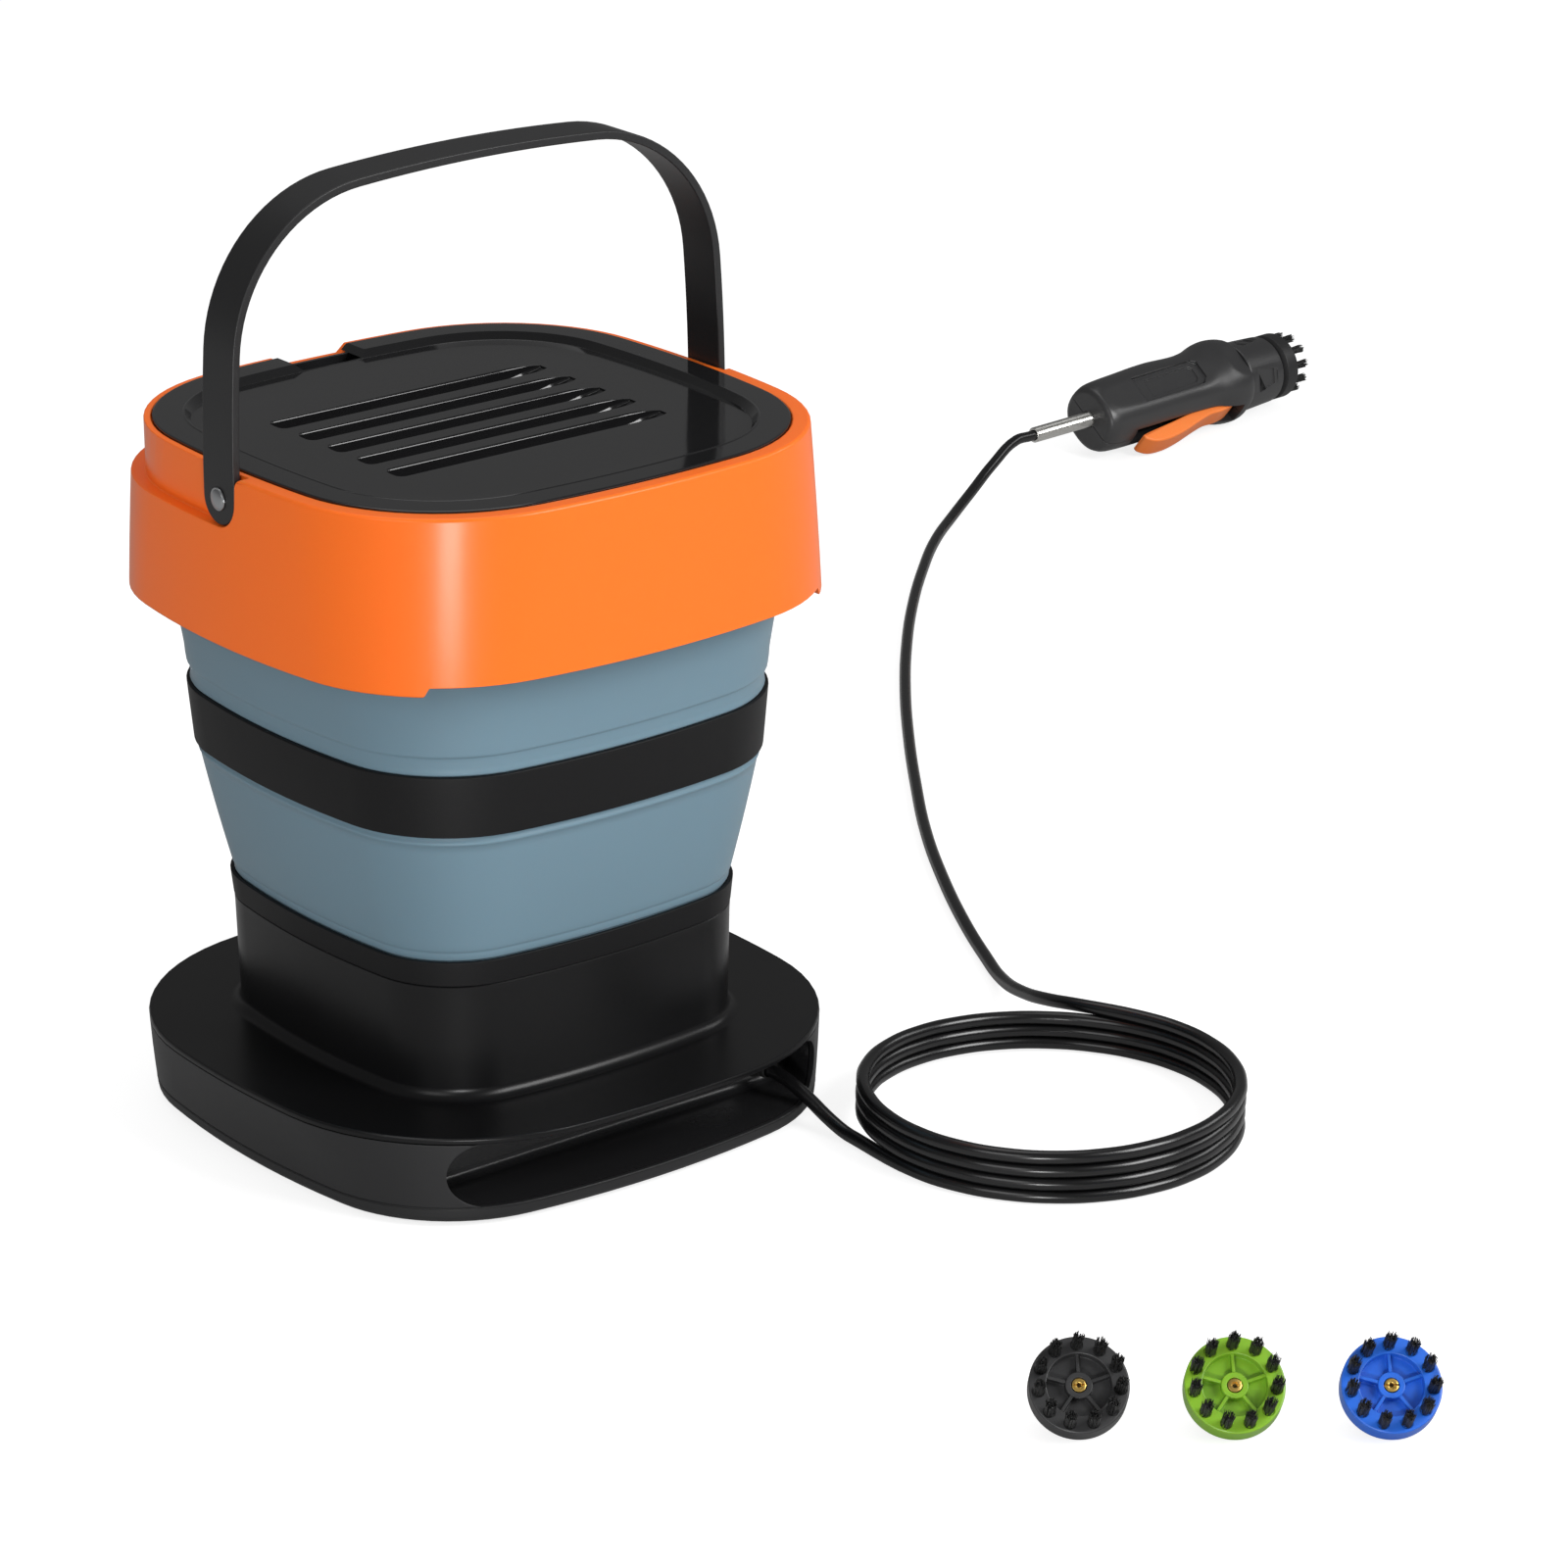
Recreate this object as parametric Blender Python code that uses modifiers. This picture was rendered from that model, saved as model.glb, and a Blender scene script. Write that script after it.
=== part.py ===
"""Wallpaper steamer with a folding bucket tank, a coiled hose, a trigger gun and four brush heads.

Metres, +Z up. The origin is on the floor under the middle of the base. The storage slot
of the base faces -Y and the carrying bail turns about an axis along X.
"""

import math

import bmesh
import bpy
from mathutils import Matrix, Vector

# ---------------------------------------------------------------- fits and facets
CLEARANCE = 0.0003          # gap between two pieces that touch
SIDE_STEPS = 2              # facets along each bowed side of an outline
CORNER_STEPS = 6            # facets round each corner of an outline
ROUND_STEPS = 24            # facets round a large turned piece
SMALL_STEPS = 12            # facets round a small turned piece

# ---------------------------------------------------------------- base
FOOT_HEIGHT = 0.002         # the rubber feet stand this proud of the pan
FOOT_RADIUS = 0.010
FOOT_PEG_RADIUS = 0.003
FOOT_HEAD_RADIUS = 0.0042
FOOT_REACH = 0.086          # foot centre from the middle, along X and along Y
PAD_RADIUS = 0.055          # flat field for the rating plate, in the middle of the underside
PAD_DROP = 0.0006           # it stands this proud of the pan
BASE_HEIGHT = 0.045         # floor to the flat top of the base cover
BASE_FOOT_HALF = 0.1362     # half width near the floor
BASE_TOP_HALF = 0.1448      # half width at the cover's rim
BASE_FOOT_CORNER = 0.0735   # corner radius of the outline near the floor
BASE_TOP_CORNER = 0.1065
BASE_FOOT_SIDE = 0.4640     # radius of the bowed sides near the floor
BASE_TOP_SIDE = 0.5546
RIM_THICKNESS = 0.0032      # cover plate
PAN_WALL = 0.0026
PAN_ROUNDING = 0.0035
COVER_WALL = 0.0025

# Storage slot in the front wall, with the trough behind it
SLOT_HALF_LENGTH = 0.1055
SLOT_BOTTOM = 0.010
BAY_BACK = -0.093
BAY_WALL = 0.002
BAY_FILLET = 0.004
FILLET_STEPS = 3

# Screws that hold the cover to the pan
SCREW_SPOTS = ((-0.112, -0.070), (0.112, -0.070), (-0.098, 0.098), (0.098, 0.098))
BOSS_RADIUS = 0.0048
BOSS_SPLIT = 0.012          # height where the cover's boss meets the pan's
SCREW_SEAT = 0.008
SCREW_HEAD_RADIUS = 0.0032
SCREW_HEAD_HEIGHT = 0.0024
SCREW_RADIUS = 0.0014
SCREW_LENGTH = 0.022
PILOT_MARGIN = 0.004

# Pedestal under the bucket
TOWER_CORNER_INSET = 0.05375    # corner radius = half width - this
TOWER_SIDE_EXTRA = 0.3161       # side radius = half width + this
PEDESTAL_TOP_HALF = 0.0994
PEDESTAL_TAPER = 0.0014         # the foot is this much slimmer
PEDESTAL_RISE = 0.0557          # above the base cover
PEDESTAL_FILLET = 0.0055
PEDESTAL_LIP = 0.0059           # width of the flat rim under the bucket
PEDESTAL_LIP_HEIGHT = 0.0025

# ---------------------------------------------------------------- bucket
LOWER_RING_HEIGHT = 0.0120
LOWER_RING_PROUD = 0.0002   # foot of the lower ring outside the pedestal's top
LOWER_RING_FLARE = 0.0013
RING_WALL = 0.0022
TANK_PLATE = 0.0022
TANK_RIM_HEIGHT = 0.0110
SPOUT_SPOT = (-0.060, 0.030)
SPOUT_RADIUS = 0.0060
SPOUT_BORE = 0.0040
SPOUT_LENGTH = 0.012
STRAINER_FLANGE = 0.0090
STRAINER_RADIUS = 0.0078
STRAINER_HEIGHT = 0.0090
STRAINER_WALL = 0.0018
STRAINER_SLOT = 0.0016
BELLOWS_WALL = 0.0024
BELLOWS_INSET = 0.0020      # the lower bellows stands this far inside the lower ring
BELLOWS_STEP = 0.0012
BELLOWS_SHOULDER = 0.0050
BELLOWS_CREASE = 0.0022
LOWER_BELLOWS_SPAN = 0.0654 # from the lower ring to the mid ring
MID_RING_HEIGHT = 0.0294
MID_RING_FOOT_HALF = 0.1152
MID_RING_FLARE = 0.0025
MID_RING_CHAMFER = 0.0006
BELLOWS_TUCK = 0.0110       # how far each bellows reaches into the mid ring
UPPER_STEP_HEIGHT = 0.0090  # the upper bellows steps out this far above the mid ring
UPPER_STEP = 0.0006
UPPER_BELLOWS_INSET = 0.0016
UPPER_BELLOWS_SPAN = 0.0599 # from the mid ring to the bellows' top edge
BELLOWS_GRIP = 0.0016       # the top edge reaches this far under the collar's inner wall
CLAMP_BELOW = 0.0097        # reach of the clamp ring below and above the bellows' top edge
CLAMP_ABOVE = 0.0123

# ---------------------------------------------------------------- orange collar
SKIRT_DROP = 0.0134         # the skirt hangs this far below the bellows' top edge
COLLAR_HEIGHT = 0.0797
COLLAR_FOOT_HALF = 0.1413
COLLAR_TOP_HALF = 0.1372
COLLAR_FOOT_CORNER = 0.0830
COLLAR_TOP_CORNER = 0.0880
COLLAR_FOOT_SIDE = 0.4390
COLLAR_TOP_SIDE = 0.6080
COLLAR_WALL = 0.0028
COLLAR_ROUNDING = 0.0014
RIM_CORNER_INSET = 0.0490       # outline family of the lid and of the collar's inner wall
RIM_SIDE_EXTRA = 0.4700
INNER_TAPER = 0.0020            # the inner wall is this much narrower at its foot
INNER_WALL = 0.0030
LEDGE_GAP = 0.0010              # between the bail's legs and the wall behind them
LEDGE_ROOF = 0.0028
SKIRT_STEP_HALF = 0.1080        # the front edge of the skirt is raised over this half length
SKIRT_STEP_HEIGHT = 0.0042
SKIRT_STEP_RAMP = 0.0020

# ---------------------------------------------------------------- lid
RIM_WIDTH = 0.0039          # collar wall left between the lid and the bail's ledge
LID_GAP = 0.0005
LID_SEAT_DROP = 0.0023      # the lid's seat is this far below the collar's top
LID_SEAT_WIDTH = 0.0022
LID_PROUD = 0.0012
LID_BAND = 0.0146
LID_SLOPE = 0.0030
LID_PANEL_SINK = 0.0036     # the panel is sunk this far in the band
LID_PANEL = 0.0024
LID_PLUG_ROOM = 0.0016
LID_PLUG_DEPTH = 0.0107     # below the seat
LID_PLUG_WALL = 0.0020
LID_PLUG_LIP = 0.0012
SEAL_WIDTH = 0.0010
SEAL_HEIGHT = 0.0030
LOUVRE_COUNT = 5
LOUVRE_PITCH = 0.0230
LOUVRE_LENGTH = 0.1510
LOUVRE_LIP = 0.0040
LOUVRE_SLOT = 0.0070
LOUVRE_DEPTH = 0.0065
LOUVRE_LIP_DEPTH = 0.0018
LOUVRE_FLOOR = 0.0015
NOTCH_HALF = 0.0160
NOTCH_SLOPE = 0.0060
NOTCH_DEPTH = 0.0040

# ---------------------------------------------------------------- bail
PIVOT_DROP = 0.0125         # the pivots are this far below the collar's top
BAIL_PROUD = 0.0001         # the legs' outer faces outside the collar's top edge
BAIL_RISE = 0.1383
BAIL_CORNER = 0.0750
BAIL_SIDE = 0.9000
BAIL_WIDTH = 0.0240
BAIL_THICKNESS = 0.0040
POCKET_GAP = 0.0006
POCKET_SHOULDER = 0.0050
RIVET_RADIUS = 0.0025
RIVET_HEAD_RADIUS = 0.00535
RIVET_HEAD_HEIGHT = 0.0014
RIVET_DEPTH = 0.0050        # into the collar's wall

# ---------------------------------------------------------------- works inside the base
BOILER_RADIUS = 0.0460
BOILER_WALL = 0.0025
BOILER_HEADROOM = 0.0287    # between the boiler's top and the pedestal's top
BOILER_NECK_RADIUS = 0.0060
BOILER_NECK_BORE = 0.0035
BOILER_NECK_HEIGHT = 0.0080
BOILER_FLANGE_LIP = 0.0040
BOILER_FLANGE_HEIGHT = 0.0430
BOILER_FLANGE_THICKNESS = 0.0040
HEATER_INSET = 0.0020       # the heater plate inside the boiler's outline
HEATER_THICKNESS = 0.0040
CRADLE_INSET = 0.0020       # ring on the pan floor that carries the heater
CRADLE_HEIGHT = 0.0051
CRADLE_WALL = 0.0030
INLET_NIPPLE_ANGLE = 225.0
INLET_NIPPLE_HEIGHT = 0.0240
INLET_NIPPLE_RADIUS = 0.0032
INLET_NIPPLE_REACH = 0.0100
PUMP_SPOT = (-0.092, 0.0, 0.0236)
PUMP_RADIUS = 0.0150
PUMP_HALF_LENGTH = 0.0200
PUMP_FLANGE_RADIUS = 0.0160
PUMP_FLANGE = 0.0030
PUMP_NOSE = 0.0360
PUMP_POST_HALF = 0.0060
BOARD_LOW = (0.0660, -0.0440)
BOARD_HIGH = (0.1160, 0.0440)
BOARD_HEIGHT = 0.0120
BOARD_THICKNESS = 0.0016
BOARD_POST_RADIUS = 0.0035
BOARD_POST_INSET = 0.0060
INNER_TUBE_RADIUS = 0.0025

# Mains inlet and rocker switch in the back wall
INLET_X = -0.045
SWITCH_X = 0.045
BACK_HEIGHT = 0.0240
GROMMET_RADIUS = 0.0066
GROMMET_BORE = 0.0042
GROMMET_FLANGE = 0.0095
GROMMET_FLANGE_THICKNESS = 0.0030
SWITCH_SIZE = (0.0190, 0.0140)
SWITCH_DEPTH = 0.0140
BEZEL_MARGIN = 0.0015
BEZEL_THICKNESS = 0.0015
ROCKER_HALF_LENGTH = 0.0075
ROCKER_HALF_WIDTH = 0.0052
ROCKER_TILT = 8.0
ROCKER_PIVOT = -0.0010      # its axis below the wall's face

# ---------------------------------------------------------------- hose
HOSE_RADIUS = 0.00325
HOSE_SIDES = 2              # bevel resolution of a tube: 8 facets round
GLAND_X = 0.0885
GLAND_HEIGHT = 0.0215
GLAND_RADIUS = 0.0050
GLAND_FLANGE_RADIUS = 0.0070
GLAND_FLANGE = 0.0020
GLAND_NUT = 0.0030
GLAND_TAPER = 0.0100
GLAND_TIP_RADIUS = 0.0046
COIL_CENTRE = (0.1811, -0.1992)
COIL_RADIUS = 0.0877        # to the middle of the hose
COIL_TURNS = 4
LEAD_START = 0.0058         # behind the bay's back wall
LEAD_ROUTE = (
    (GLAND_X, BAY_BACK + LEAD_START, GLAND_HEIGHT),
    (GLAND_X, BAY_BACK - GLAND_FLANGE - 0.0010, GLAND_HEIGHT),
    (GLAND_X + 0.0001, BAY_BACK - GLAND_FLANGE - 0.0106, GLAND_HEIGHT - 0.0001),
    (0.0897, -0.1140, 0.0201),
    (0.0914, -0.1220, 0.0170),
    (0.0930, -0.1300, 0.0129),
    (0.0942, -0.1380, 0.0087),
    (0.0950, -0.1460, 0.0055),
    (0.0953, -0.1530, 0.0038),
    (0.0952, -0.1600, 0.0034),
)
RISER_ROUTE = (
    (0.2520, -0.1372, 0.0216),
    (0.2508, -0.1180, 0.0182),
    (0.2580, -0.0900, 0.0112),
    (0.2705, -0.0600, 0.0052),
    (0.2865, -0.0280, 0.0034),
    (0.3070, 0.0120, 0.0034),
    (0.3380, 0.0660, 0.0034),
    (0.3723, 0.1202, 0.0034),
    (0.4160, 0.1815, 0.0034),
    (0.4604, 0.2408, 0.0034),
    (0.5060, 0.2985, 0.0034),
    (0.5532, 0.3542, 0.0034),
    (0.6010, 0.4065, 0.0034),
    (0.6490, 0.4545, 0.0034),
    (0.6930, 0.4945, 0.0034),
    (0.7310, 0.5225, 0.0044),
    (0.7610, 0.5400, 0.0096),
    (0.7860, 0.5510, 0.0180),
)
RISER_INTO_GUN = (-0.0640, -0.0520, -0.0280, 0.0100)    # then along the gun's axis, from its tail
RISER_SHORT = 0.0110        # the hose ends this far behind the gun's rear bulkhead
STEP_ALONG_HOSE = 0.0145

# ---------------------------------------------------------------- gun
GUN_TAIL = (0.8754, 0.5634, 0.0270)     # middle of the gun's tail
GUN_HEADING = 4.5           # its axis is turned this far from +X towards +Y
GUN_ROLL = 51.0             # the trigger is turned this far from straight down, towards -Y
GUN_POINTS = 20
GUN_WALL = 0.0024
GUN_ROUNDNESS = 2.3         # exponent of the body's section
GUN_LENGTH = 0.1280
GUN_SECTIONS = (            # share of the length, half width, height above and below the axis
    (0.000, 0.0150, 0.0160, 0.0170),
    (0.020, 0.0190, 0.0200, 0.0205),
    (0.060, 0.0205, 0.0215, 0.0220),
    (0.235, 0.0210, 0.0230, 0.0225),
    (0.470, 0.0210, 0.0245, 0.0220),
    (0.665, 0.0208, 0.0235, 0.0220),
    (0.765, 0.0220, 0.0245, 0.0225),
    (0.845, 0.0245, 0.0270, 0.0250),
    (0.905, 0.0255, 0.0275, 0.0262),
    (0.970, 0.0250, 0.0260, 0.0262),
    (1.000, 0.0235, 0.0240, 0.0245),
)
BULKHEAD_SPOTS = (-0.0680, -0.0240)     # along the gun from its front end, as all that follows here
BULKHEAD_THICKNESS = 0.0020
VALVE_RADIUS = 0.0090       # where it passes the bulkheads
VALVE_BODY_RADIUS = 0.0100
VALVE_REACH = 0.0040
VALVE_NIPPLE = 0.0100
STEM_SPOT = -0.0440
STEM_RADIUS = 0.0018
SLEEVE_RADIUS = 0.0049
SLEEVE_LENGTH = 0.0490
SLEEVE_FLANGE = 0.0068
SLEEVE_FLANGE_THICKNESS = 0.0020
FRONT_LENGTH = 0.0316
FRONT_FOOT_RADIUS = 0.0232
FRONT_TIP_RADIUS = 0.0216
FRONT_SPIGOT = 0.0100
FRONT_SPIGOT_RADIUS = 0.0175
FRONT_BORE = 0.0062
RELIEF_COUNT = 4
RELIEF_DEPTH = 0.0010
PANEL_POINTS = (            # recess in each side: along the gun and above its axis
    (-0.0780, -0.0096), (-0.0420, -0.0058), (-0.0375, -0.0030), (-0.0375, 0.0072),
    (-0.0420, 0.0092), (-0.0780, 0.0100),
)
PANEL_DEPTH = 0.0012        # below the widest line of the side
TRIGGER_WIDTH = 0.0150
TRIGGER_SIDE_GAP = 0.0006
TRIGGER_PIVOT_SPOT = (-0.0180, -0.0170)
TRIGGER_PIN_RADIUS = 0.0015
TRIGGER_PIN_HALF = 0.0162
TRIGGER_POINTS = (          # along the gun and below its axis, from the pivot end round
    (-0.0140, -0.0125), (-0.0120, -0.0180), (-0.0160, -0.0225), (-0.0280, -0.0246),
    (-0.0380, -0.0246), (-0.0500, -0.0268), (-0.0680, -0.0308), (-0.0820, -0.0327),
    (-0.0940, -0.0322), (-0.1005, -0.0290), (-0.1018, -0.0262), (-0.0980, -0.0244),
    (-0.0680, -0.0212), (-0.0380, -0.0168), (-0.0280, -0.0138), (-0.0200, -0.0115),
)
TRIGGER_SLOT_ENDS = (-0.1045, -0.0090)
TRIGGER_SLOT_ROOF = -0.0095

# ---------------------------------------------------------------- brush heads
HEAD_RADIUS = 0.0212
HEAD_LENGTH = 0.0220
HEAD_WALL_LENGTH = 0.0090
NECK_RADIUS = 0.0083
NECK_LENGTH = 0.0060
CHANNEL_RADIUS = 0.0136
CHANNEL_DEPTH = 0.0045
HUB_RADIUS = 0.0058
HUB_DROP = 0.0006
RIB_COUNT = 5
RIB_THICKNESS = 0.0014
TUFT_COUNT = 11
TUFT_RADIUS = 0.0024
TUFT_LENGTH = 0.0115
TUFT_CIRCLE = 0.0174
TUFT_SIDES = 6
NOZZLE_RADIUS = 0.0030
NOZZLE_LENGTH = 0.0066
NOZZLE_BORE = 0.0009
STEAM_BORE = 0.0020
NOZZLE_SLOT = 0.0010        # width of the spreading slot across a nozzle
NOZZLE_SLOT_DEPTH = 0.0012
NOZZLE_HEX = 0.0017         # radius of the six-sided mouth
LOOSE_HEADS = (             # name and place on the floor
    ("black", (-0.0064, -0.4300)),
    ("green", (0.0440, -0.4707)),
    ("blue", (0.0948, -0.5115)),
)
LOOSE_HEADING = 234.7       # degrees, the way the loose heads face

# ---------------------------------------------------------------- worked out from the above
PAN_UNDERSIDE = FOOT_HEIGHT
PAN_FLOOR = PAN_UNDERSIDE + PAN_WALL
PEDESTAL_TOP = BASE_HEIGHT + PEDESTAL_RISE
PEDESTAL_FOOT_HALF = PEDESTAL_TOP_HALF - PEDESTAL_TAPER
PEDESTAL_LIP_HALF = PEDESTAL_TOP_HALF - PEDESTAL_LIP
COVER_UNDERSIDE = BASE_HEIGHT - RIM_THICKNESS
PAN_TOP = COVER_UNDERSIDE - CLEARANCE
SLOT_RADIUS = (COVER_UNDERSIDE + 0.0002 - SLOT_BOTTOM) / 2
LOWER_RING_BOTTOM = PEDESTAL_TOP + CLEARANCE
LOWER_RING_TOP = LOWER_RING_BOTTOM + LOWER_RING_HEIGHT
LOWER_RING_FOOT_HALF = PEDESTAL_TOP_HALF + LOWER_RING_PROUD
LOWER_RING_TOP_HALF = LOWER_RING_FOOT_HALF + LOWER_RING_FLARE
TANK_TOP = LOWER_RING_BOTTOM + TANK_PLATE
FLANGE_HALF = LOWER_RING_FOOT_HALF - RING_WALL - CLEARANCE
TANK_RIM_HALF = FLANGE_HALF - BELLOWS_WALL - CLEARANCE
MID_RING_BOTTOM = LOWER_RING_TOP + LOWER_BELLOWS_SPAN
MID_RING_TOP = MID_RING_BOTTOM + MID_RING_HEIGHT
MID_RING_TOP_HALF = MID_RING_FOOT_HALF + MID_RING_FLARE
BELLOWS_TOP = MID_RING_TOP + UPPER_BELLOWS_SPAN
COLLAR_BOTTOM = BELLOWS_TOP - SKIRT_DROP
COLLAR_TOP = COLLAR_BOTTOM + COLLAR_HEIGHT
PIVOT_HEIGHT = COLLAR_TOP - PIVOT_DROP
POCKET_RADIUS = BAIL_WIDTH / 2 + POCKET_GAP
LEDGE_HEIGHT = PIVOT_HEIGHT - POCKET_RADIUS
BAIL_OUTER_HALF = COLLAR_TOP_HALF + BAIL_PROUD
BAIL_INNER_HALF = BAIL_OUTER_HALF - BAIL_THICKNESS
LEDGE_INNER_HALF = BAIL_INNER_HALF - LEDGE_GAP
LID_HALF = LEDGE_INNER_HALF - RIM_WIDTH
LID_SEAT = COLLAR_TOP - LID_SEAT_DROP
LID_TOP = COLLAR_TOP + LID_PROUD
LID_PANEL_TOP = LID_TOP - LID_PANEL_SINK
INNER_TOP_HALF = LID_HALF - LID_SEAT_WIDTH      # inner face of the inner wall, under the lid's seat
INNER_FOOT_HALF = INNER_TOP_HALF - INNER_TAPER
LID_PLUG_HALF = INNER_TOP_HALF - LID_PLUG_ROOM
LID_PLUG_BOTTOM = LID_SEAT - LID_PLUG_DEPTH
BELLOWS_FOOT_HALF = LOWER_RING_TOP_HALF - BELLOWS_INSET
LOWER_BELLOWS_TOP_HALF = MID_RING_FOOT_HALF - RING_WALL
UPPER_BELLOWS_FOOT_HALF = MID_RING_TOP_HALF - UPPER_BELLOWS_INSET
BELLOWS_TOP_HALF = INNER_FOOT_HALF + BELLOWS_GRIP
CLAMP_BOTTOM = BELLOWS_TOP - CLAMP_BELOW
CLAMP_TOP = BELLOWS_TOP + CLAMP_ABOVE
CRADLE_TOP = PAN_FLOOR + CRADLE_HEIGHT
HEATER_RADIUS = BOILER_RADIUS - HEATER_INSET
CRADLE_RADIUS = HEATER_RADIUS - CRADLE_INSET
BOILER_FLANGE_RADIUS = BOILER_RADIUS + BOILER_FLANGE_LIP
BOILER_TOP = PEDESTAL_TOP - BOILER_HEADROOM
HEATER_BOTTOM = CRADLE_TOP + CLEARANCE
BOILER_BOTTOM = HEATER_BOTTOM + HEATER_THICKNESS + CLEARANCE
BORE_GAP = CLEARANCE
FAR = 0.4                   # further than a piece reaches: the size of half-space cutters
BULKHEADS = tuple(GUN_LENGTH + x for x in BULKHEAD_SPOTS)
STEM_PLACE = GUN_LENGTH + STEM_SPOT
PANEL_OUTLINE = tuple((GUN_LENGTH + x, z) for x, z in PANEL_POINTS)
TRIGGER_PIVOT = (GUN_LENGTH + TRIGGER_PIVOT_SPOT[0], TRIGGER_PIVOT_SPOT[1])
TRIGGER_OUTLINE = tuple((GUN_LENGTH + x, z) for x, z in TRIGGER_POINTS)
TRIGGER_SLOT = (GUN_LENGTH + TRIGGER_SLOT_ENDS[0], GUN_LENGTH + TRIGGER_SLOT_ENDS[1], TRIGGER_SLOT_ROOF)
RISER_END = (*RISER_INTO_GUN, BULKHEADS[0] - RISER_SHORT)
GUN_FRAME = (
    Matrix.Translation(GUN_TAIL)
    @ Matrix.Rotation(math.radians(GUN_HEADING), 4, "Z")
    @ Matrix.Rotation(math.radians(-GUN_ROLL), 4, "X")
)
ALONG_GUN = Matrix.Rotation(math.pi / 2, 4, "Y")    # turns a profile's Z to the gun's X


# ---------------------------------------------------------------- scene
def clear_scene():
    for item in list(bpy.data.objects):
        bpy.data.objects.remove(item, do_unlink=True)


def new_collection(name, hidden=False):
    made = bpy.data.collections.new(name)
    bpy.context.scene.collection.children.link(made)
    made.hide_render = hidden
    return made


clear_scene()
PARTS = new_collection("wallpaper_steamer")
CUTTERS = new_collection("cutters", hidden=True)


def material(name, colour, roughness, metallic=0.0):
    made = bpy.data.materials.new(name)
    made.use_nodes = True
    made.diffuse_color = (*colour, 1.0)
    shader = made.node_tree.nodes["Principled BSDF"]
    shader.inputs["Base Color"].default_value = (*colour, 1.0)
    shader.inputs["Roughness"].default_value = roughness
    shader.inputs["Metallic"].default_value = metallic
    return made


BASE_BLACK = material("base_black", (0.018, 0.018, 0.019), 0.42)
RING_BLACK = material("ring_black", (0.016, 0.016, 0.017), 0.50)
BELLOWS_GREY = material("bellows_grey", (0.155, 0.225, 0.265), 0.48)
COLLAR_ORANGE = material("collar_orange", (0.880, 0.130, 0.015), 0.33)
LID_GREY = material("lid_grey", (0.050, 0.050, 0.052), 0.18)
BAIL_BLACK = material("bail_black", (0.020, 0.020, 0.021), 0.38)
RIVET_STEEL = material("rivet_steel", (0.560, 0.570, 0.580), 0.30, 1.0)
SCREW_STEEL = material("screw_steel", (0.350, 0.350, 0.360), 0.35, 1.0)
RUBBER = material("rubber", (0.015, 0.015, 0.015), 0.80)
HOSE_BLACK = material("hose_black", (0.012, 0.012, 0.013), 0.30)
SLEEVE_STEEL = material("sleeve_steel", (0.700, 0.690, 0.670), 0.28, 1.0)
GUN_BLACK = material("gun_black", (0.022, 0.022, 0.023), 0.46)
TRIGGER_ORANGE = material("trigger_orange", (0.930, 0.190, 0.030), 0.38)
BRASS = material("brass", (0.780, 0.520, 0.180), 0.25, 1.0)
HEAD_COLOURS = {
    "black": material("head_black", (0.030, 0.030, 0.031), 0.42),
    "green": material("head_green", (0.190, 0.400, 0.020), 0.35),
    "blue": material("head_blue", (0.012, 0.110, 0.520), 0.35),
    "fitted": material("head_fitted", (0.024, 0.024, 0.025), 0.42),
}
ALUMINIUM = material("aluminium", (0.600, 0.600, 0.610), 0.35, 1.0)
PUMP_PLASTIC = material("pump_plastic", (0.120, 0.120, 0.130), 0.50)
BOARD_GREEN = material("board_green", (0.020, 0.160, 0.050), 0.45)
TUBE_CLEAR = material("tube_silicone", (0.600, 0.600, 0.560), 0.40)


# ---------------------------------------------------------------- making and joining solids
def place(name, mesh, paint, cutter=False):
    """A new object that holds the mesh, among the parts or among the cutters."""
    item = bpy.data.objects.new(name, mesh)
    (CUTTERS if cutter else PARTS).objects.link(item)
    if paint:
        mesh.materials.append(paint)
    if cutter:
        item.hide_render = True
        item.display_type = "WIRE"
    return item


def from_bmesh(name, bm, paint=None, cutter=False):
    """Closes the bmesh into an object, faces outwards, with smooth shading between sharp edges."""
    bmesh.ops.recalc_face_normals(bm, faces=bm.faces)
    mesh = bpy.data.meshes.new(name)
    bm.to_mesh(mesh)
    bm.free()
    mesh.shade_smooth()
    mesh.set_sharp_from_angle(angle=math.radians(35))
    return place(name, mesh, paint, cutter)


def boolean(target, other, operation):
    step = target.modifiers.new(other.name, "BOOLEAN")
    step.operation = operation
    step.object = other
    step.solver = "EXACT"


def cut(target, *others):
    for other in others:
        boolean(target, other, "DIFFERENCE")


def join(target, *others):
    for other in others:
        boolean(target, other, "UNION")


def keep(target, *others):
    for other in others:
        boolean(target, other, "INTERSECT")


def block(name, low, high, paint=None, cutter=False):
    bm = bmesh.new()
    bmesh.ops.create_cube(bm, size=1.0)
    low, high = Vector(low), Vector(high)
    size = high - low
    bmesh.ops.scale(bm, vec=size, verts=bm.verts)
    bmesh.ops.translate(bm, vec=(low + high) / 2, verts=bm.verts)
    return from_bmesh(name, bm, paint, cutter)


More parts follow.
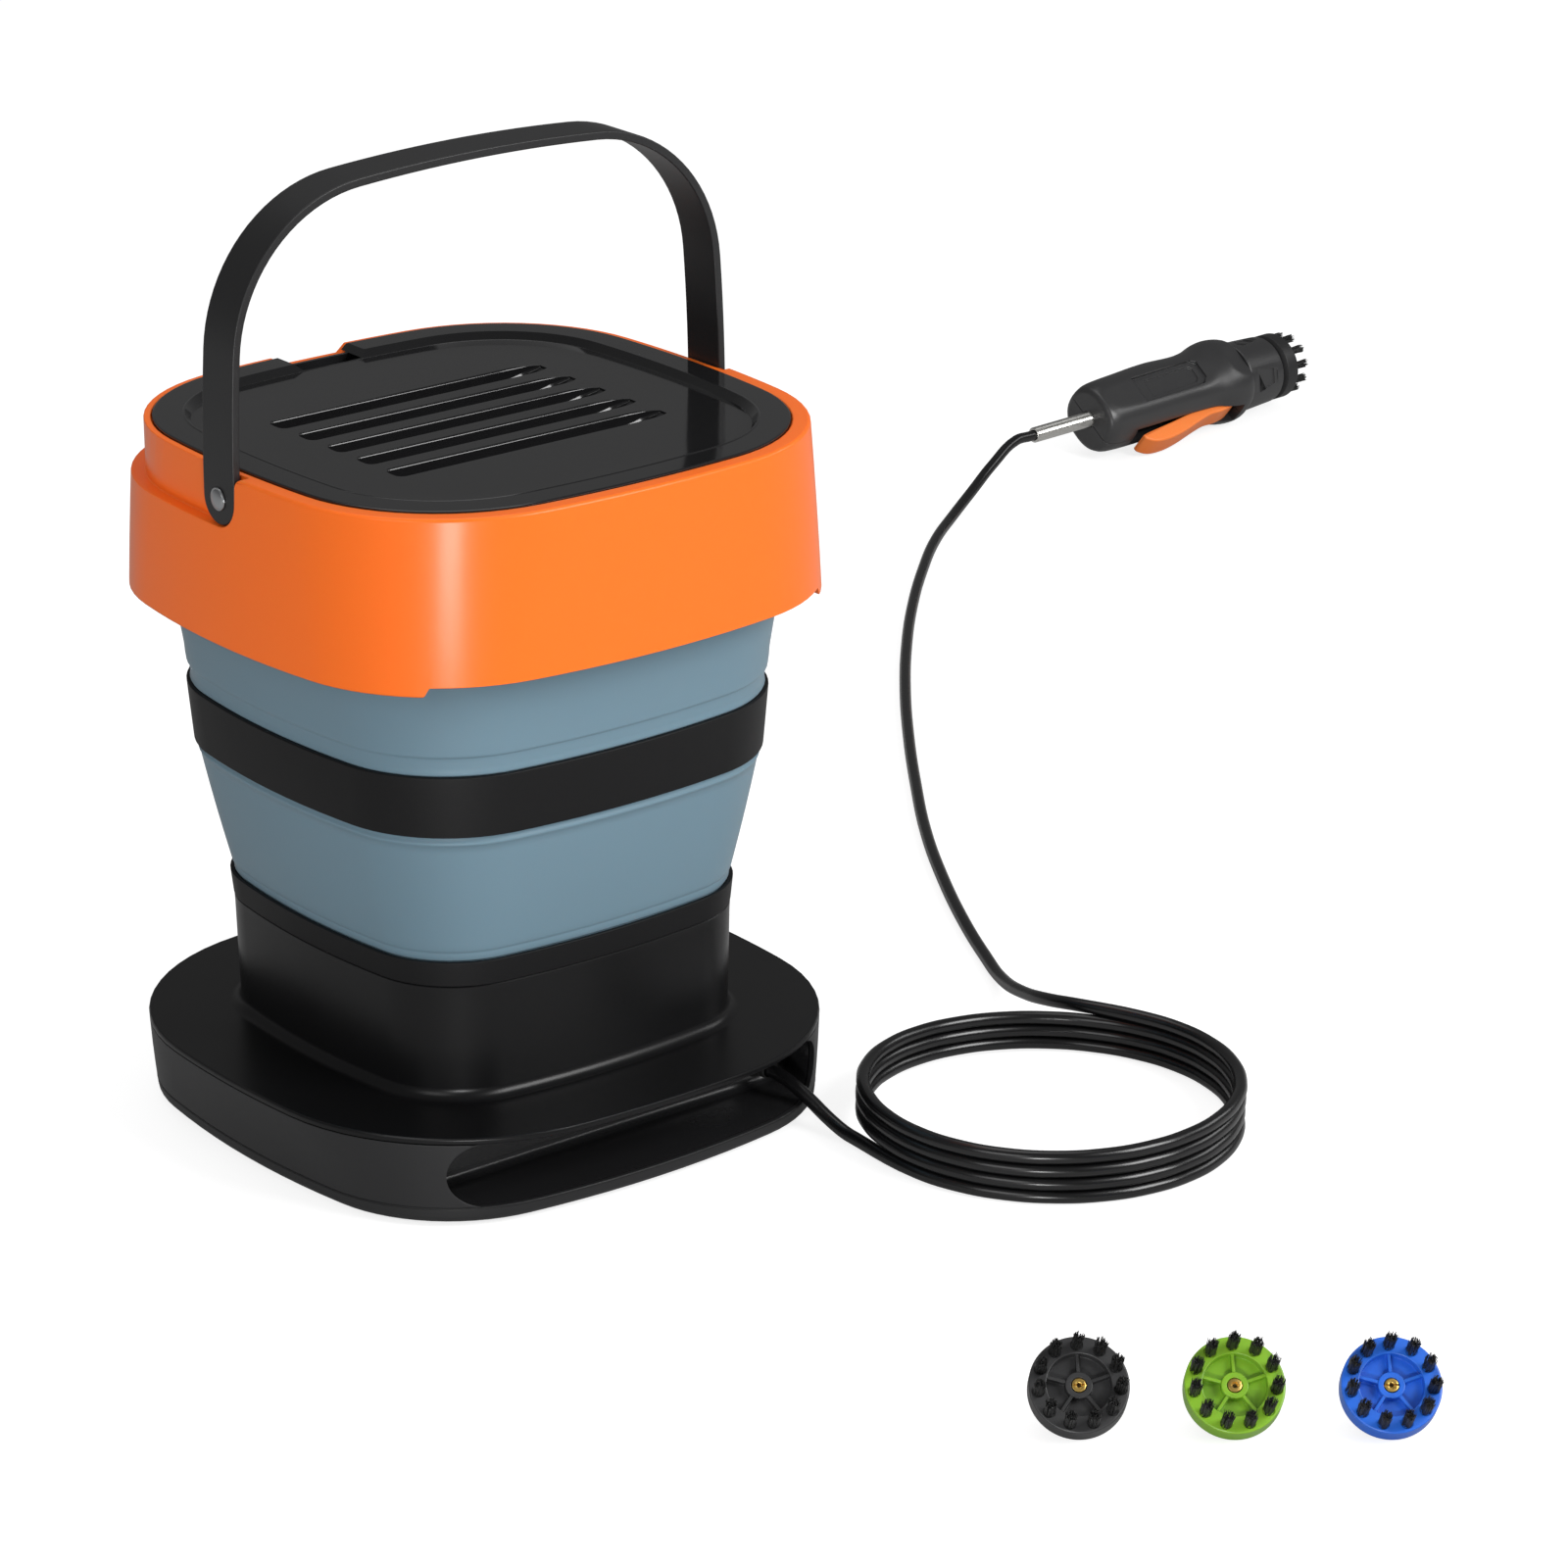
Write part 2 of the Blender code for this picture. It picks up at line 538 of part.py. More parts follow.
def extruded(name, points, axis, low, high, paint=None, cutter=False):
    """A flat outline, given in the two other axes in their X, Y, Z order, extruded along axis."""
    spare = {"X": (1, 2), "Y": (0, 2), "Z": (0, 1)}[axis]
    along = "XYZ".index(axis)
    bm = bmesh.new()
    corners = []
    for first, second in points:
        spot = [0.0, 0.0, 0.0]
        spot[spare[0]] = first
        spot[spare[1]] = second
        spot[along] = low
        corners.append(bm.verts.new(spot))
    face = bm.faces.new(corners)
    pulled = bmesh.ops.extrude_face_region(bm, geom=[face])["geom"]
    shift = [0.0, 0.0, 0.0]
    shift[along] = high - low
    bmesh.ops.translate(bm, vec=shift, verts=[v for v in pulled if isinstance(v, bmesh.types.BMVert)])
    return from_bmesh(name, bm, paint, cutter)


def turned(name, profile, steps, paint=None, cutter=False, ring=False):
    """A profile of (radius, height) turned about local Z with a Screw modifier."""
    ends = list(profile) + [profile[0]]
    area = sum(a[0] * b[1] - b[0] * a[1] for a, b in zip(ends, ends[1:]))
    points = list(profile) if area < 0 else list(reversed(profile))
    mesh = bpy.data.meshes.new(name)
    edges = [(i, i + 1) for i in range(len(points) - 1)]
    if ring:
        edges.append((len(points) - 1, 0))
    mesh.from_pydata([(radius, 0.0, height) for radius, height in points], edges, [])
    item = place(name, mesh, paint, cutter)
    screw = item.modifiers.new("turn", "SCREW")
    screw.axis = "Z"
    screw.angle = math.tau
    screw.steps = steps
    screw.render_steps = steps
    screw.use_merge_vertices = True
    screw.merge_threshold = 0.00001
    screw.use_smooth_shade = True
    return item


def rod(name, radius, low, high, spot, steps=SMALL_STEPS, axis="Z", paint=None, cutter=False):
    """A plain cylinder from low to high along the axis; spot gives its middle in the other two axes."""
    bm = bmesh.new()
    bmesh.ops.create_cone(
        bm, cap_ends=True, segments=steps, radius1=radius, radius2=radius, depth=high - low
    )
    turn = {
        "X": Matrix.Rotation(math.pi / 2, 4, "Y"),
        "Y": Matrix.Rotation(-math.pi / 2, 4, "X"),
        "Z": Matrix.Identity(4),
    }[axis]
    middle = (low + high) / 2
    centre = {
        "X": (middle, spot[0], spot[1]),
        "Y": (spot[0], middle, spot[1]),
        "Z": (spot[0], spot[1], middle),
    }[axis]
    bmesh.ops.transform(bm, matrix=Matrix.Translation(centre) @ turn, verts=bm.verts)
    return from_bmesh(name, bm, paint, cutter)


def smooth_route(points, spacing):
    """Points about one spacing apart on a smooth curve through the given points."""
    knots = [Vector(p) for p in points]
    padded = [2 * knots[0] - knots[1]] + knots + [2 * knots[-1] - knots[-2]]
    route = []
    for before, start, end, after in zip(padded, padded[1:], padded[2:], padded[3:]):
        count = max(1, round((end - start).length / spacing))
        for i in range(count):
            t = i / count
            route.append(
                0.5
                * (
                    2 * start
                    + (end - before) * t
                    + (2 * before - 5 * start + 4 * end - after) * t**2
                    + (3 * start - before - 3 * end + after) * t**3
                )
            )
    route.append(knots[-1])
    return route


def tube(name, points, radius, paint, spacing):
    """A round tube along a smooth route: a curve with a bevel and filled caps."""
    curve = bpy.data.curves.new(name, "CURVE")
    curve.dimensions = "3D"
    curve.bevel_depth = radius
    curve.bevel_resolution = HOSE_SIDES
    curve.use_fill_caps = True
    curve.materials.append(paint)
    route = smooth_route(points, spacing)
    spline = curve.splines.new("POLY")
    spline.points.add(len(route) - 1)
    for point, spot in zip(spline.points, route):
        point.co = (*spot, 1.0)
    item = bpy.data.objects.new(name, curve)
    PARTS.objects.link(item)
    return item


def arc(centre, radius, first, last, steps):
    """Points on an arc, from the first to the last angle in degrees."""
    spots = []
    for i in range(steps + 1):
        angle = math.radians(first + (last - first) * i / steps)
        spots.append((centre[0] + radius * math.cos(angle), centre[1] + radius * math.sin(angle)))
    return spots


# ---------------------------------------------------------------- bowed square outlines
def outline(half, corner, side):
    """A square with bowed sides and round corners: eight arcs, each tangent to the next."""
    bow = side - half
    middle = (math.sqrt(2 * (side - corner) ** 2 - bow**2) - bow) / 2
    swing = math.degrees(math.atan2(middle, middle + bow))
    points = []
    for quarter in range(4):
        heading = 90.0 * quarter
        back = math.radians(heading)
        side_middle = (-bow * math.cos(back), -bow * math.sin(back))
        diagonal = math.radians(heading + 45.0)
        reach = middle * math.sqrt(2)
        corner_middle = (reach * math.cos(diagonal), reach * math.sin(diagonal))
        points += arc(side_middle, side, heading - swing, heading + swing, SIDE_STEPS)[:-1]
        points += arc(corner_middle, corner, heading + swing, heading + 90 - swing, CORNER_STEPS)[:-1]
    return points


def mix(low, high, share):
    return low + (high - low) * share


def base_section(height, inset=0.0):
    """Outline of the base at a height, moved inwards by the inset."""
    share = (height - FOOT_HEIGHT) / (BASE_HEIGHT - FOOT_HEIGHT)
    half = mix(BASE_FOOT_HALF, BASE_TOP_HALF, share) - inset
    corner = mix(BASE_FOOT_CORNER, BASE_TOP_CORNER, share) - inset
    side = mix(BASE_FOOT_SIDE, BASE_TOP_SIDE, share) - inset
    return outline(half, corner, side)


def tower_section(half):
    """Outline of the pedestal, the rings and the bellows."""
    return outline(half, half - TOWER_CORNER_INSET, half + TOWER_SIDE_EXTRA)


def rim_section(half):
    """Outline of the lid and of the collar's inner wall."""
    return outline(half, half - RIM_CORNER_INSET, half + RIM_SIDE_EXTRA)


def skirt_section(height, inset=0.0):
    """Outline of the collar's outside at a height, moved inwards by the inset."""
    share = (height - COLLAR_BOTTOM) / (COLLAR_TOP - COLLAR_BOTTOM)
    half = mix(COLLAR_FOOT_HALF, COLLAR_TOP_HALF, share) - inset
    corner = mix(COLLAR_FOOT_CORNER, COLLAR_TOP_CORNER, share) - inset
    side = mix(COLLAR_FOOT_SIDE, COLLAR_TOP_SIDE, share) - inset
    return outline(half, corner, side)


def skinned(name, rings, paint=None, cutter=False, ring=False):
    """A skin over loops of points. A ring joins the last loop to the first; else both ends close."""
    bm = bmesh.new()
    loops = [[bm.verts.new(spot) for spot in points] for points in rings]
    pairs = list(zip(loops, loops[1:]))
    if ring:
        pairs.append((loops[-1], loops[0]))
    for first, second in pairs:
        for i in range(len(first)):
            j = (i + 1) % len(first)
            bm.faces.new((first[i], first[j], second[j], second[i]))
    if not ring:
        bm.faces.new(loops[0])
        bm.faces.new(loops[-1])
    return from_bmesh(name, bm, paint, cutter)


def lofted(name, stations, paint=None, cutter=False, ring=False):
    """A skin over upright outlines of changing shape, each given with its height."""
    rings = [[(x, y, height) for x, y in points] for points, height in stations]
    return skinned(name, rings, paint, cutter, ring)


# ---------------------------------------------------------------- base
def slot_outline(margin):
    """Upright outline of the storage slot, a stadium, grown by the margin."""
    radius = SLOT_RADIUS + margin
    middle = SLOT_BOTTOM + SLOT_RADIUS
    reach = SLOT_HALF_LENGTH - SLOT_RADIUS
    return arc((reach, middle), radius, -90, 90, 8) + arc((-reach, middle), radius, 90, 270, 8)


def back_wall(x, height):
    """Where the base's back wall stands at x, and the way the wall runs there."""
    points = base_section(height)
    for a, b in zip(points, points[1:]):
        if a[1] > 0 and b[0] <= x <= a[0]:
            share = (x - a[0]) / (b[0] - a[0])
            return mix(a[1], b[1], share), math.atan2(b[1] - a[1], b[0] - a[0]) - math.pi


def wall_spot(x, height):
    """A frame on the back wall: its Z points out of the wall and its X to the left seen from there."""
    y, swing = back_wall(x, height)
    above, _ = back_wall(x, 2 * height)
    lean = math.atan2(above - y, height)
    return (
        Matrix.Translation((x, y, height))
        @ Matrix.Rotation(swing, 4, "Z")
        @ Matrix.Rotation(-math.pi / 2 - lean, 4, "X")
    )


def screw_bosses(name, low, high, target):
    for i, (x, y) in enumerate(SCREW_SPOTS):
        join(target, rod(f"{name}_{i + 1}", BOSS_RADIUS, low, high, (x, y), cutter=True))


def make_base_pan():
    wall = PAN_WALL
    pan = lofted(
        "base_pan",
        [
            (base_section(PAN_UNDERSIDE, PAN_ROUNDING), PAN_UNDERSIDE),
            (base_section(PAN_UNDERSIDE, PAN_ROUNDING * 0.3), PAN_UNDERSIDE + PAN_ROUNDING * 0.4),
            (base_section(PAN_UNDERSIDE + PAN_ROUNDING), PAN_UNDERSIDE + PAN_ROUNDING),
            (base_section(PAN_TOP), PAN_TOP),
            (base_section(PAN_TOP, wall), PAN_TOP),
            (base_section(PAN_FLOOR + wall, wall), PAN_FLOOR + wall),
            (base_section(PAN_FLOOR, 2 * wall), PAN_FLOOR),
        ],
        BASE_BLACK,
    )
    sunk = wall / 2
    screw_bosses("pan_boss", PAN_FLOOR - sunk, BOSS_SPLIT - CLEARANCE, pan)
    pad = rod(
        "rating_pad", PAD_RADIUS, PAN_UNDERSIDE - PAD_DROP, PAN_UNDERSIDE + sunk, (0.0, 0.0),
        steps=ROUND_STEPS, cutter=True,
    )
    join(pan, pad)
    cradle = turned(
        "heater_cradle",
        [
            (CRADLE_RADIUS, CRADLE_TOP),
            (CRADLE_RADIUS, PAN_FLOOR - sunk),
            (CRADLE_RADIUS - CRADLE_WALL, PAN_FLOOR - sunk),
            (CRADLE_RADIUS - CRADLE_WALL, CRADLE_TOP),
        ],
        ROUND_STEPS,
        cutter=True,
        ring=True,
    )
    join(pan, cradle)
    pump_x, pump_y, pump_z = PUMP_SPOT
    post_top = pump_z - PUMP_FLANGE_RADIUS - CLEARANCE
    for i, end in enumerate((-1, 1)):
        middle = pump_y + end * (PUMP_HALF_LENGTH + PUMP_FLANGE / 2)
        post = block(
            f"pump_post_{i + 1}",
            (pump_x - PUMP_POST_HALF, middle - PUMP_FLANGE, PAN_FLOOR - sunk),
            (pump_x + PUMP_POST_HALF, middle + PUMP_FLANGE, post_top),
            cutter=True,
        )
        join(pan, post)
    for i, (x, y) in enumerate(board_posts()):
        post = rod(
            f"board_post_{i + 1}", BOARD_POST_RADIUS, PAN_FLOOR - sunk, BOARD_HEIGHT - CLEARANCE,
            (x, y), steps=8, cutter=True,
        )
        join(pan, post)
    slot = extruded("slot_cutter", slot_outline(0.0), "Y", -FAR, BAY_BACK - BAY_WALL, cutter=True)
    cut(pan, slot)
    for i, (x, y) in enumerate(SCREW_SPOTS):
        head_room = SCREW_HEAD_RADIUS + CLEARANCE
        shank_room = SCREW_RADIUS + CLEARANCE
        cut(
            pan,
            rod(f"head_hole_{i + 1}", head_room, 0.0, SCREW_SEAT, (x, y), cutter=True),
            rod(f"shank_hole_{i + 1}", shank_room, 0.0, BOSS_SPLIT * 1.5, (x, y), steps=8, cutter=True),
        )
    for i, (x, y) in enumerate(foot_spots()):
        hole = rod(
            f"foot_hole_{i + 1}", FOOT_PEG_RADIUS + CLEARANCE, 0.0, 2 * PAN_FLOOR, (x, y),
            steps=8, cutter=True,
        )
        cut(pan, hole)
    grommet_hole = rod(
        "grommet_hole", GROMMET_RADIUS + CLEARANCE, -FAR / 10, FAR / 10, (0, 0), cutter=True
    )
    grommet_hole.matrix_world = wall_spot(INLET_X, BACK_HEIGHT)
    width, height = SWITCH_SIZE
    room = CLEARANCE
    switch_hole = block(
        "switch_hole",
        (-width / 2 - room, -height / 2 - room, -FAR / 10),
        (width / 2 + room, height / 2 + room, FAR / 10),
        cutter=True,
    )
    switch_hole.matrix_world = wall_spot(SWITCH_X, BACK_HEIGHT)
    cut(pan, grommet_hole, switch_hole)


def foot_spots():
    return [(x * FOOT_REACH, y * FOOT_REACH) for x in (-1, 1) for y in (-1, 1)]


def make_feet():
    seat = PAN_UNDERSIDE - CLEARANCE
    peg_top = PAN_FLOOR + CLEARANCE
    profile = [
        (0.0, peg_top + FOOT_PEG_RADIUS / 2),
        (FOOT_PEG_RADIUS, peg_top + FOOT_PEG_RADIUS / 2),
        (FOOT_HEAD_RADIUS, peg_top),
        (FOOT_PEG_RADIUS, peg_top),
        (FOOT_PEG_RADIUS, seat),
        (FOOT_RADIUS, seat),
        (FOOT_RADIUS * 0.94, 0.0),
        (0.0, 0.0),
    ]
    for i, (x, y) in enumerate(foot_spots()):
        foot = turned(f"foot_{i + 1}", profile, SMALL_STEPS, RUBBER)
        foot.location = (x, y, 0.0)


def make_storage_bay():
    wall = BAY_WALL
    back = BAY_BACK + wall
    bay = extruded("storage_bay", slot_outline(wall), "Y", -FAR, back, BASE_BLACK)
    gap = PAN_WALL + CLEARANCE
    room = lofted(
        "bay_room",
        [
            (base_section(PAN_FLOOR, gap), PAN_FLOOR),
            (base_section(PAN_TOP, gap), PAN_TOP),
        ],
        cutter=True,
    )
    keep(bay, room)
    hollow = extruded("bay_hollow", slot_outline(0.0), "Y", -FAR, BAY_BACK, cutter=True)
    bevel = hollow.modifiers.new("fillet", "BEVEL")
    bevel.width = BAY_FILLET
    bevel.segments = FILLET_STEPS
    bevel.limit_method = "ANGLE"
    bevel.angle_limit = math.radians(60)
    cut(bay, hollow)
    hole = rod(
        "gland_hole", GLAND_RADIUS + CLEARANCE, 2 * BAY_BACK, 0.0, (GLAND_X, GLAND_HEIGHT),
        axis="Y", cutter=True,
    )
    cut(bay, hole)


def make_base_cover():
    top = BASE_HEIGHT
    under = COVER_UNDERSIDE
    wall = COVER_WALL
    edge = RIM_THICKNESS * 0.3
    fillet = PEDESTAL_FILLET
    foot = PEDESTAL_FOOT_HALF
    lip = PEDESTAL_LIP_HEIGHT
    cover = lofted(
        "base_cover",
        [
            (base_section(under, edge / 2), under),
            (base_section(under + edge), under + edge),
            (base_section(top - edge), top - edge),
            (base_section(top, edge), top),
            (tower_section(foot + fillet), top),
            (tower_section(foot + fillet * 0.3), top + fillet * 0.3),
            (tower_section(foot), top + fillet),
            (tower_section(PEDESTAL_TOP_HALF), PEDESTAL_TOP),
            (tower_section(PEDESTAL_LIP_HALF), PEDESTAL_TOP),
            (tower_section(PEDESTAL_LIP_HALF), PEDESTAL_TOP - lip),
            (tower_section(PEDESTAL_TOP_HALF - wall), PEDESTAL_TOP - 2 * lip),
            (tower_section(foot - wall), under),
        ],
        BASE_BLACK,
        ring=True,
    )
    screw_bosses("cover_boss", BOSS_SPLIT, under + RIM_THICKNESS / 2, cover)
    for i, (x, y) in enumerate(SCREW_SPOTS):
        pilot = rod(
            f"pilot_{i + 1}", SCREW_RADIUS + CLEARANCE, 0.0, SCREW_SEAT + SCREW_LENGTH + PILOT_MARGIN,
            (x, y), steps=8, cutter=True,
        )
        cut(cover, pilot)


def make_cover_screws():
    seat = SCREW_SEAT - CLEARANCE
    profile = [
        (0.0, seat + SCREW_LENGTH),
        (SCREW_RADIUS * 0.5, seat + SCREW_LENGTH),
        (SCREW_RADIUS, seat + SCREW_LENGTH - SCREW_RADIUS * 2),
        (SCREW_RADIUS, seat),
        (SCREW_HEAD_RADIUS, seat),
        (SCREW_HEAD_RADIUS, seat - SCREW_HEAD_HEIGHT),
        (0.0, seat - SCREW_HEAD_HEIGHT),
    ]
    for i, (x, y) in enumerate(SCREW_SPOTS):
        screw = turned(f"cover_screw_{i + 1}", profile, 8, SCREW_STEEL)
        screw.location = (x, y, 0.0)


# ---------------------------------------------------------------- works inside the base
def make_boiler():
    radius = BOILER_RADIUS
    wall = BOILER_WALL
    bottom = BOILER_BOTTOM
    top = BOILER_TOP
    neck_top = top + BOILER_NECK_HEIGHT
    flange = BOILER_FLANGE_HEIGHT
    thick = BOILER_FLANGE_THICKNESS / 2
    boiler = turned(
        "boiler",
        [
            (0.0, bottom + wall),
            (radius - wall, bottom + wall),
            (radius - wall, top - wall),
            (BOILER_NECK_BORE, top - wall),
            (BOILER_NECK_BORE, neck_top),
            (BOILER_NECK_RADIUS, neck_top),
            (BOILER_NECK_RADIUS, top),
            (radius - wall, top),
            (radius, top - wall),
            (radius, flange + thick),
            (BOILER_FLANGE_RADIUS, flange + thick),
            (BOILER_FLANGE_RADIUS, flange - thick),
            (radius, flange - thick),
            (radius, bottom),
            (0.0, bottom),
        ],
        ROUND_STEPS,
        ALUMINIUM,
    )
    angle = math.radians(INLET_NIPPLE_ANGLE)
    nipple = rod(
        "boiler_nipple", INLET_NIPPLE_RADIUS, radius - wall / 2, radius + INLET_NIPPLE_REACH,
        (0.0, INLET_NIPPLE_HEIGHT), steps=8, axis="X", cutter=True,
    )
    nipple.matrix_world = Matrix.Rotation(angle, 4, "Z")
    join(boiler, nipple)


def make_heater_plate():
    top = HEATER_BOTTOM + HEATER_THICKNESS
    turned(
        "heater_plate",
        [(0.0, top), (HEATER_RADIUS, top), (HEATER_RADIUS, HEATER_BOTTOM), (0.0, HEATER_BOTTOM)],
        ROUND_STEPS,
        ALUMINIUM,
    )


def make_pump():
    half = PUMP_HALF_LENGTH
    flange = half + PUMP_FLANGE
    nipple = INLET_NIPPLE_RADIUS
    side = [
        (nipple, PUMP_NOSE),
        (nipple, flange + PUMP_FLANGE),
        (PUMP_RADIUS * 0.6, flange + PUMP_FLANGE),
        (PUMP_RADIUS * 0.6, flange),
        (PUMP_FLANGE_RADIUS, flange),
        (PUMP_FLANGE_RADIUS, half),
        (PUMP_RADIUS, half),
    ]
    mirrored = [(radius, -height) for radius, height in reversed(side)]
    profile = [(0.0, PUMP_NOSE)] + side + mirrored + [(0.0, -PUMP_NOSE)]
    pump = turned("pump", profile, SMALL_STEPS + 4, PUMP_PLASTIC)
    pump.location = PUMP_SPOT
    pump.rotation_euler = (math.pi / 2, 0.0, 0.0)


def board_posts():
    inset = BOARD_POST_INSET
    columns = (BOARD_LOW[0] + inset, BOARD_HIGH[0] - inset)
    rows = (BOARD_LOW[1] + inset, BOARD_HIGH[1] - inset)
    return [(x, y) for x in columns for y in rows]


def make_control_board():
    x0, y0 = BOARD_LOW
    x1, y1 = BOARD_HIGH
    top = BOARD_HEIGHT + BOARD_THICKNESS
    sunk = BOARD_THICKNESS / 2
    board = block("control_board", (x0, y0, BOARD_HEIGHT), (x1, y1, top), BOARD_GREEN)
    width = x1 - x0
    length = y1 - y0
    parts = (               # place along and across as shares of the board, size, height
        ("transformer", 0.30, 0.25, 0.022, 0.024, 0.018),
        ("relay", 0.70, 0.50, 0.016, 0.020, 0.015),
        ("terminals", 0.25, 0.75, 0.010, 0.030, 0.010),
        ("heat_sink", 0.75, 0.82, 0.014, 0.008, 0.020),
    )
    for name, across, along, wide, long, tall in parts:
        x = x0 + across * width
        y = y0 + along * length
        piece = block(
            f"board_{name}", (x - wide / 2, y - long / 2, top - sunk),
            (x + wide / 2, y + long / 2, top + tall), cutter=True,
        )
        join(board, piece)
    capacitor = rod(
        "board_capacitor", 0.005, top - sunk, top + 0.016, (x0 + 0.75 * width, y0 + 0.2 * length),
        steps=10, cutter=True,
    )
    join(board, capacitor)


def make_inner_tubes():
    spout_end = LOWER_RING_BOTTOM - SPOUT_LENGTH - CLEARANCE
    sx, sy = SPOUT_SPOT
    px, py, pz = PUMP_SPOT
    nose = PUMP_NOSE + CLEARANCE
    tube(
        "feed_tube",
        [
            (sx, sy, spout_end),
            (sx, sy + 0.001, spout_end - 0.012),
            (sx - 0.004, sy + 0.010, spout_end - 0.032),
            (px + 0.014, py + nose + 0.020, pz + 0.016),
            (px + 0.003, py + nose + 0.018, pz + 0.003),
            (px, py + nose + 0.008, pz),
            (px, py + nose, pz),
        ],
        INNER_TUBE_RADIUS + 0.001,
        TUBE_CLEAR,
        0.008,
    )
    angle = math.radians(INLET_NIPPLE_ANGLE)
    out = Vector((math.cos(angle), math.sin(angle), 0.0))
    end = out * (BOILER_RADIUS + INLET_NIPPLE_REACH + CLEARANCE)
    end.z = INLET_NIPPLE_HEIGHT
    tube(
        "pressure_tube",
        [
            (px, py - nose, pz),
            (px, py - nose - 0.009, pz),
            (px + 0.007, py - nose - 0.021, pz - 0.0005),
            (px + 0.020, py - nose - 0.026, pz - 0.001),
            tuple(end + out * 0.016 + Vector((-0.004, -0.004, 0.001))),
            tuple(end + out * 0.007),
            tuple(end),
        ],
        INNER_TUBE_RADIUS,
        TUBE_CLEAR,
        0.008,
    )
    neck = BOILER_TOP + BOILER_NECK_HEIGHT + CLEARANCE
    gx, gy, gz = LEAD_ROUTE[0]
    tube(
        "steam_tube",
        [
            (0.0, 0.0, neck),
            (0.0005, -0.0010, neck + 0.006),
            (0.0090, -0.0120, neck + 0.011),
            (0.0240, -0.0300, neck + 0.009),
            (0.0450, -0.0500, neck - 0.005),
            (0.0660, -0.0600, neck - 0.026),
            (0.0810, -0.0650, neck - 0.046),
            (gx - 0.003, gy + 0.016, gz + 0.008),
            (gx, gy + 0.008, gz + 0.0005),
            (gx, gy + CLEARANCE, gz),
        ],
        INNER_TUBE_RADIUS,
        TUBE_CLEAR,
        0.009,
    )


def make_hose_gland():
    """A bushing through the bay's back wall, turned about local Z, which points out of the bay."""
    bore = HOSE_RADIUS + 2 * BORE_GAP
    face = GLAND_FLANGE + CLEARANCE
    inner = -BAY_WALL - CLEARANCE
    gland = turned(
        "hose_gland",
        [
            (bore, face + GLAND_TAPER),
            (GLAND_TIP_RADIUS, face + GLAND_TAPER),
            (GLAND_RADIUS + 0.0005, face),
            (GLAND_FLANGE_RADIUS, face),
            (GLAND_FLANGE_RADIUS, CLEARANCE),
            (GLAND_RADIUS, CLEARANCE),
            (GLAND_RADIUS, inner),
            (GLAND_FLANGE_RADIUS, inner),
            (GLAND_FLANGE_RADIUS, inner - GLAND_NUT),
            (bore, inner - GLAND_NUT),
        ],
        SMALL_STEPS,
        RUBBER,
        ring=True,
    )
    gland.location = (GLAND_X, BAY_BACK, GLAND_HEIGHT)
    gland.rotation_euler = (math.pi / 2, 0.0, 0.0)


def make_power_inlet():
    """A rubber grommet for the mains lead, in the back wall."""
    inlet = turned(
        "power_inlet",
        [
            (GROMMET_BORE, GROMMET_FLANGE_THICKNESS + CLEARANCE),
            (GROMMET_RADIUS, GROMMET_FLANGE_THICKNESS + CLEARANCE),
            (GROMMET_FLANGE, GROMMET_FLANGE_THICKNESS / 2),
            (GROMMET_FLANGE, CLEARANCE),
            (GROMMET_RADIUS, CLEARANCE),
            (GROMMET_RADIUS, -PAN_WALL * 1.3),
            (GROMMET_RADIUS + 0.001, -PAN_WALL * 1.6),
            (GROMMET_RADIUS, -PAN_WALL * 2.6),
            (GROMMET_BORE, -PAN_WALL * 2.6),
        ],
        SMALL_STEPS,
        RUBBER,
        ring=True,
    )
    inlet.matrix_world = wall_spot(INLET_X, BACK_HEIGHT)


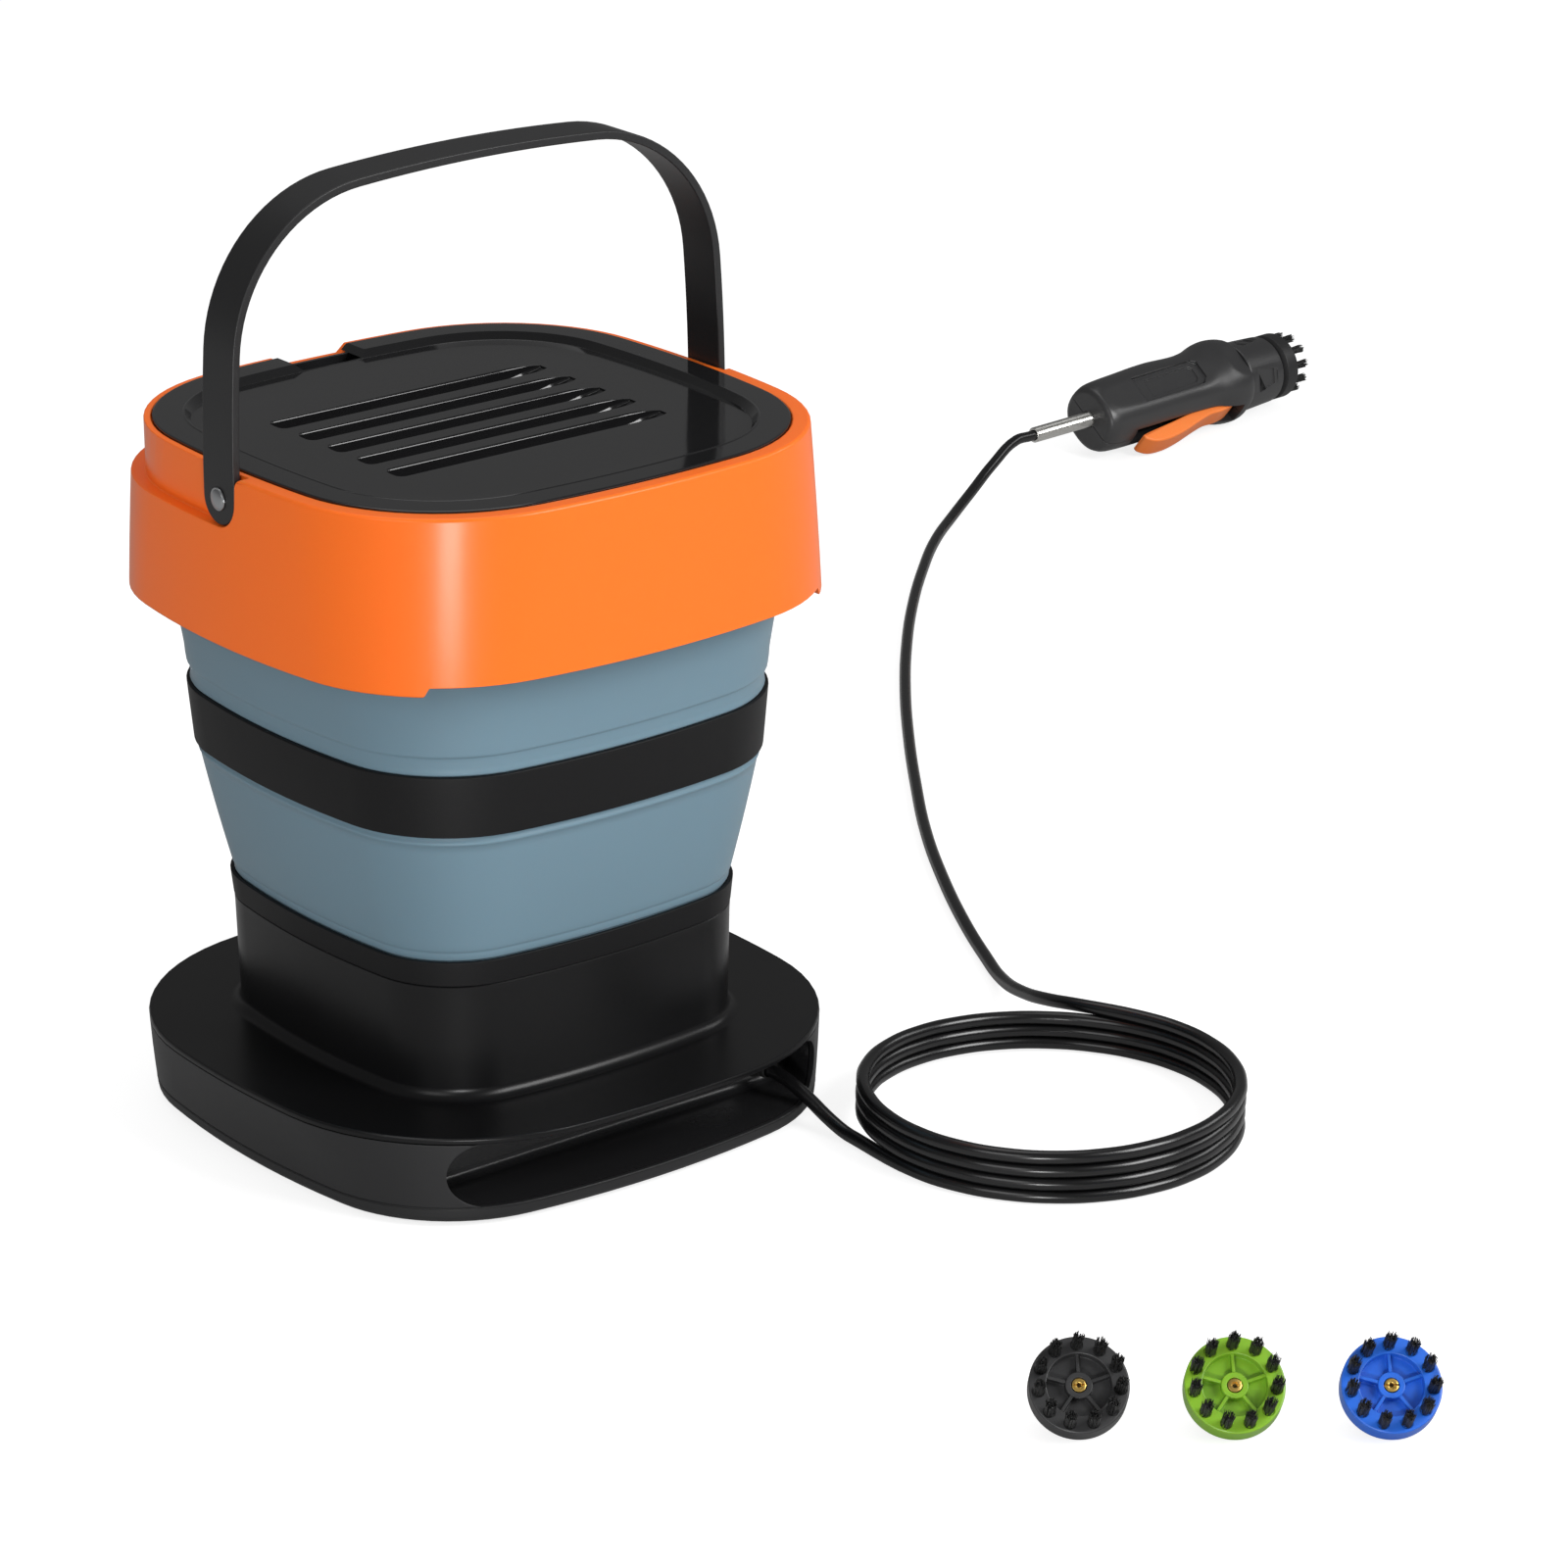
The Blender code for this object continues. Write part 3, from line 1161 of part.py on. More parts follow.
def make_power_switch():
    width, height = SWITCH_SIZE
    margin = BEZEL_MARGIN
    top = BEZEL_THICKNESS + CLEARANCE
    frame = wall_spot(SWITCH_X, BACK_HEIGHT)
    switch = block(
        "power_switch", (-width / 2, -height / 2, -SWITCH_DEPTH), (width / 2, height / 2, top / 2),
        BASE_BLACK,
    )
    bezel = block(
        "switch_bezel",
        (-width / 2 - margin, -height / 2 - margin, CLEARANCE),
        (width / 2 + margin, height / 2 + margin, top),
        cutter=True,
    )
    recess = block(
        "switch_recess",
        (-ROCKER_HALF_LENGTH - 0.0005, -ROCKER_HALF_WIDTH - 0.0008, -SWITCH_DEPTH / 2),
        (ROCKER_HALF_LENGTH + 0.0005, ROCKER_HALF_WIDTH + 0.0008, top * 2),
        cutter=True,
    )
    pin_holes = rod(
        "rocker_pin_hole", 0.0013, -ROCKER_HALF_LENGTH - 0.0013, ROCKER_HALF_LENGTH + 0.0013,
        (0.0, ROCKER_PIVOT), steps=8, axis="X", cutter=True,
    )
    for item in (switch, bezel, recess, pin_holes):
        item.matrix_world = frame
    join(switch, bezel)
    cut(switch, recess, pin_holes)
    deep = 0.0034
    rocker = extruded(
        "switch_rocker",
        [
            (-ROCKER_HALF_WIDTH, 0.0030),
            (0.0, 0.0018),
            (ROCKER_HALF_WIDTH, 0.0030),
            (ROCKER_HALF_WIDTH * 0.8, -deep),
            (-ROCKER_HALF_WIDTH * 0.8, -deep),
        ],
        "X",
        -ROCKER_HALF_LENGTH,
        ROCKER_HALF_LENGTH,
        COLLAR_ORANGE,
    )
    pins = rod(
        "rocker_pins", 0.0010, -ROCKER_HALF_LENGTH - 0.0010, ROCKER_HALF_LENGTH + 0.0010,
        (0.0, 0.0), steps=8, axis="X", cutter=True,
    )
    tilt = Matrix.Rotation(math.radians(ROCKER_TILT), 4, "X")
    pose = frame @ Matrix.Translation((0.0, 0.0, ROCKER_PIVOT)) @ tilt
    rocker.matrix_world = pose
    pins.matrix_world = pose
    join(rocker, pins)


# ---------------------------------------------------------------- bucket
def make_lower_ring():
    lofted(
        "lower_ring",
        [
            (tower_section(LOWER_RING_FOOT_HALF), LOWER_RING_BOTTOM),
            (tower_section(LOWER_RING_TOP_HALF), LOWER_RING_TOP),
            (tower_section(LOWER_RING_TOP_HALF - RING_WALL), LOWER_RING_TOP),
            (tower_section(LOWER_RING_FOOT_HALF - RING_WALL), LOWER_RING_BOTTOM),
        ],
        RING_BLACK,
        ring=True,
    )


def make_tank_floor():
    rim_top = LOWER_RING_BOTTOM + TANK_RIM_HEIGHT
    floor = lofted(
        "tank_floor",
        [
            (tower_section(FLANGE_HALF), LOWER_RING_BOTTOM),
            (tower_section(FLANGE_HALF), TANK_TOP),
            (tower_section(TANK_RIM_HALF), TANK_TOP),
            (tower_section(TANK_RIM_HALF), rim_top),
            (tower_section(TANK_RIM_HALF - RING_WALL), rim_top),
            (tower_section(TANK_RIM_HALF - RING_WALL - 0.001), TANK_TOP),
        ],
        RING_BLACK,
    )
    bottom = LOWER_RING_BOTTOM - SPOUT_LENGTH
    spout = rod("spout", SPOUT_RADIUS, bottom, TANK_TOP - TANK_PLATE / 2, SPOUT_SPOT, cutter=True)
    bore = rod("spout_bore", SPOUT_BORE, bottom / 2, rim_top, SPOUT_SPOT, cutter=True)
    join(floor, spout)
    cut(floor, bore)


def make_inlet_strainer():
    stem = SPOUT_BORE - CLEARANCE
    seat = TANK_TOP + CLEARANCE
    top = seat + STRAINER_HEIGHT
    wall = STRAINER_WALL
    strainer = turned(
        "inlet_strainer",
        [
            (0.0, top - wall),
            (STRAINER_RADIUS * 0.6 - wall, top - wall),
            (STRAINER_RADIUS - wall, top - STRAINER_RADIUS * 0.4),
            (STRAINER_RADIUS - wall, seat + wall),
            (stem - wall * 0.6, seat + wall),
            (stem - wall * 0.6, LOWER_RING_BOTTOM - wall),
            (stem, LOWER_RING_BOTTOM - wall),
            (stem, seat),
            (STRAINER_FLANGE, seat),
            (STRAINER_FLANGE, seat + wall / 2),
            (STRAINER_RADIUS, seat + wall),
            (STRAINER_RADIUS, top - STRAINER_RADIUS * 0.4),
            (STRAINER_RADIUS * 0.6, top),
            (0.0, top),
        ],
        SMALL_STEPS,
        PUMP_PLASTIC,
    )
    strainer.location = (*SPOUT_SPOT, 0.0)
    for i in range(3):
        slot = block(
            f"strainer_slot_{i + 1}",
            (-STRAINER_FLANGE, -STRAINER_SLOT / 2, seat + wall * 1.4),
            (STRAINER_FLANGE, STRAINER_SLOT / 2, top - STRAINER_RADIUS * 0.4),
            cutter=True,
        )
        slot.location = (*SPOUT_SPOT, 0.0)
        slot.rotation_euler = (0.0, 0.0, math.pi * i / 3 + math.pi / SMALL_STEPS)
        cut(strainer, slot)


def mid_ring_inner(height):
    share = (height - MID_RING_BOTTOM) / MID_RING_HEIGHT
    return mix(MID_RING_FOOT_HALF, MID_RING_TOP_HALF, share) - RING_WALL


def tower_wall(name, profile, wall, paint):
    """A ring with the outside given as (half width, height) from the bottom up."""
    outside = [(tower_section(half), height) for half, height in profile]
    inside = [(tower_section(half - wall), height) for half, height in reversed(profile)]
    return lofted(name, outside + inside, paint, ring=True)


def make_bellows_lower():
    foot = TANK_TOP + CLEARANCE
    tuck_half = mid_ring_inner(MID_RING_BOTTOM) - CLEARANCE
    tuck_top = MID_RING_BOTTOM + BELLOWS_TUCK
    shoulder = LOWER_RING_TOP + BELLOWS_SHOULDER
    crease = MID_RING_BOTTOM - BELLOWS_CREASE
    slim = LOWER_RING_TOP_HALF - RING_WALL - CLEARANCE
    tower_wall(
        "bellows_lower",
        [
            (FLANGE_HALF, foot),
            (min(slim, FLANGE_HALF + BELLOWS_STEP * 0.4), LOWER_RING_TOP),
            (BELLOWS_FOOT_HALF, LOWER_RING_TOP + CLEARANCE * 2),
            (BELLOWS_FOOT_HALF + BELLOWS_STEP, shoulder),
            (mix(BELLOWS_FOOT_HALF, LOWER_BELLOWS_TOP_HALF, 0.50), mix(shoulder, crease, 0.45)),
            (LOWER_BELLOWS_TOP_HALF, crease),
            (tuck_half, MID_RING_BOTTOM),
            (mid_ring_inner(tuck_top) - CLEARANCE, tuck_top),
        ],
        BELLOWS_WALL,
        BELLOWS_GREY,
    )


def make_mid_ring():
    chamfer = MID_RING_CHAMFER
    wall = RING_WALL
    lofted(
        "mid_ring",
        [
            (tower_section(MID_RING_FOOT_HALF - chamfer), MID_RING_BOTTOM),
            (tower_section(MID_RING_FOOT_HALF), MID_RING_BOTTOM + chamfer),
            (tower_section(MID_RING_TOP_HALF), MID_RING_TOP - chamfer),
            (tower_section(MID_RING_TOP_HALF - chamfer), MID_RING_TOP),
            (tower_section(MID_RING_TOP_HALF - wall), MID_RING_TOP),
            (tower_section(MID_RING_FOOT_HALF - wall), MID_RING_BOTTOM),
        ],
        RING_BLACK,
        ring=True,
    )


def make_bellows_upper():
    tuck_foot = MID_RING_TOP - BELLOWS_TUCK
    step = MID_RING_TOP + UPPER_STEP_HEIGHT
    tower_wall(
        "bellows_upper",
        [
            (mid_ring_inner(tuck_foot) - CLEARANCE, tuck_foot),
            (mid_ring_inner(MID_RING_TOP) - CLEARANCE, MID_RING_TOP),
            (UPPER_BELLOWS_FOOT_HALF, MID_RING_TOP + BELLOWS_STEP),
            (upper_bellows_half(step) - UPPER_STEP, step),
            (upper_bellows_half(step) + UPPER_STEP / 2, step + UPPER_STEP),
            (upper_bellows_half(mix(MID_RING_TOP, BELLOWS_TOP, 0.5)), mix(MID_RING_TOP, BELLOWS_TOP, 0.5)),
            (upper_bellows_half(CLAMP_BOTTOM), CLAMP_BOTTOM),
            (BELLOWS_TOP_HALF, BELLOWS_TOP),
        ],
        BELLOWS_WALL,
        BELLOWS_GREY,
    )


def upper_bellows_half(height):
    """The upper bellows widens faster towards its top."""
    share = (height - MID_RING_TOP) / (BELLOWS_TOP - MID_RING_TOP)
    return mix(UPPER_BELLOWS_FOOT_HALF, BELLOWS_TOP_HALF, share**1.25)


def make_clamp_ring():
    """The ring that presses the bellows' top edge into the collar."""
    room = BELLOWS_WALL + CLEARANCE
    inner_foot = BELLOWS_TOP + CLEARANCE
    tower_top = BELLOWS_TOP_HALF - room
    tower_foot = upper_bellows_half(CLAMP_BOTTOM) - room
    seat_half = INNER_FOOT_HALF - CLEARANCE
    wall = RING_WALL
    lofted(
        "clamp_ring",
        [
            (tower_section(tower_foot), CLAMP_BOTTOM),
            (tower_section(tower_top), BELLOWS_TOP),
            (rim_section(seat_half - 0.0006), inner_foot + wall / 2),
            (rim_section(seat_half), CLAMP_TOP),
            (rim_section(seat_half - wall), CLAMP_TOP),
            (rim_section(seat_half - wall - 0.0006), inner_foot),
            (tower_section(tower_foot - wall), CLAMP_BOTTOM),
        ],
        RING_BLACK,
        ring=True,
    )


# ---------------------------------------------------------------- collar, lid and bail
def pocket_outline():
    """Side view, as (y, z), of the space that the bail's legs turn and fold in."""
    radius = POCKET_RADIUS
    shoulder = POCKET_SHOULDER
    high = COLLAR_TOP + FAR / 10
    return (
        [(FAR, high), (FAR, LEDGE_HEIGHT)]
        + arc((0.0, PIVOT_HEIGHT), radius, 270, 180, 6)
        + arc((-radius - shoulder, COLLAR_TOP - shoulder), shoulder, 0, 90, 3)
        + [(-radius - shoulder, high)]
    )


def notch_outline():
    """Front view, as (x, z), of the finger notch at the back of the rim."""
    floor = COLLAR_TOP - NOTCH_DEPTH
    high = COLLAR_TOP + FAR / 10
    return [
        (-NOTCH_HALF - NOTCH_SLOPE, high),
        (-NOTCH_HALF - NOTCH_SLOPE, LID_TOP),
        (-NOTCH_HALF, floor),
        (NOTCH_HALF, floor),
        (NOTCH_HALF, high),
    ]


def make_collar():
    inner_bottom = BELLOWS_TOP + CLEARANCE
    collar = lofted(
        "collar",
        [
            (skirt_section(COLLAR_BOTTOM), COLLAR_BOTTOM),
            (skirt_section(mix(COLLAR_BOTTOM, COLLAR_TOP, 0.5)), mix(COLLAR_BOTTOM, COLLAR_TOP, 0.5)),
            (skirt_section(COLLAR_TOP - COLLAR_ROUNDING), COLLAR_TOP - COLLAR_ROUNDING),
            (skirt_section(COLLAR_TOP, COLLAR_ROUNDING), COLLAR_TOP),
            (rim_section(LID_HALF + LID_GAP), COLLAR_TOP),
            (rim_section(LID_HALF + LID_GAP), LID_SEAT),
            (rim_section(INNER_TOP_HALF), LID_SEAT),
            (rim_section(INNER_FOOT_HALF), COLLAR_BOTTOM),
        ],
        COLLAR_ORANGE,
        ring=True,
    )
    roof = LEDGE_HEIGHT - LEDGE_ROOF
    low = COLLAR_BOTTOM - COLLAR_WALL
    hollow = lofted(
        "skirt_hollow",
        [
            (skirt_section(low, COLLAR_WALL), low),
            (skirt_section(roof, COLLAR_WALL), roof),
            (rim_section(INNER_TOP_HALF + INNER_WALL), roof),
            (rim_section(INNER_FOOT_HALF + INNER_WALL), inner_bottom),
            (rim_section(INNER_FOOT_HALF - INNER_WALL), inner_bottom),
            (rim_section(INNER_FOOT_HALF - INNER_WALL), low),
        ],
        cutter=True,
        ring=True,
    )
    crown_top = COLLAR_TOP - COLLAR_WALL
    under_seat = LID_SEAT - INNER_WALL
    crown_wall = COLLAR_WALL * 1.1
    wide = LID_HALF + LID_GAP + INNER_WALL
    narrow = INNER_TOP_HALF + INNER_WALL * 1.1
    crown = lofted(
        "crown_hollow",
        [
            (skirt_section(roof - INNER_WALL, crown_wall), roof - INNER_WALL),
            (skirt_section(crown_top, crown_wall), crown_top),
            (rim_section(wide), crown_top),
            (rim_section(wide), under_seat),
            (rim_section(narrow), under_seat - INNER_WALL),
            (rim_section(narrow), roof - INNER_WALL),
        ],
        cutter=True,
        ring=True,
    )
    ahead = POCKET_RADIUS + POCKET_SHOULDER + COLLAR_WALL
    keep(crown, block("crown_front", (-FAR, -FAR, 0.0), (FAR, -ahead, FAR), cutter=True))
    cut(collar, hollow, crown)
    around = lofted(
        "around_rim",
        [
            (rim_section(COLLAR_FOOT_HALF * 1.3), LEDGE_HEIGHT - LEDGE_ROOF),
            (rim_section(COLLAR_FOOT_HALF * 1.3), COLLAR_TOP * 1.2),
            (rim_section(LEDGE_INNER_HALF), COLLAR_TOP * 1.2),
            (rim_section(LEDGE_INNER_HALF), LEDGE_HEIGHT - LEDGE_ROOF),
        ],
        cutter=True,
        ring=True,
    )
    pocket = extruded("bail_pocket", pocket_outline(), "X", -FAR, FAR, cutter=True)
    keep(pocket, around)
    cut(collar, pocket)
    step = SKIRT_STEP_HALF
    ramp = SKIRT_STEP_RAMP
    raised = COLLAR_BOTTOM + SKIRT_STEP_HEIGHT
    edge = extruded(
        "skirt_step",
        [(-step - ramp, low), (-step - ramp, COLLAR_BOTTOM), (-step, raised),
         (step, raised), (step + ramp, COLLAR_BOTTOM), (step + ramp, low)],
        "Y",
        -FAR,
        -COLLAR_FOOT_HALF * 0.6,
        cutter=True,
    )
    notch = extruded("rim_notch", notch_outline(), "Y", LID_HALF * 0.8, FAR, cutter=True)
    cut(collar, edge, notch)
    for name, side in (("left", -1), ("right", 1)):
        depth = LEDGE_INNER_HALF - RIVET_DEPTH - CLEARANCE
        ends = sorted((side * depth, side * BAIL_OUTER_HALF * 1.2))
        hole = rod(
            f"pivot_hole_{name}", RIVET_RADIUS + CLEARANCE, ends[0], ends[1], (0.0, PIVOT_HEIGHT),
            axis="X", cutter=True,
        )
        cut(collar, hole)


def make_lid():
    top = LID_TOP
    seat = LID_SEAT + CLEARANCE
    edge = (top - seat) * 0.25
    band = LID_HALF - LID_BAND
    plug = LID_PLUG_HALF
    lip = LID_PLUG_LIP
    lip_top = LID_PLUG_BOTTOM + 2 * lip
    inside = plug - LID_PLUG_WALL
    under = LID_PANEL_TOP - LID_PANEL
    lid = lofted(
        "lid",
        [
            (rim_section(band - LID_SLOPE), LID_PANEL_TOP),
            (rim_section(band), top),
            (rim_section(LID_HALF - edge), top),
            (rim_section(LID_HALF), top - edge),
            (rim_section(LID_HALF), seat),
            (rim_section(plug), seat),
            (rim_section(plug), lip_top),
            (rim_section(plug + lip), lip_top - lip / 2),
            (rim_section(plug + lip), LID_PLUG_BOTTOM),
            (rim_section(inside), LID_PLUG_BOTTOM),
            (rim_section(inside), seat),
            (rim_section(band - LID_SLOPE / 2), seat),
            (rim_section(band - 2 * LID_SLOPE), under),
        ],
        LID_GREY,
    )
    half = LOUVRE_LENGTH / 2
    deep = LOUVRE_DEPTH
    floor = LOUVRE_FLOOR
    for i in range(LOUVRE_COUNT):
        y = (i - (LOUVRE_COUNT - 1) / 2) * LOUVRE_PITCH
        back = y + LOUVRE_SLOT / 2
        front = y - LOUVRE_SLOT / 2
        trough = block(
            f"louvre_trough_{i + 1}",
            (-half - floor, front - floor, LID_PANEL_TOP - deep - floor),
            (half + floor, back + floor, LID_PANEL_TOP - LID_PANEL / 2),
            cutter=True,
        )
        scoop = extruded(
            f"louvre_{i + 1}",
            [
                (back + LOUVRE_LIP, LID_TOP),
                (back + LOUVRE_LIP, LID_PANEL_TOP),
                (back, LID_PANEL_TOP - LOUVRE_LIP_DEPTH),
                (back, LID_PANEL_TOP - deep),
                (front, LID_PANEL_TOP - deep),
                (front, LID_TOP),
            ],
            "X",
            -half,
            half,
            cutter=True,
        )
        join(lid, trough)
        cut(lid, scoop)
    notch = extruded("lid_notch", notch_outline(), "Y", band - LID_SLOPE, FAR, cutter=True)
    notch.location.z = LID_PANEL_TOP - (COLLAR_TOP - NOTCH_DEPTH)
    cut(lid, notch)


def make_lid_seal():
    low = LID_PLUG_BOTTOM + 2 * LID_PLUG_LIP + CLEARANCE
    inside = LID_PLUG_HALF + CLEARANCE
    lofted(
        "lid_seal",
        [
            (rim_section(inside + SEAL_WIDTH), low),
            (rim_section(inside + SEAL_WIDTH), low + SEAL_HEIGHT),
            (rim_section(inside), low + SEAL_HEIGHT),
            (rim_section(inside), low),
        ],
        RUBBER,
        ring=True,
    )


def bail_path():
    """Outside of the bail as (x, z): a round tip, a straight leg and the bowed arch, left to right."""
    quarter = outline(BAIL_OUTER_HALF, BAIL_CORNER, BAIL_SIDE)
    count = len(quarter)
    half = [quarter[(count // 2 - i) % count] for i in range(count // 2 + 1)]
    stretch = BAIL_RISE / BAIL_OUTER_HALF
    arch = sorted({(x, PIVOT_HEIGHT + max(0.0, z) * stretch) for x, z in half if z > 0.001})
    foot = PIVOT_HEIGHT - BAIL_WIDTH / 2
    left = [(-BAIL_OUTER_HALF, foot), (-BAIL_OUTER_HALF, PIVOT_HEIGHT)]
    right = [(BAIL_OUTER_HALF, PIVOT_HEIGHT), (BAIL_OUTER_HALF, foot)]
    return left + arch + right


def make_bail():
    """A flat strap along the path, thickened inwards, with round ends and a hole in each."""
    bm = bmesh.new()
    half = BAIL_WIDTH / 2
    spots = [bm.verts.new((x, -half, z)) for x, z in bail_path()]
    edges = [bm.edges.new(pair) for pair in zip(spots, spots[1:])]
    pulled = bmesh.ops.extrude_edge_only(bm, edges=edges)["geom"]
    moved = [v for v in pulled if isinstance(v, bmesh.types.BMVert)]
    bmesh.ops.translate(bm, vec=(0.0, BAIL_WIDTH, 0.0), verts=moved)
    bmesh.ops.recalc_face_normals(bm, faces=bm.faces)
    if sum(face.normal.z * face.calc_area() for face in bm.faces) < 0:
        bmesh.ops.reverse_faces(bm, faces=bm.faces)
    bmesh.ops.solidify(bm, geom=bm.faces, thickness=BAIL_THICKNESS)
    foot = PIVOT_HEIGHT - half
    ends = [
        edge
        for edge in bm.edges
        if all(abs(v.co.z - foot) < 0.0001 for v in edge.verts)
        and abs(edge.verts[0].co.y - edge.verts[1].co.y) < 0.0001
    ]
    bmesh.ops.bevel(
        bm, geom=ends, offset=half * 0.98, offset_type="OFFSET", segments=6, profile=0.5,
        affect="EDGES", material=-1,
    )
    bail = from_bmesh("bail", bm, BAIL_BLACK)
    for name, side in (("left", -1), ("right", 1)):
        ends = sorted((side * BAIL_INNER_HALF * 0.9, side * BAIL_OUTER_HALF * 1.1))
        hole = rod(
            f"bail_hole_{name}", RIVET_RADIUS + CLEARANCE, ends[0], ends[1], (0.0, PIVOT_HEIGHT),
            axis="X", cutter=True,
        )
        cut(bail, hole)


def make_rivets():
    """Pivot pins with a domed head outside the bail, turned about local Z, which points outwards."""
    face = BAIL_OUTER_HALF + CLEARANCE
    root = LEDGE_INNER_HALF - RIVET_DEPTH
    profile = [
        (0.0, face + RIVET_HEAD_HEIGHT),
        (RIVET_HEAD_RADIUS * 0.6, face + RIVET_HEAD_HEIGHT * 0.8),
        (RIVET_HEAD_RADIUS, face + RIVET_HEAD_HEIGHT * 0.15),
        (RIVET_HEAD_RADIUS, face),
        (RIVET_RADIUS, face),
        (RIVET_RADIUS, root),
        (0.0, root),
    ]
    for name, side in (("left", -1), ("right", 1)):
        rivet = turned(f"rivet_{name}", profile, SMALL_STEPS, RIVET_STEEL)
        rivet.location = (0.0, 0.0, PIVOT_HEIGHT)
        rivet.rotation_euler = (0.0, side * math.pi / 2, 0.0)


# ---------------------------------------------------------------- hose
def make_hose():
    tube("hose_lead", LEAD_ROUTE, HOSE_RADIUS, HOSE_BLACK, STEP_ALONG_HOSE)
    end = [tuple(GUN_FRAME @ Vector((x, 0.0, 0.0))) for x in RISER_END]
    tube("hose_riser", list(RISER_ROUTE) + end, HOSE_RADIUS, HOSE_BLACK, STEP_ALONG_HOSE)
    outer = COIL_RADIUS + HOSE_RADIUS
    inner = COIL_RADIUS - HOSE_RADIUS
    high = COIL_TURNS * 2 * HOSE_RADIUS
    soft = HOSE_RADIUS * 0.5
    coil = turned(
        "hose_coil",
        [
            (inner + soft, high), (outer - soft, high), (outer, high - soft), (outer, soft),
            (outer - soft, 0.0), (inner + soft, 0.0), (inner, soft), (inner, high - soft),
        ],
        ROUND_STEPS + 8,
        HOSE_BLACK,
        ring=True,
    )
    coil.location = (*COIL_CENTRE, 0.0)


# ---------------------------------------------------------------- gun, in its own frame: X along it, Z up
def gun_section(share, inset):
    """Half width, top and bottom of the gun's body at a share of its length, moved inwards."""
    for low, high in zip(GUN_SECTIONS, GUN_SECTIONS[1:]):
        if share <= high[0]:
            part = (share - low[0]) / (high[0] - low[0])
            return [mix(a, b, part) - inset for a, b in zip(low[1:], high[1:])]
    return [value - inset for value in GUN_SECTIONS[-1][1:]]


def gun_ring(x, inset):
    half, top, bottom = gun_section(x / GUN_LENGTH, inset)
    power = 2 / GUN_ROUNDNESS
    spots = []
    for i in range(GUN_POINTS):
        angle = math.tau * (i + 0.5) / GUN_POINTS
        across = math.copysign(abs(math.cos(angle)) ** power, math.cos(angle))
        up = math.copysign(abs(math.sin(angle)) ** power, math.sin(angle))
        spots.append((x, half * across, (top if up > 0 else bottom) * up))
    return spots


def gun_loft(name, places, inset, paint=None, cutter=False):
    return skinned(name, [gun_ring(x, inset) for x in places], paint, cutter)


def gun_cavities():
    """The rooms inside the body, with a bulkhead left between each and the next."""
    ends = [GUN_WALL]
    for middle in BULKHEADS:
        ends += [middle, middle + BULKHEAD_THICKNESS]
    ends.append(GUN_LENGTH - GUN_WALL)
    rooms = []
    for i, (low, high) in enumerate(zip(ends[::2], ends[1::2])):
        inner = [s[0] * GUN_LENGTH for s in GUN_SECTIONS if low < s[0] * GUN_LENGTH < high]
        rooms.append(gun_loft(f"gun_room_{i + 1}", [low] + inner + [high], GUN_WALL, cutter=True))
    return rooms


def trigger_slot():
    rear, front, roof = TRIGGER_SLOT
    half = TRIGGER_WIDTH / 2 + TRIGGER_SIDE_GAP
    return block("trigger_slot", (rear, -half, -FAR / 10), (front, half, roof), cutter=True)


def make_gun_shells():
    cutters = gun_cavities()
    tail_hole = SLEEVE_RADIUS + BORE_GAP
    cutters.append(rod("tail_hole", tail_hole, -GUN_WALL, 2 * GUN_WALL, (0, 0), axis="X", cutter=True))
    cutters.append(
        rod("valve_hole", VALVE_RADIUS + BORE_GAP, BULKHEADS[0] - GUN_WALL, BULKHEADS[1] + 2 * GUN_WALL,
            (0, 0), steps=ROUND_STEPS, axis="X", cutter=True)
    )
    cutters.append(
        rod("front_hole", FRONT_SPIGOT_RADIUS + BORE_GAP, GUN_LENGTH - 2 * GUN_WALL,
            GUN_LENGTH + GUN_WALL, (0, 0), steps=ROUND_STEPS, axis="X", cutter=True)
    )
    cutters.append(trigger_slot())
    pin_half = TRIGGER_PIN_HALF + CLEARANCE
    cutters.append(
        rod("pin_hole", TRIGGER_PIN_RADIUS + BORE_GAP, -pin_half, pin_half, TRIGGER_PIVOT,
            steps=8, axis="Y", cutter=True)
    )
    for item in cutters:
        item.matrix_world = GUN_FRAME @ item.matrix_world
    places = [share * GUN_LENGTH for share, *_ in GUN_SECTIONS]
    for name, side in (("left", 1), ("right", -1)):
        shell = gun_loft(f"gun_{name}_shell", places, 0.0, GUN_BLACK)
        seam = side * CLEARANCE / 2
        ends = sorted((seam, -side * FAR / 5))
        half = block(f"gun_half_{name}", (-FAR / 5, ends[0], -FAR / 5), (FAR, ends[1], FAR / 5), cutter=True)
        depth = sorted((side * (panel_half() - PANEL_DEPTH), side * FAR / 10))
        panel = extruded(f"gun_panel_{name}", PANEL_OUTLINE, "Y", *depth, cutter=True)
        for item in (shell, half, panel):
            item.matrix_world = GUN_FRAME
        cut(shell, half, panel, *cutters)


def panel_half():
    """Half width of the body in the middle of the side recess."""
    middle = (PANEL_OUTLINE[0][0] + PANEL_OUTLINE[2][0]) / 2
    return gun_section(middle / GUN_LENGTH, 0.0)[0]


def along_gun(name, profile, steps, paint, ring=False):
    """A piece turned about the gun's axis; the profile gives (radius, distance from the tail)."""
    item = turned(name, profile, steps, paint, ring=ring)
    item.matrix_world = GUN_FRAME @ ALONG_GUN
    return item


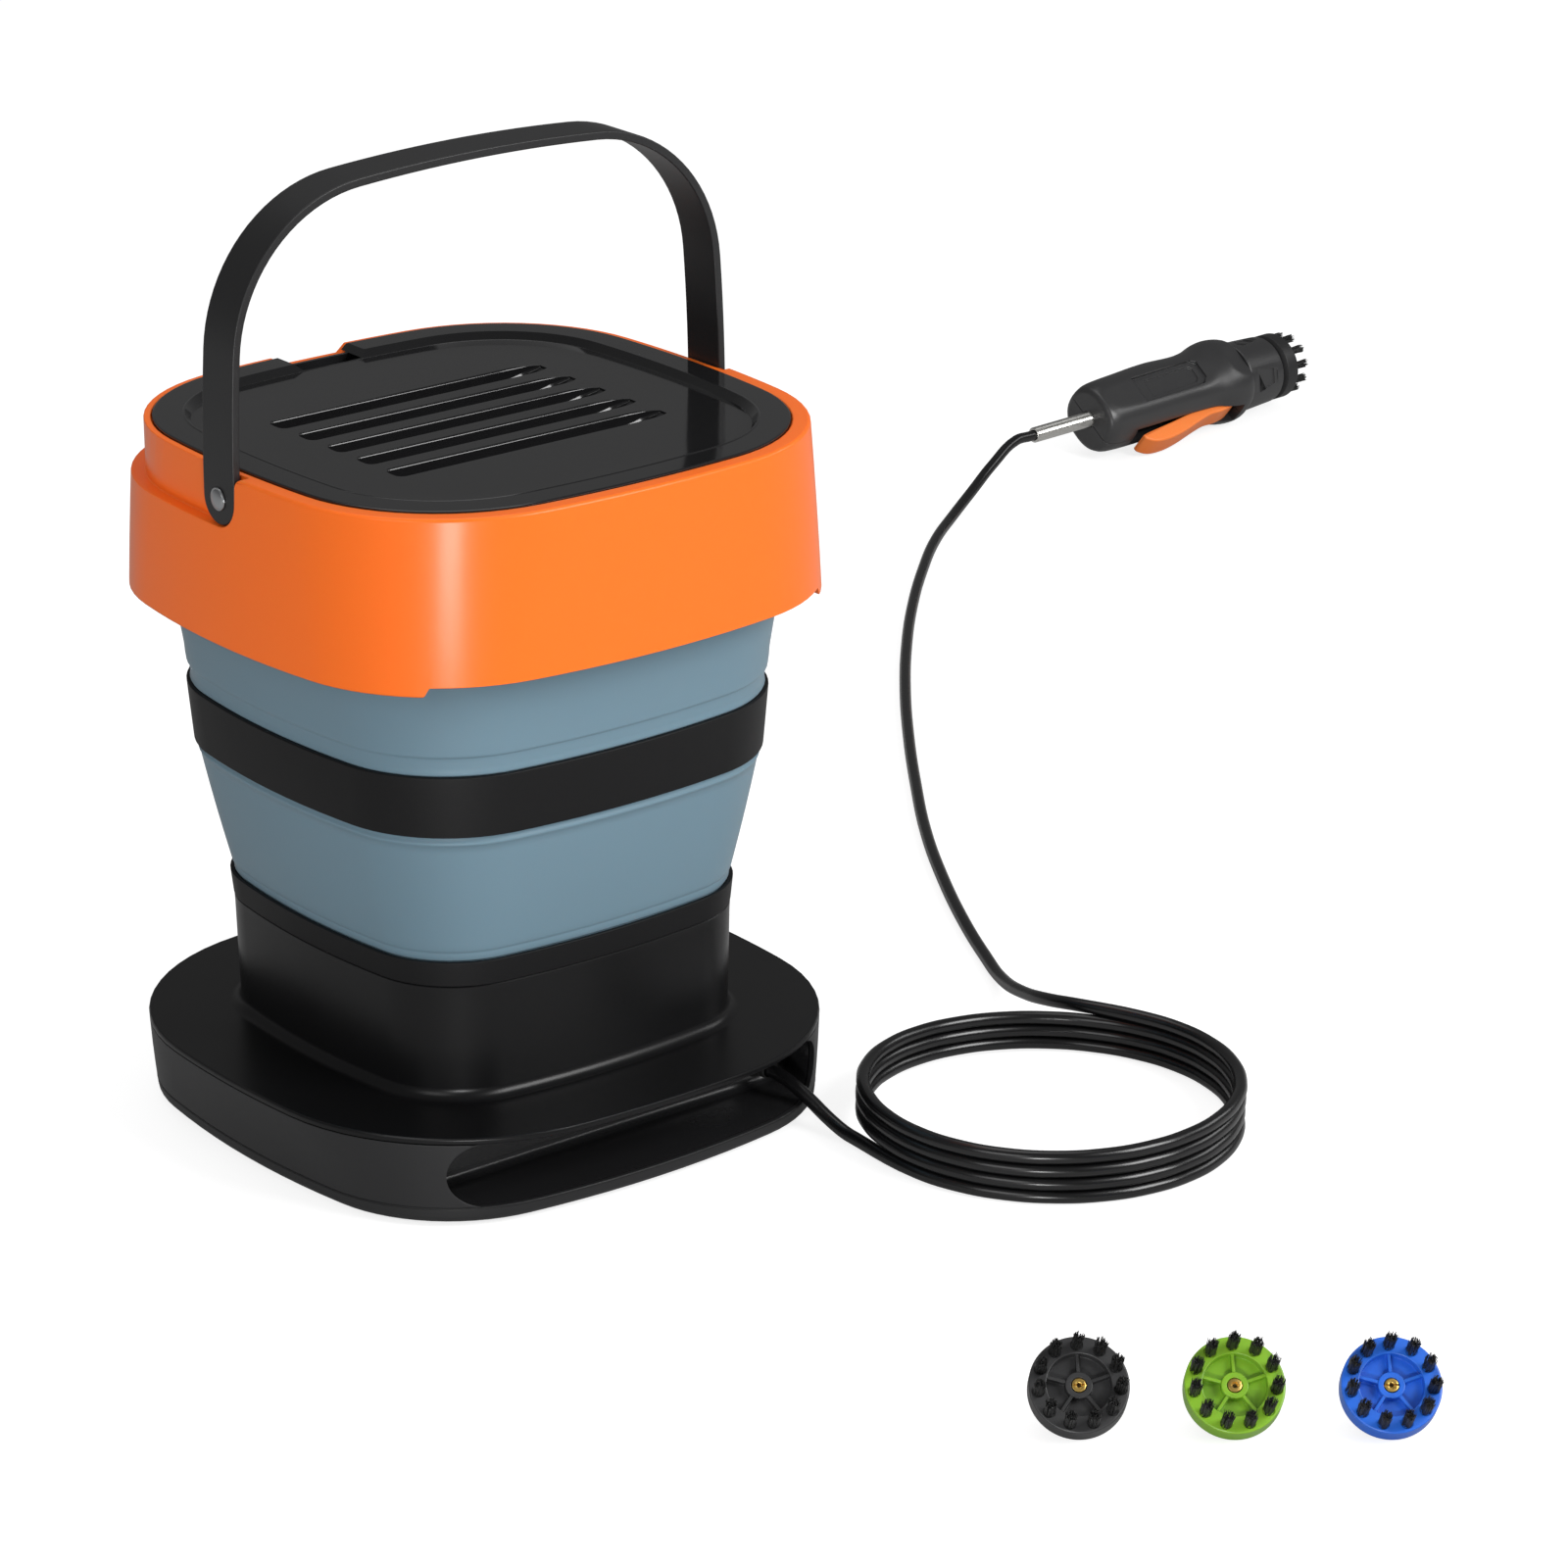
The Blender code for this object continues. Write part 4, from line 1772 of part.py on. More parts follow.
def make_spring_sleeve():
    bore = HOSE_RADIUS + BORE_GAP
    wall_end = GUN_WALL + CLEARANCE
    flange_end = wall_end + SLEEVE_FLANGE_THICKNESS
    along_gun(
        "spring_sleeve",
        [
            (bore, flange_end),
            (SLEEVE_FLANGE, flange_end),
            (SLEEVE_FLANGE, wall_end),
            (SLEEVE_RADIUS, wall_end),
            (SLEEVE_RADIUS, -SLEEVE_LENGTH),
            (bore, -SLEEVE_LENGTH),
        ],
        SMALL_STEPS,
        SLEEVE_STEEL,
        ring=True,
    )


def make_valve_body():
    rear, front = BULKHEADS
    rear_face = rear + BULKHEAD_THICKNESS + CLEARANCE
    front_face = front - CLEARANCE
    front_end = front + BULKHEAD_THICKNESS + VALVE_REACH
    nipple = HOSE_RADIUS
    valve = along_gun(
        "valve_body",
        [
            (0.0, front_end + VALVE_NIPPLE),
            (nipple, front_end + VALVE_NIPPLE),
            (nipple, front_end),
            (VALVE_RADIUS, front_end),
            (VALVE_RADIUS, front_face),
            (VALVE_BODY_RADIUS, front_face),
            (VALVE_BODY_RADIUS, rear_face),
            (VALVE_RADIUS, rear_face),
            (VALVE_RADIUS, rear - VALVE_REACH),
            (nipple, rear - VALVE_REACH),
            (nipple, valve_tail()),
            (0.0, valve_tail()),
        ],
        SMALL_STEPS + 4,
        BRASS,
    )
    room = STEM_RADIUS * 2.2
    socket = block(
        "stem_socket",
        (STEM_PLACE - room, -room, -VALVE_BODY_RADIUS * 2),
        (STEM_PLACE + room, room, 0.0),
        cutter=True,
    )
    socket.matrix_world = GUN_FRAME
    cut(valve, socket)


def valve_tail():
    """Where the hose meets the valve's rear nipple, from the gun's tail."""
    return RISER_END[-1] + CLEARANCE


def make_front_sleeve():
    """The turned sleeve that joins the body and takes a brush head's neck."""
    foot = GUN_LENGTH + CLEARANCE
    tip = foot + FRONT_LENGTH
    rear = foot - FRONT_SPIGOT
    neck = NECK_RADIUS + BORE_GAP
    seat = head_back() - CLEARANCE
    cone = HEAD_RADIUS - NECK_RADIUS
    mouth = NECK_RADIUS + cone * (tip - head_back() - NECK_LENGTH) / cone_length() + 3 * CLEARANCE
    sleeve = along_gun(
        "gun_front_sleeve",
        [
            (FRONT_BORE, seat),
            (neck, seat),
            (neck, head_back() + NECK_LENGTH - CLEARANCE),
            (mouth, tip),
            (FRONT_TIP_RADIUS - 0.0008, tip),
            (FRONT_TIP_RADIUS, tip - 0.0010),
            (FRONT_FOOT_RADIUS, foot + 0.0010),
            (FRONT_FOOT_RADIUS - 0.0008, foot),
            (FRONT_SPIGOT_RADIUS, foot),
            (FRONT_SPIGOT_RADIUS, rear),
            (FRONT_BORE, rear),
        ],
        ROUND_STEPS,
        GUN_BLACK,
        ring=True,
    )
    for i in range(RELIEF_COUNT):
        relief = extruded(
            f"sleeve_relief_{i + 1}",
            [(foot + 0.006, -0.0105), (foot + 0.024, -0.0065), (foot + 0.024, 0.0065), (foot + 0.006, 0.0105)],
            "Z",
            FRONT_TIP_RADIUS - RELIEF_DEPTH / 2,
            FRONT_FOOT_RADIUS * 2,
            cutter=True,
        )
        spin = Matrix.Rotation(math.tau * (i + 0.5) / RELIEF_COUNT, 4, "X")
        relief.matrix_world = GUN_FRAME @ spin
        cut(sleeve, relief)


def make_trigger():
    half = TRIGGER_WIDTH / 2
    trigger = extruded("trigger", TRIGGER_OUTLINE, "Y", -half, half, TRIGGER_ORANGE)
    trigger.matrix_world = GUN_FRAME
    bevel = trigger.modifiers.new("soft_edges", "BEVEL")
    bevel.width = 0.0014
    bevel.segments = 2
    bevel.limit_method = "ANGLE"
    bevel.angle_limit = math.radians(60)
    hole = rod(
        "trigger_bore", TRIGGER_PIN_RADIUS + BORE_GAP, -TRIGGER_WIDTH, TRIGGER_WIDTH, TRIGGER_PIVOT,
        steps=8, axis="Y", cutter=True,
    )
    stem_hole = rod(
        "stem_hole", STEM_RADIUS + BORE_GAP, stem_foot() - CLEARANCE, 0.0, (STEM_PLACE, 0.0),
        steps=8, cutter=True,
    )
    for item in (hole, stem_hole):
        item.matrix_world = GUN_FRAME
    cut(trigger, hole, stem_hole)
    pin = rod(
        "trigger_pin", TRIGGER_PIN_RADIUS, -TRIGGER_PIN_HALF, TRIGGER_PIN_HALF, TRIGGER_PIVOT,
        steps=8, axis="Y", paint=SCREW_STEEL,
    )
    pin.matrix_world = GUN_FRAME
    stem = rod(
        "valve_stem", STEM_RADIUS, stem_foot(), -VALVE_BODY_RADIUS * 0.5, (STEM_PLACE, 0.0),
        steps=8, paint=BRASS,
    )
    stem.matrix_world = GUN_FRAME


def stem_foot():
    """Bottom of the valve's stem, in its blind hole in the trigger."""
    below = [z for x, z in TRIGGER_OUTLINE if abs(x - STEM_PLACE) < 0.01]
    return (min(below) + max(below)) / 2


# ---------------------------------------------------------------- brush heads, in their own frame: Z outwards
def cone_length():
    return HEAD_LENGTH - HEAD_WALL_LENGTH - NECK_LENGTH


def head_back():
    """Back end of the fitted head's neck, from the gun's tail."""
    gap = 0.0050            # open groove between the sleeve and the head's wall
    return GUN_LENGTH + CLEARANCE + FRONT_LENGTH + gap - (HEAD_LENGTH - HEAD_WALL_LENGTH)


def make_head_body():
    """One head with its ribs and tufts, to be shared by every copy."""
    earlier = set(CUTTERS.objects)
    face = HEAD_LENGTH
    wall_start = HEAD_LENGTH - HEAD_WALL_LENGTH
    channel = face - CHANNEL_DEPTH
    hub_top = face - HUB_DROP
    seat = hub_top - NOZZLE_LENGTH - CLEARANCE
    body = turned(
        "head_body",
        [
            (STEAM_BORE, 0.0),
            (STEAM_BORE, seat),
            (NOZZLE_RADIUS + CLEARANCE, seat),
            (NOZZLE_RADIUS + CLEARANCE, hub_top),
            (HUB_RADIUS, hub_top),
            (HUB_RADIUS, channel),
            (CHANNEL_RADIUS, channel),
            (CHANNEL_RADIUS, face),
            (HEAD_RADIUS - 0.0006, face),
            (HEAD_RADIUS, face - 0.0006),
            (HEAD_RADIUS, wall_start),
            (NECK_RADIUS, NECK_LENGTH),
            (NECK_RADIUS, 0.0),
        ],
        TUFT_COUNT * 2,
        cutter=True,
        ring=True,
    )
    for i in range(RIB_COUNT):
        rib = block(
            f"head_rib_{i + 1}",
            (HUB_RADIUS - 0.0005, -RIB_THICKNESS / 2, channel - 0.0005),
            (CHANNEL_RADIUS + 0.0005, RIB_THICKNESS / 2, hub_top - 0.0006),
            cutter=True,
        )
        rib.matrix_world = Matrix.Rotation(math.tau * (i + 0.5) / RIB_COUNT, 4, "Z")
        join(body, rib)
    for i in range(TUFT_COUNT):
        tuft = rod(
            f"head_tuft_{i + 1}", TUFT_RADIUS, face - 0.0010, face + TUFT_LENGTH, (TUFT_CIRCLE, 0.0),
            steps=TUFT_SIDES, cutter=True,
        )
        tuft.matrix_world = Matrix.Rotation(math.tau * (i + 0.5) / TUFT_COUNT, 4, "Z")
        join(body, tuft)
    notch = block(
        "neck_notch",
        (NECK_RADIUS * 0.7, -0.0015, -0.001),
        (NECK_RADIUS * 1.5, 0.0015, NECK_LENGTH * 0.6),
        cutter=True,
    )
    cut(body, notch)
    bpy.context.view_layer.update()
    graph = bpy.context.evaluated_depsgraph_get()
    mesh = bpy.data.meshes.new_from_object(body.evaluated_get(graph))
    for item in set(CUTTERS.objects) - earlier:
        bpy.data.objects.remove(item, do_unlink=True)
    return mesh


def nozzle_profile():
    top = HEAD_LENGTH - HUB_DROP
    low = top - NOZZLE_LENGTH
    return [
        (NOZZLE_BORE, low),
        (NOZZLE_BORE, top - 0.0008),
        (NOZZLE_BORE * 1.6, top),
        (NOZZLE_RADIUS, top),
        (NOZZLE_RADIUS, low),
    ]


def make_head(name, mesh, frame):
    head = place(f"brush_head_{name}", mesh.copy(), None)
    head.data.materials.clear()
    head.data.materials.append(HEAD_COLOURS[name])
    nozzle = turned(f"nozzle_{name}", nozzle_profile(), SMALL_STEPS, BRASS, ring=True)
    mouth = nozzle_mouth(name)
    for item in (head, nozzle, mouth):
        item.matrix_world = frame
    cut(nozzle, mouth)


def nozzle_mouth(name):
    """Each head spreads its steam in its own way: a slot, or a six-sided mouth."""
    top = HEAD_LENGTH - HUB_DROP
    low = top - NOZZLE_SLOT_DEPTH
    if name == "green":
        return rod(f"mouth_{name}", NOZZLE_HEX, low, HEAD_LENGTH, (0.0, 0.0), steps=6, cutter=True)
    reach = NOZZLE_RADIUS * (2.0 if name == "blue" else 0.75)
    return block(
        f"mouth_{name}", (-NOZZLE_SLOT / 2, -reach, low), (NOZZLE_SLOT / 2, reach, HEAD_LENGTH),
        cutter=True,
    )


def make_heads():
    mesh = make_head_body()
    make_head("fitted", mesh, GUN_FRAME @ Matrix.Translation((head_back(), 0.0, 0.0)) @ ALONG_GUN)
    lean = math.atan2(HEAD_RADIUS - NECK_RADIUS, HEAD_LENGTH - HEAD_WALL_LENGTH)
    heading = Matrix.Rotation(math.radians(LOOSE_HEADING), 4, "Z")
    tip = Matrix.Rotation(math.pi / 2 - lean, 4, "Y")
    height = NECK_RADIUS * math.cos(lean)
    for name, (x, y) in LOOSE_HEADS:
        back = (x, y, height + CLEARANCE / 3)
        make_head(name, mesh, Matrix.Translation(back) @ heading @ tip)


# ---------------------------------------------------------------- the whole object
make_base_pan()
make_feet()
make_storage_bay()
make_base_cover()
make_cover_screws()
make_boiler()
make_heater_plate()
make_pump()
make_control_board()
make_inner_tubes()
make_hose_gland()
make_power_inlet()
make_power_switch()
make_lower_ring()
make_tank_floor()
make_inlet_strainer()
make_bellows_lower()
make_mid_ring()
make_bellows_upper()
make_clamp_ring()
make_collar()
make_lid()
make_lid_seal()
make_bail()
make_rivets()
make_hose()
make_gun_shells()
make_spring_sleeve()
make_valve_body()
make_front_sleeve()
make_trigger()
make_heads()
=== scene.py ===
# %% [markdown]
# # A wallpaper steamer with a folding bucket
# The machine is a bucket of soft grey elastomer between black hoops, on a flat base that holds the boiler.
# An orange collar carries the lid and the bail. A thin hose lies coiled in front of it and runs to a
# trigger gun, and three spare brush heads stand beside it.
# This file gives each piece of the plain model its fine shape and its finish. Lengths are metres, except
# inside `mm` and `lofted`, which take millimetres.

# %% The frame
import math
import random

import bmesh
import bpy
from mathutils import Matrix, Vector


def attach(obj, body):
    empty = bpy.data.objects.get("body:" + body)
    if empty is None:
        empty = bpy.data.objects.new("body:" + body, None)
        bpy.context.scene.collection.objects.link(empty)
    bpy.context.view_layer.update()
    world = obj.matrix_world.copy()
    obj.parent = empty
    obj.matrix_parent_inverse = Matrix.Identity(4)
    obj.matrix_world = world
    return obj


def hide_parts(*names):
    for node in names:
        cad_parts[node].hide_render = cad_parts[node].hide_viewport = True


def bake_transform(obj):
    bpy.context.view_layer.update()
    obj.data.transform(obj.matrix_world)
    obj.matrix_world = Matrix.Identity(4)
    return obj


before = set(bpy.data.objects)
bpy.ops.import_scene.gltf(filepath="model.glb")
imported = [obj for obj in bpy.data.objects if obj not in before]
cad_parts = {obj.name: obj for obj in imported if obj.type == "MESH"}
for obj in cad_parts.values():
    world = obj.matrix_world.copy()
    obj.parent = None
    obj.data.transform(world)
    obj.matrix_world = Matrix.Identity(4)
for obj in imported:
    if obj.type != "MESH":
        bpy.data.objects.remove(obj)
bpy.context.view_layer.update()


def mm(*spots):
    """The spots in metres, from millimetres."""
    return [tuple(value / 1000 for value in spot) for spot in spots]


def linked(name, data):
    """A new object in the scene."""
    made = bpy.data.objects.new(name, data)
    bpy.context.scene.collection.objects.link(made)
    return made


# %% [markdown]
# ## Camera
# A long lens from well back keeps the upright edges nearly parallel, as in a catalogue view. The camera
# could be aimed with a constraint. Its three axes are written down instead, because that fixes the view
# exactly and leaves nothing to evaluate.

# %% Camera
RIGHT = Vector((0.78174, -0.62360, -0.00223))
UP = Vector((0.22202, 0.27499, 0.93546))
EYE = Vector((-1.46728, -2.06989, 1.11125))
BACK = RIGHT.cross(UP)

camera = linked("camera", bpy.data.cameras.new("camera"))
camera.data.sensor_width = 36.0
camera.data.lens = 133.77
camera.data.clip_end = 60.0
turn = Matrix((RIGHT, UP, BACK)).transposed()
camera.matrix_world = Matrix.Translation(EYE) @ turn.to_4x4()
bpy.context.scene.camera = camera
print("camera looks along", [round(-x, 3) for x in BACK])

# %% [markdown]
# ## The hose's line
# The hose leaves the gland in the storage slot, drops to the floor, lies in three and a half turns that
# climb one layer each, and then runs along the floor to the gun. One smooth curve through points on that
# line is enough, because a hose keeps its round section everywhere. The turns could be a Screw modifier,
# but a curve lets a turn lie flat for a good half and climb in the rest, as real turns do.

# %% Hose route
HOSE_RADIUS = 0.00325
COIL_CENTRE = Vector((0.1811, -0.1992, 0.0))
COIL_RADIUS = 0.0877
COIL_FIRST = 170.0
COIL_SWEEP = 1290.0
COIL_STEP = 15          # degrees between two points
COIL_WANDER = 0.0004    # the turns aren't quite round
FLAT_PART = 0.58        # of each turn, and the rest climbs
CLIMBING_PART = 0.42
REST_HEIGHT = 0.0034
LEAD = mm(
    (88.5, -87.2, 21.5), (88.5, -96, 21.5), (88.6, -105.6, 21.4), (89.7, -114, 20.1), (91.4, -122, 17),
    (93, -130, 12.9), (94.2, -138, 8.7), (95, -146, 5.5), (95.3, -153, 3.8), (95.2, -160, 3.4),
)
RISER = mm(
    (252, -137.2, 21.6), (250.8, -118, 18.2), (258, -90, 11.2), (270.5, -60, 5.2), (286.5, -28, 3.4),
    (307, 12, 3.4), (338, 66, 3.4), (372.3, 120.2, 3.4), (416, 181.5, 3.4), (460.4, 240.8, 3.4),
    (506, 298.5, 3.4), (553.2, 354.2, 3.4), (601, 406.5, 3.4), (649, 454.5, 3.4), (693, 494.5, 3.4),
    (731, 522.5, 4.4), (761, 540, 9.6), (786, 551, 18),
)
GUN_FRAME = (
    Matrix.Translation((0.8754, 0.5634, 0.0270))
    @ Matrix.Rotation(math.radians(4.5), 4, "Z")
    @ Matrix.Rotation(math.radians(-51.0), 4, "X")
)
INTO_GUN = (-0.0640, -0.0520, -0.0280, 0.0100, 0.0490)


def coil_point(turned):
    """A point of the coil after so many degrees: each turn lies flat, then climbs by one diameter."""
    layer, part = divmod(turned / 360.0, 1.0)
    climb = max(0.0, (part - FLAT_PART) / CLIMBING_PART)
    climb = climb * climb * (3 - 2 * climb)
    angle = math.radians(COIL_FIRST + turned)
    radius = COIL_RADIUS + COIL_WANDER * math.sin(3 * angle + layer)
    height = REST_HEIGHT + 2 * HOSE_RADIUS * (layer + climb)
    return COIL_CENTRE + Vector((radius * math.cos(angle), radius * math.sin(angle), height))


coil = [coil_point(turned) for turned in range(COIL_STEP, int(COIL_SWEEP) + 1, COIL_STEP)]
route = [Vector(p) for p in LEAD] + coil + [Vector(p) for p in RISER]
route += [GUN_FRAME @ Vector((along, 0.0, 0.0)) for along in INTO_GUN]
straight = sum((b - a).length for a, b in zip(route, route[1:]))
print("hose: points", len(route), "straight lengths add up to", round(straight, 3))

# %% [markdown]
# ## Colours and finishes
# Most of the steamer is moulded plastic, so the finishes share two node groups. The first gives the fine
# spark-eroded grain and the slight unevenness in gloss that every moulding has. The second lets the colour
# drift a little and paints a highlight on the convex edges by lightening them. Both read object coordinates,
# so the grain has the same size on every piece. Numbers that don't change over a surface stay on the shader.

# %% Shared node groups
def new_group(name, inputs, outputs):
    group = bpy.data.node_groups.new(name, "ShaderNodeTree")
    for label, kind, value in inputs:
        group.interface.new_socket(label, in_out="INPUT", socket_type=kind).default_value = value
    for label, kind in outputs:
        group.interface.new_socket(label, in_out="OUTPUT", socket_type=kind)
    return group, group.nodes.new("NodeGroupInput"), group.nodes.new("NodeGroupOutput")


def add_node(tree, kind, inputs, **settings):
    """A shader node with its settings. An input gets a value, or a link if it is given a socket."""
    made = tree.nodes.new("ShaderNode" + kind)
    for label, value in settings.items():
        setattr(made, label, value)
    for label, value in inputs.items():
        if isinstance(value, bpy.types.NodeSocket):
            tree.links.new(value, made.inputs[label])
        else:
            made.inputs[label].default_value = value
    return made


def noise(tree, scale, detail):
    """A noise on object coordinates; scale may be a number or a socket."""
    place = add_node(tree, "TexCoord", {}).outputs["Object"]
    return add_node(tree, "TexNoise", {"Vector": place, "Scale": scale, "Detail": detail}).outputs["Fac"]


def sums(tree, operation, *terms):
    """A Math node on numbers or sockets."""
    return add_node(tree, "Math", dict(enumerate(terms)), operation=operation).outputs[0]


grain, told, given = new_group(
    "moulded_grain",
    (
        ("Grain Scale", "NodeSocketFloat", 1200.0),
        ("Grain Depth", "NodeSocketFloat", 0.2),
        ("Roughness", "NodeSocketFloat", 0.4),
        ("Unevenness", "NodeSocketFloat", 0.1),
    ),
    (("Roughness", "NodeSocketFloat"), ("Normal", "NodeSocketVector")),
)
fine = noise(grain, told.outputs["Grain Scale"], 2.0)
bump = add_node(grain, "Bump", {"Distance": 0.00012, "Strength": told.outputs["Grain Depth"], "Height": fine})
smear = sums(grain, "SUBTRACT", noise(grain, 23.0, 5.0), 0.5)
gloss = sums(grain, "MULTIPLY_ADD", smear, told.outputs["Unevenness"], told.outputs["Roughness"])
grain.links.new(gloss, given.inputs["Roughness"])
grain.links.new(bump.outputs["Normal"], given.inputs["Normal"])

# The second group: a colour that drifts at random, with a painted highlight lightening the convex edges.
tint, told, given = new_group(
    "drift_and_painted_edge_highlight",
    (
        ("Colour", "NodeSocketColor", (0.5, 0.5, 0.5, 1.0)),
        ("Highlight Colour", "NodeSocketColor", (0.8, 0.8, 0.8, 1.0)),
        ("Drift", "NodeSocketFloat", 0.1),
        ("Edge Highlight", "NodeSocketFloat", 0.3),
    ),
    (("Colour", "NodeSocketColor"),),
)
cloud = sums(tint, "SUBTRACT", noise(tint, 9.0, 4.0), 0.5)
shade = sums(tint, "MULTIPLY_ADD", cloud, told.outputs["Drift"], 1.0)
drifted = add_node(tint, "HueSaturation", {"Color": told.outputs["Colour"], "Value": shade})
# Pointiness finds the convex edges, where the painted highlight goes.
pointed = add_node(tint, "NewGeometry", {}).outputs["Pointiness"]
ridge = add_node(tint, "MapRange", {"Value": pointed, "From Min": 0.53, "From Max": 0.68})
painted_edge_highlight = sums(tint, "MULTIPLY", ridge.outputs["Result"], told.outputs["Edge Highlight"])
both_colours = {"Factor": painted_edge_highlight, 6: drifted.outputs["Color"], 7: told.outputs["Highlight Colour"]}
tint.links.new(add_node(tint, "Mix", both_colours, data_type="RGBA").outputs[2], given.inputs["Colour"])
print("shared groups:", grain.name, tint.name)

# %% [markdown]
# Colours are easier to judge as the numbers a screen shows, so they are written from 0 to 255 and turned
# into light with the usual curve. A finish is then a colour, a gloss, the size and depth of its grain, and
# whatever else the shader needs for it, such as a clear coat on polished plastic.

# %% One function for every moulded finish
def paint(red, green, blue):
    """A screen colour as linear light."""
    return [
        value / 255 / 12.92 if value <= 10 else ((value / 255 + 0.055) / 1.055) ** 2.4
        for value in (red, green, blue)
    ] + [1.0]


LOOKS = {}


# A finish's edge colour and edge highlight amount paint a highlight on its convex edges.
def finish(name, colour, gloss, grain_scale=1200.0, grain_depth=0.2, uneven=0.08, drift=0.1, edge=None,
           edge_highlight=0.25, **shader_values):
    """A moulded finish, kept in LOOKS under its name."""
    made = LOOKS[name] = bpy.data.materials.new(name)
    made.use_nodes = True
    tree = made.node_tree
    shader = tree.nodes["Principled BSDF"]
    surface = add_node(tree, "Group", {
        "Grain Scale": grain_scale, "Grain Depth": grain_depth, "Roughness": gloss, "Unevenness": uneven,
    }, node_tree=grain)
    lighter = [min(1.0, c * 1.6 + 0.01) for c in colour[:3]] + [1.0]
    colouring = add_node(tree, "Group", {
        "Colour": colour, "Highlight Colour": edge or lighter, "Drift": drift, "Edge Highlight": edge_highlight,
    }, node_tree=tint)
    tree.links.new(colouring.outputs["Colour"], shader.inputs["Base Color"])
    for label in ("Roughness", "Normal"):
        tree.links.new(surface.outputs[label], shader.inputs[label])
    for label, value in shader_values.items():
        shader.inputs[label.replace("_", " ")].default_value = value
    made.diffuse_color = colour
    return made


# The lighter edge colours given below are painted highlights on the convex edges.
finish("base_black", paint(33, 33, 34), 0.44, 1500, 0.30, Specular_IOR_Level=0.40)
finish("cover_black", paint(14, 14, 15), 0.30, 1500, 0.16, edge_highlight=0.5, Specular_IOR_Level=0.28)
finish("bay_black", paint(30, 30, 31), 0.26, 1500, 0.08, Specular_IOR_Level=0.40)
finish("ring_black", paint(18, 18, 19), 0.50, 1700, 0.35, Specular_IOR_Level=0.22)
finish("bellows_grey", paint(108, 134, 148), 0.46, 800, 0.08, 0.06, 0.05, paint(150, 176, 187), 0.40,
       Specular_IOR_Level=0.22, Subsurface_Weight=0.06, Subsurface_Scale=0.004, Sheen_Weight=0.08,
       Sheen_Roughness=0.5)
finish("collar_orange", paint(255, 115, 32), 0.34, 900, 0.04, 0.04, 0.03, paint(255, 165, 90), 0.35,
       Specular_IOR_Level=0.24, Subsurface_Weight=0.10, Subsurface_Scale=0.003, Coat_Weight=0.14,
       Coat_Roughness=0.20)
finish("lid_grey", paint(24, 24, 25), 0.10, 700, 0.015, 0.03, 0.05, paint(90, 92, 94), 0.2,
       Specular_IOR_Level=0.45, Coat_Weight=0.25, Coat_Roughness=0.06)
finish("bail_black", paint(33, 33, 34), 0.40, 1300, 0.25, edge_highlight=0.5, Specular_IOR_Level=0.40)
finish("rivet_steel", paint(178, 180, 182), 0.30, 2200, 0.25, 0.1, 0.1, edge_highlight=0.2, Metallic=1.0)
finish("screw_steel", paint(140, 141, 143), 0.35, 2200, 0.3, 0.15, 0.15, edge_highlight=0.3, Metallic=1.0)
finish("rubber", paint(24, 24, 24), 0.75, 1900, 0.5, Specular_IOR_Level=0.3)
finish("hose_black", paint(14, 14, 15), 0.25, 500, 0.06, 0.06, edge_highlight=0.0, Specular_IOR_Level=0.6)
finish("sleeve_steel", paint(226, 225, 221), 0.22, 3000, 0.15, 0.1, 0.08, edge_highlight=0.1, Metallic=1.0)
finish("gun_black", paint(44, 44, 45), 0.34, 2300, 0.25, 0.08, edge_highlight=0.8, Specular_IOR_Level=0.80)
finish("trigger_orange", paint(255, 136, 60), 0.38, 1100, 0.08, 0.05, 0.03, paint(255, 180, 120), 0.3,
       Subsurface_Weight=0.08, Subsurface_Scale=0.002)
finish("brass", paint(222, 184, 100), 0.34, 2500, 0.2, 0.1, 0.1, paint(255, 225, 150), 0.3, Metallic=1.0)
finish("head_black", paint(44, 44, 45), 0.42, 1500, 0.25, edge_highlight=0.4)
finish("head_fitted", paint(34, 34, 35), 0.44, 1500, 0.25, edge_highlight=0.4)
finish("head_green", paint(122, 170, 36), 0.36, 1200, 0.1, 0.05, 0.06, edge_highlight=0.2, Subsurface_Weight=0.10,
       Subsurface_Scale=0.002)
finish("head_blue", paint(30, 98, 205), 0.36, 1200, 0.1, 0.05, 0.06, edge_highlight=0.2, Subsurface_Weight=0.06,
       Subsurface_Scale=0.002)
finish("aluminium", paint(196, 197, 199), 0.34, 900, 0.5, 0.15, 0.1, Metallic=1.0)
finish("pump_plastic", paint(96, 96, 100), 0.5)
finish("board_green", paint(34, 104, 60), 0.4, 400, 0.4)
finish("tube_silicone", paint(202, 202, 196), 0.35, 600, 0.1, Subsurface_Weight=0.2, Subsurface_Scale=0.003)
print("finishes:", len(LOOKS))

# %% [markdown]
# Bristles are nylon threads too fine to shade one by one, so grey specks, from a noise much finer than a
# tuft, are painted on the black as highlights that vary from thread to thread.

# %% Bristle finish with painted highlights
tree = finish("bristle_black", paint(20, 20, 20), 0.38, 900, 0.1, 0.1, edge_highlight=0.0).node_tree
# Grey specks on the black bristles are painted highlights.
painted_highlight_mask = sums(tree, "GREATER_THAN", noise(tree, 2600.0, 1.0), 0.56)
black_and_painted_highlight = {"Factor": painted_highlight_mask, 6: paint(16, 16, 16), 7: paint(70, 70, 70)}
threads = add_node(tree, "Mix", black_and_painted_highlight, data_type="RGBA")
tree.links.new(threads.outputs[2], tree.nodes["Principled BSDF"].inputs["Base Color"])
print("finishes with the bristles:", len(LOOKS))

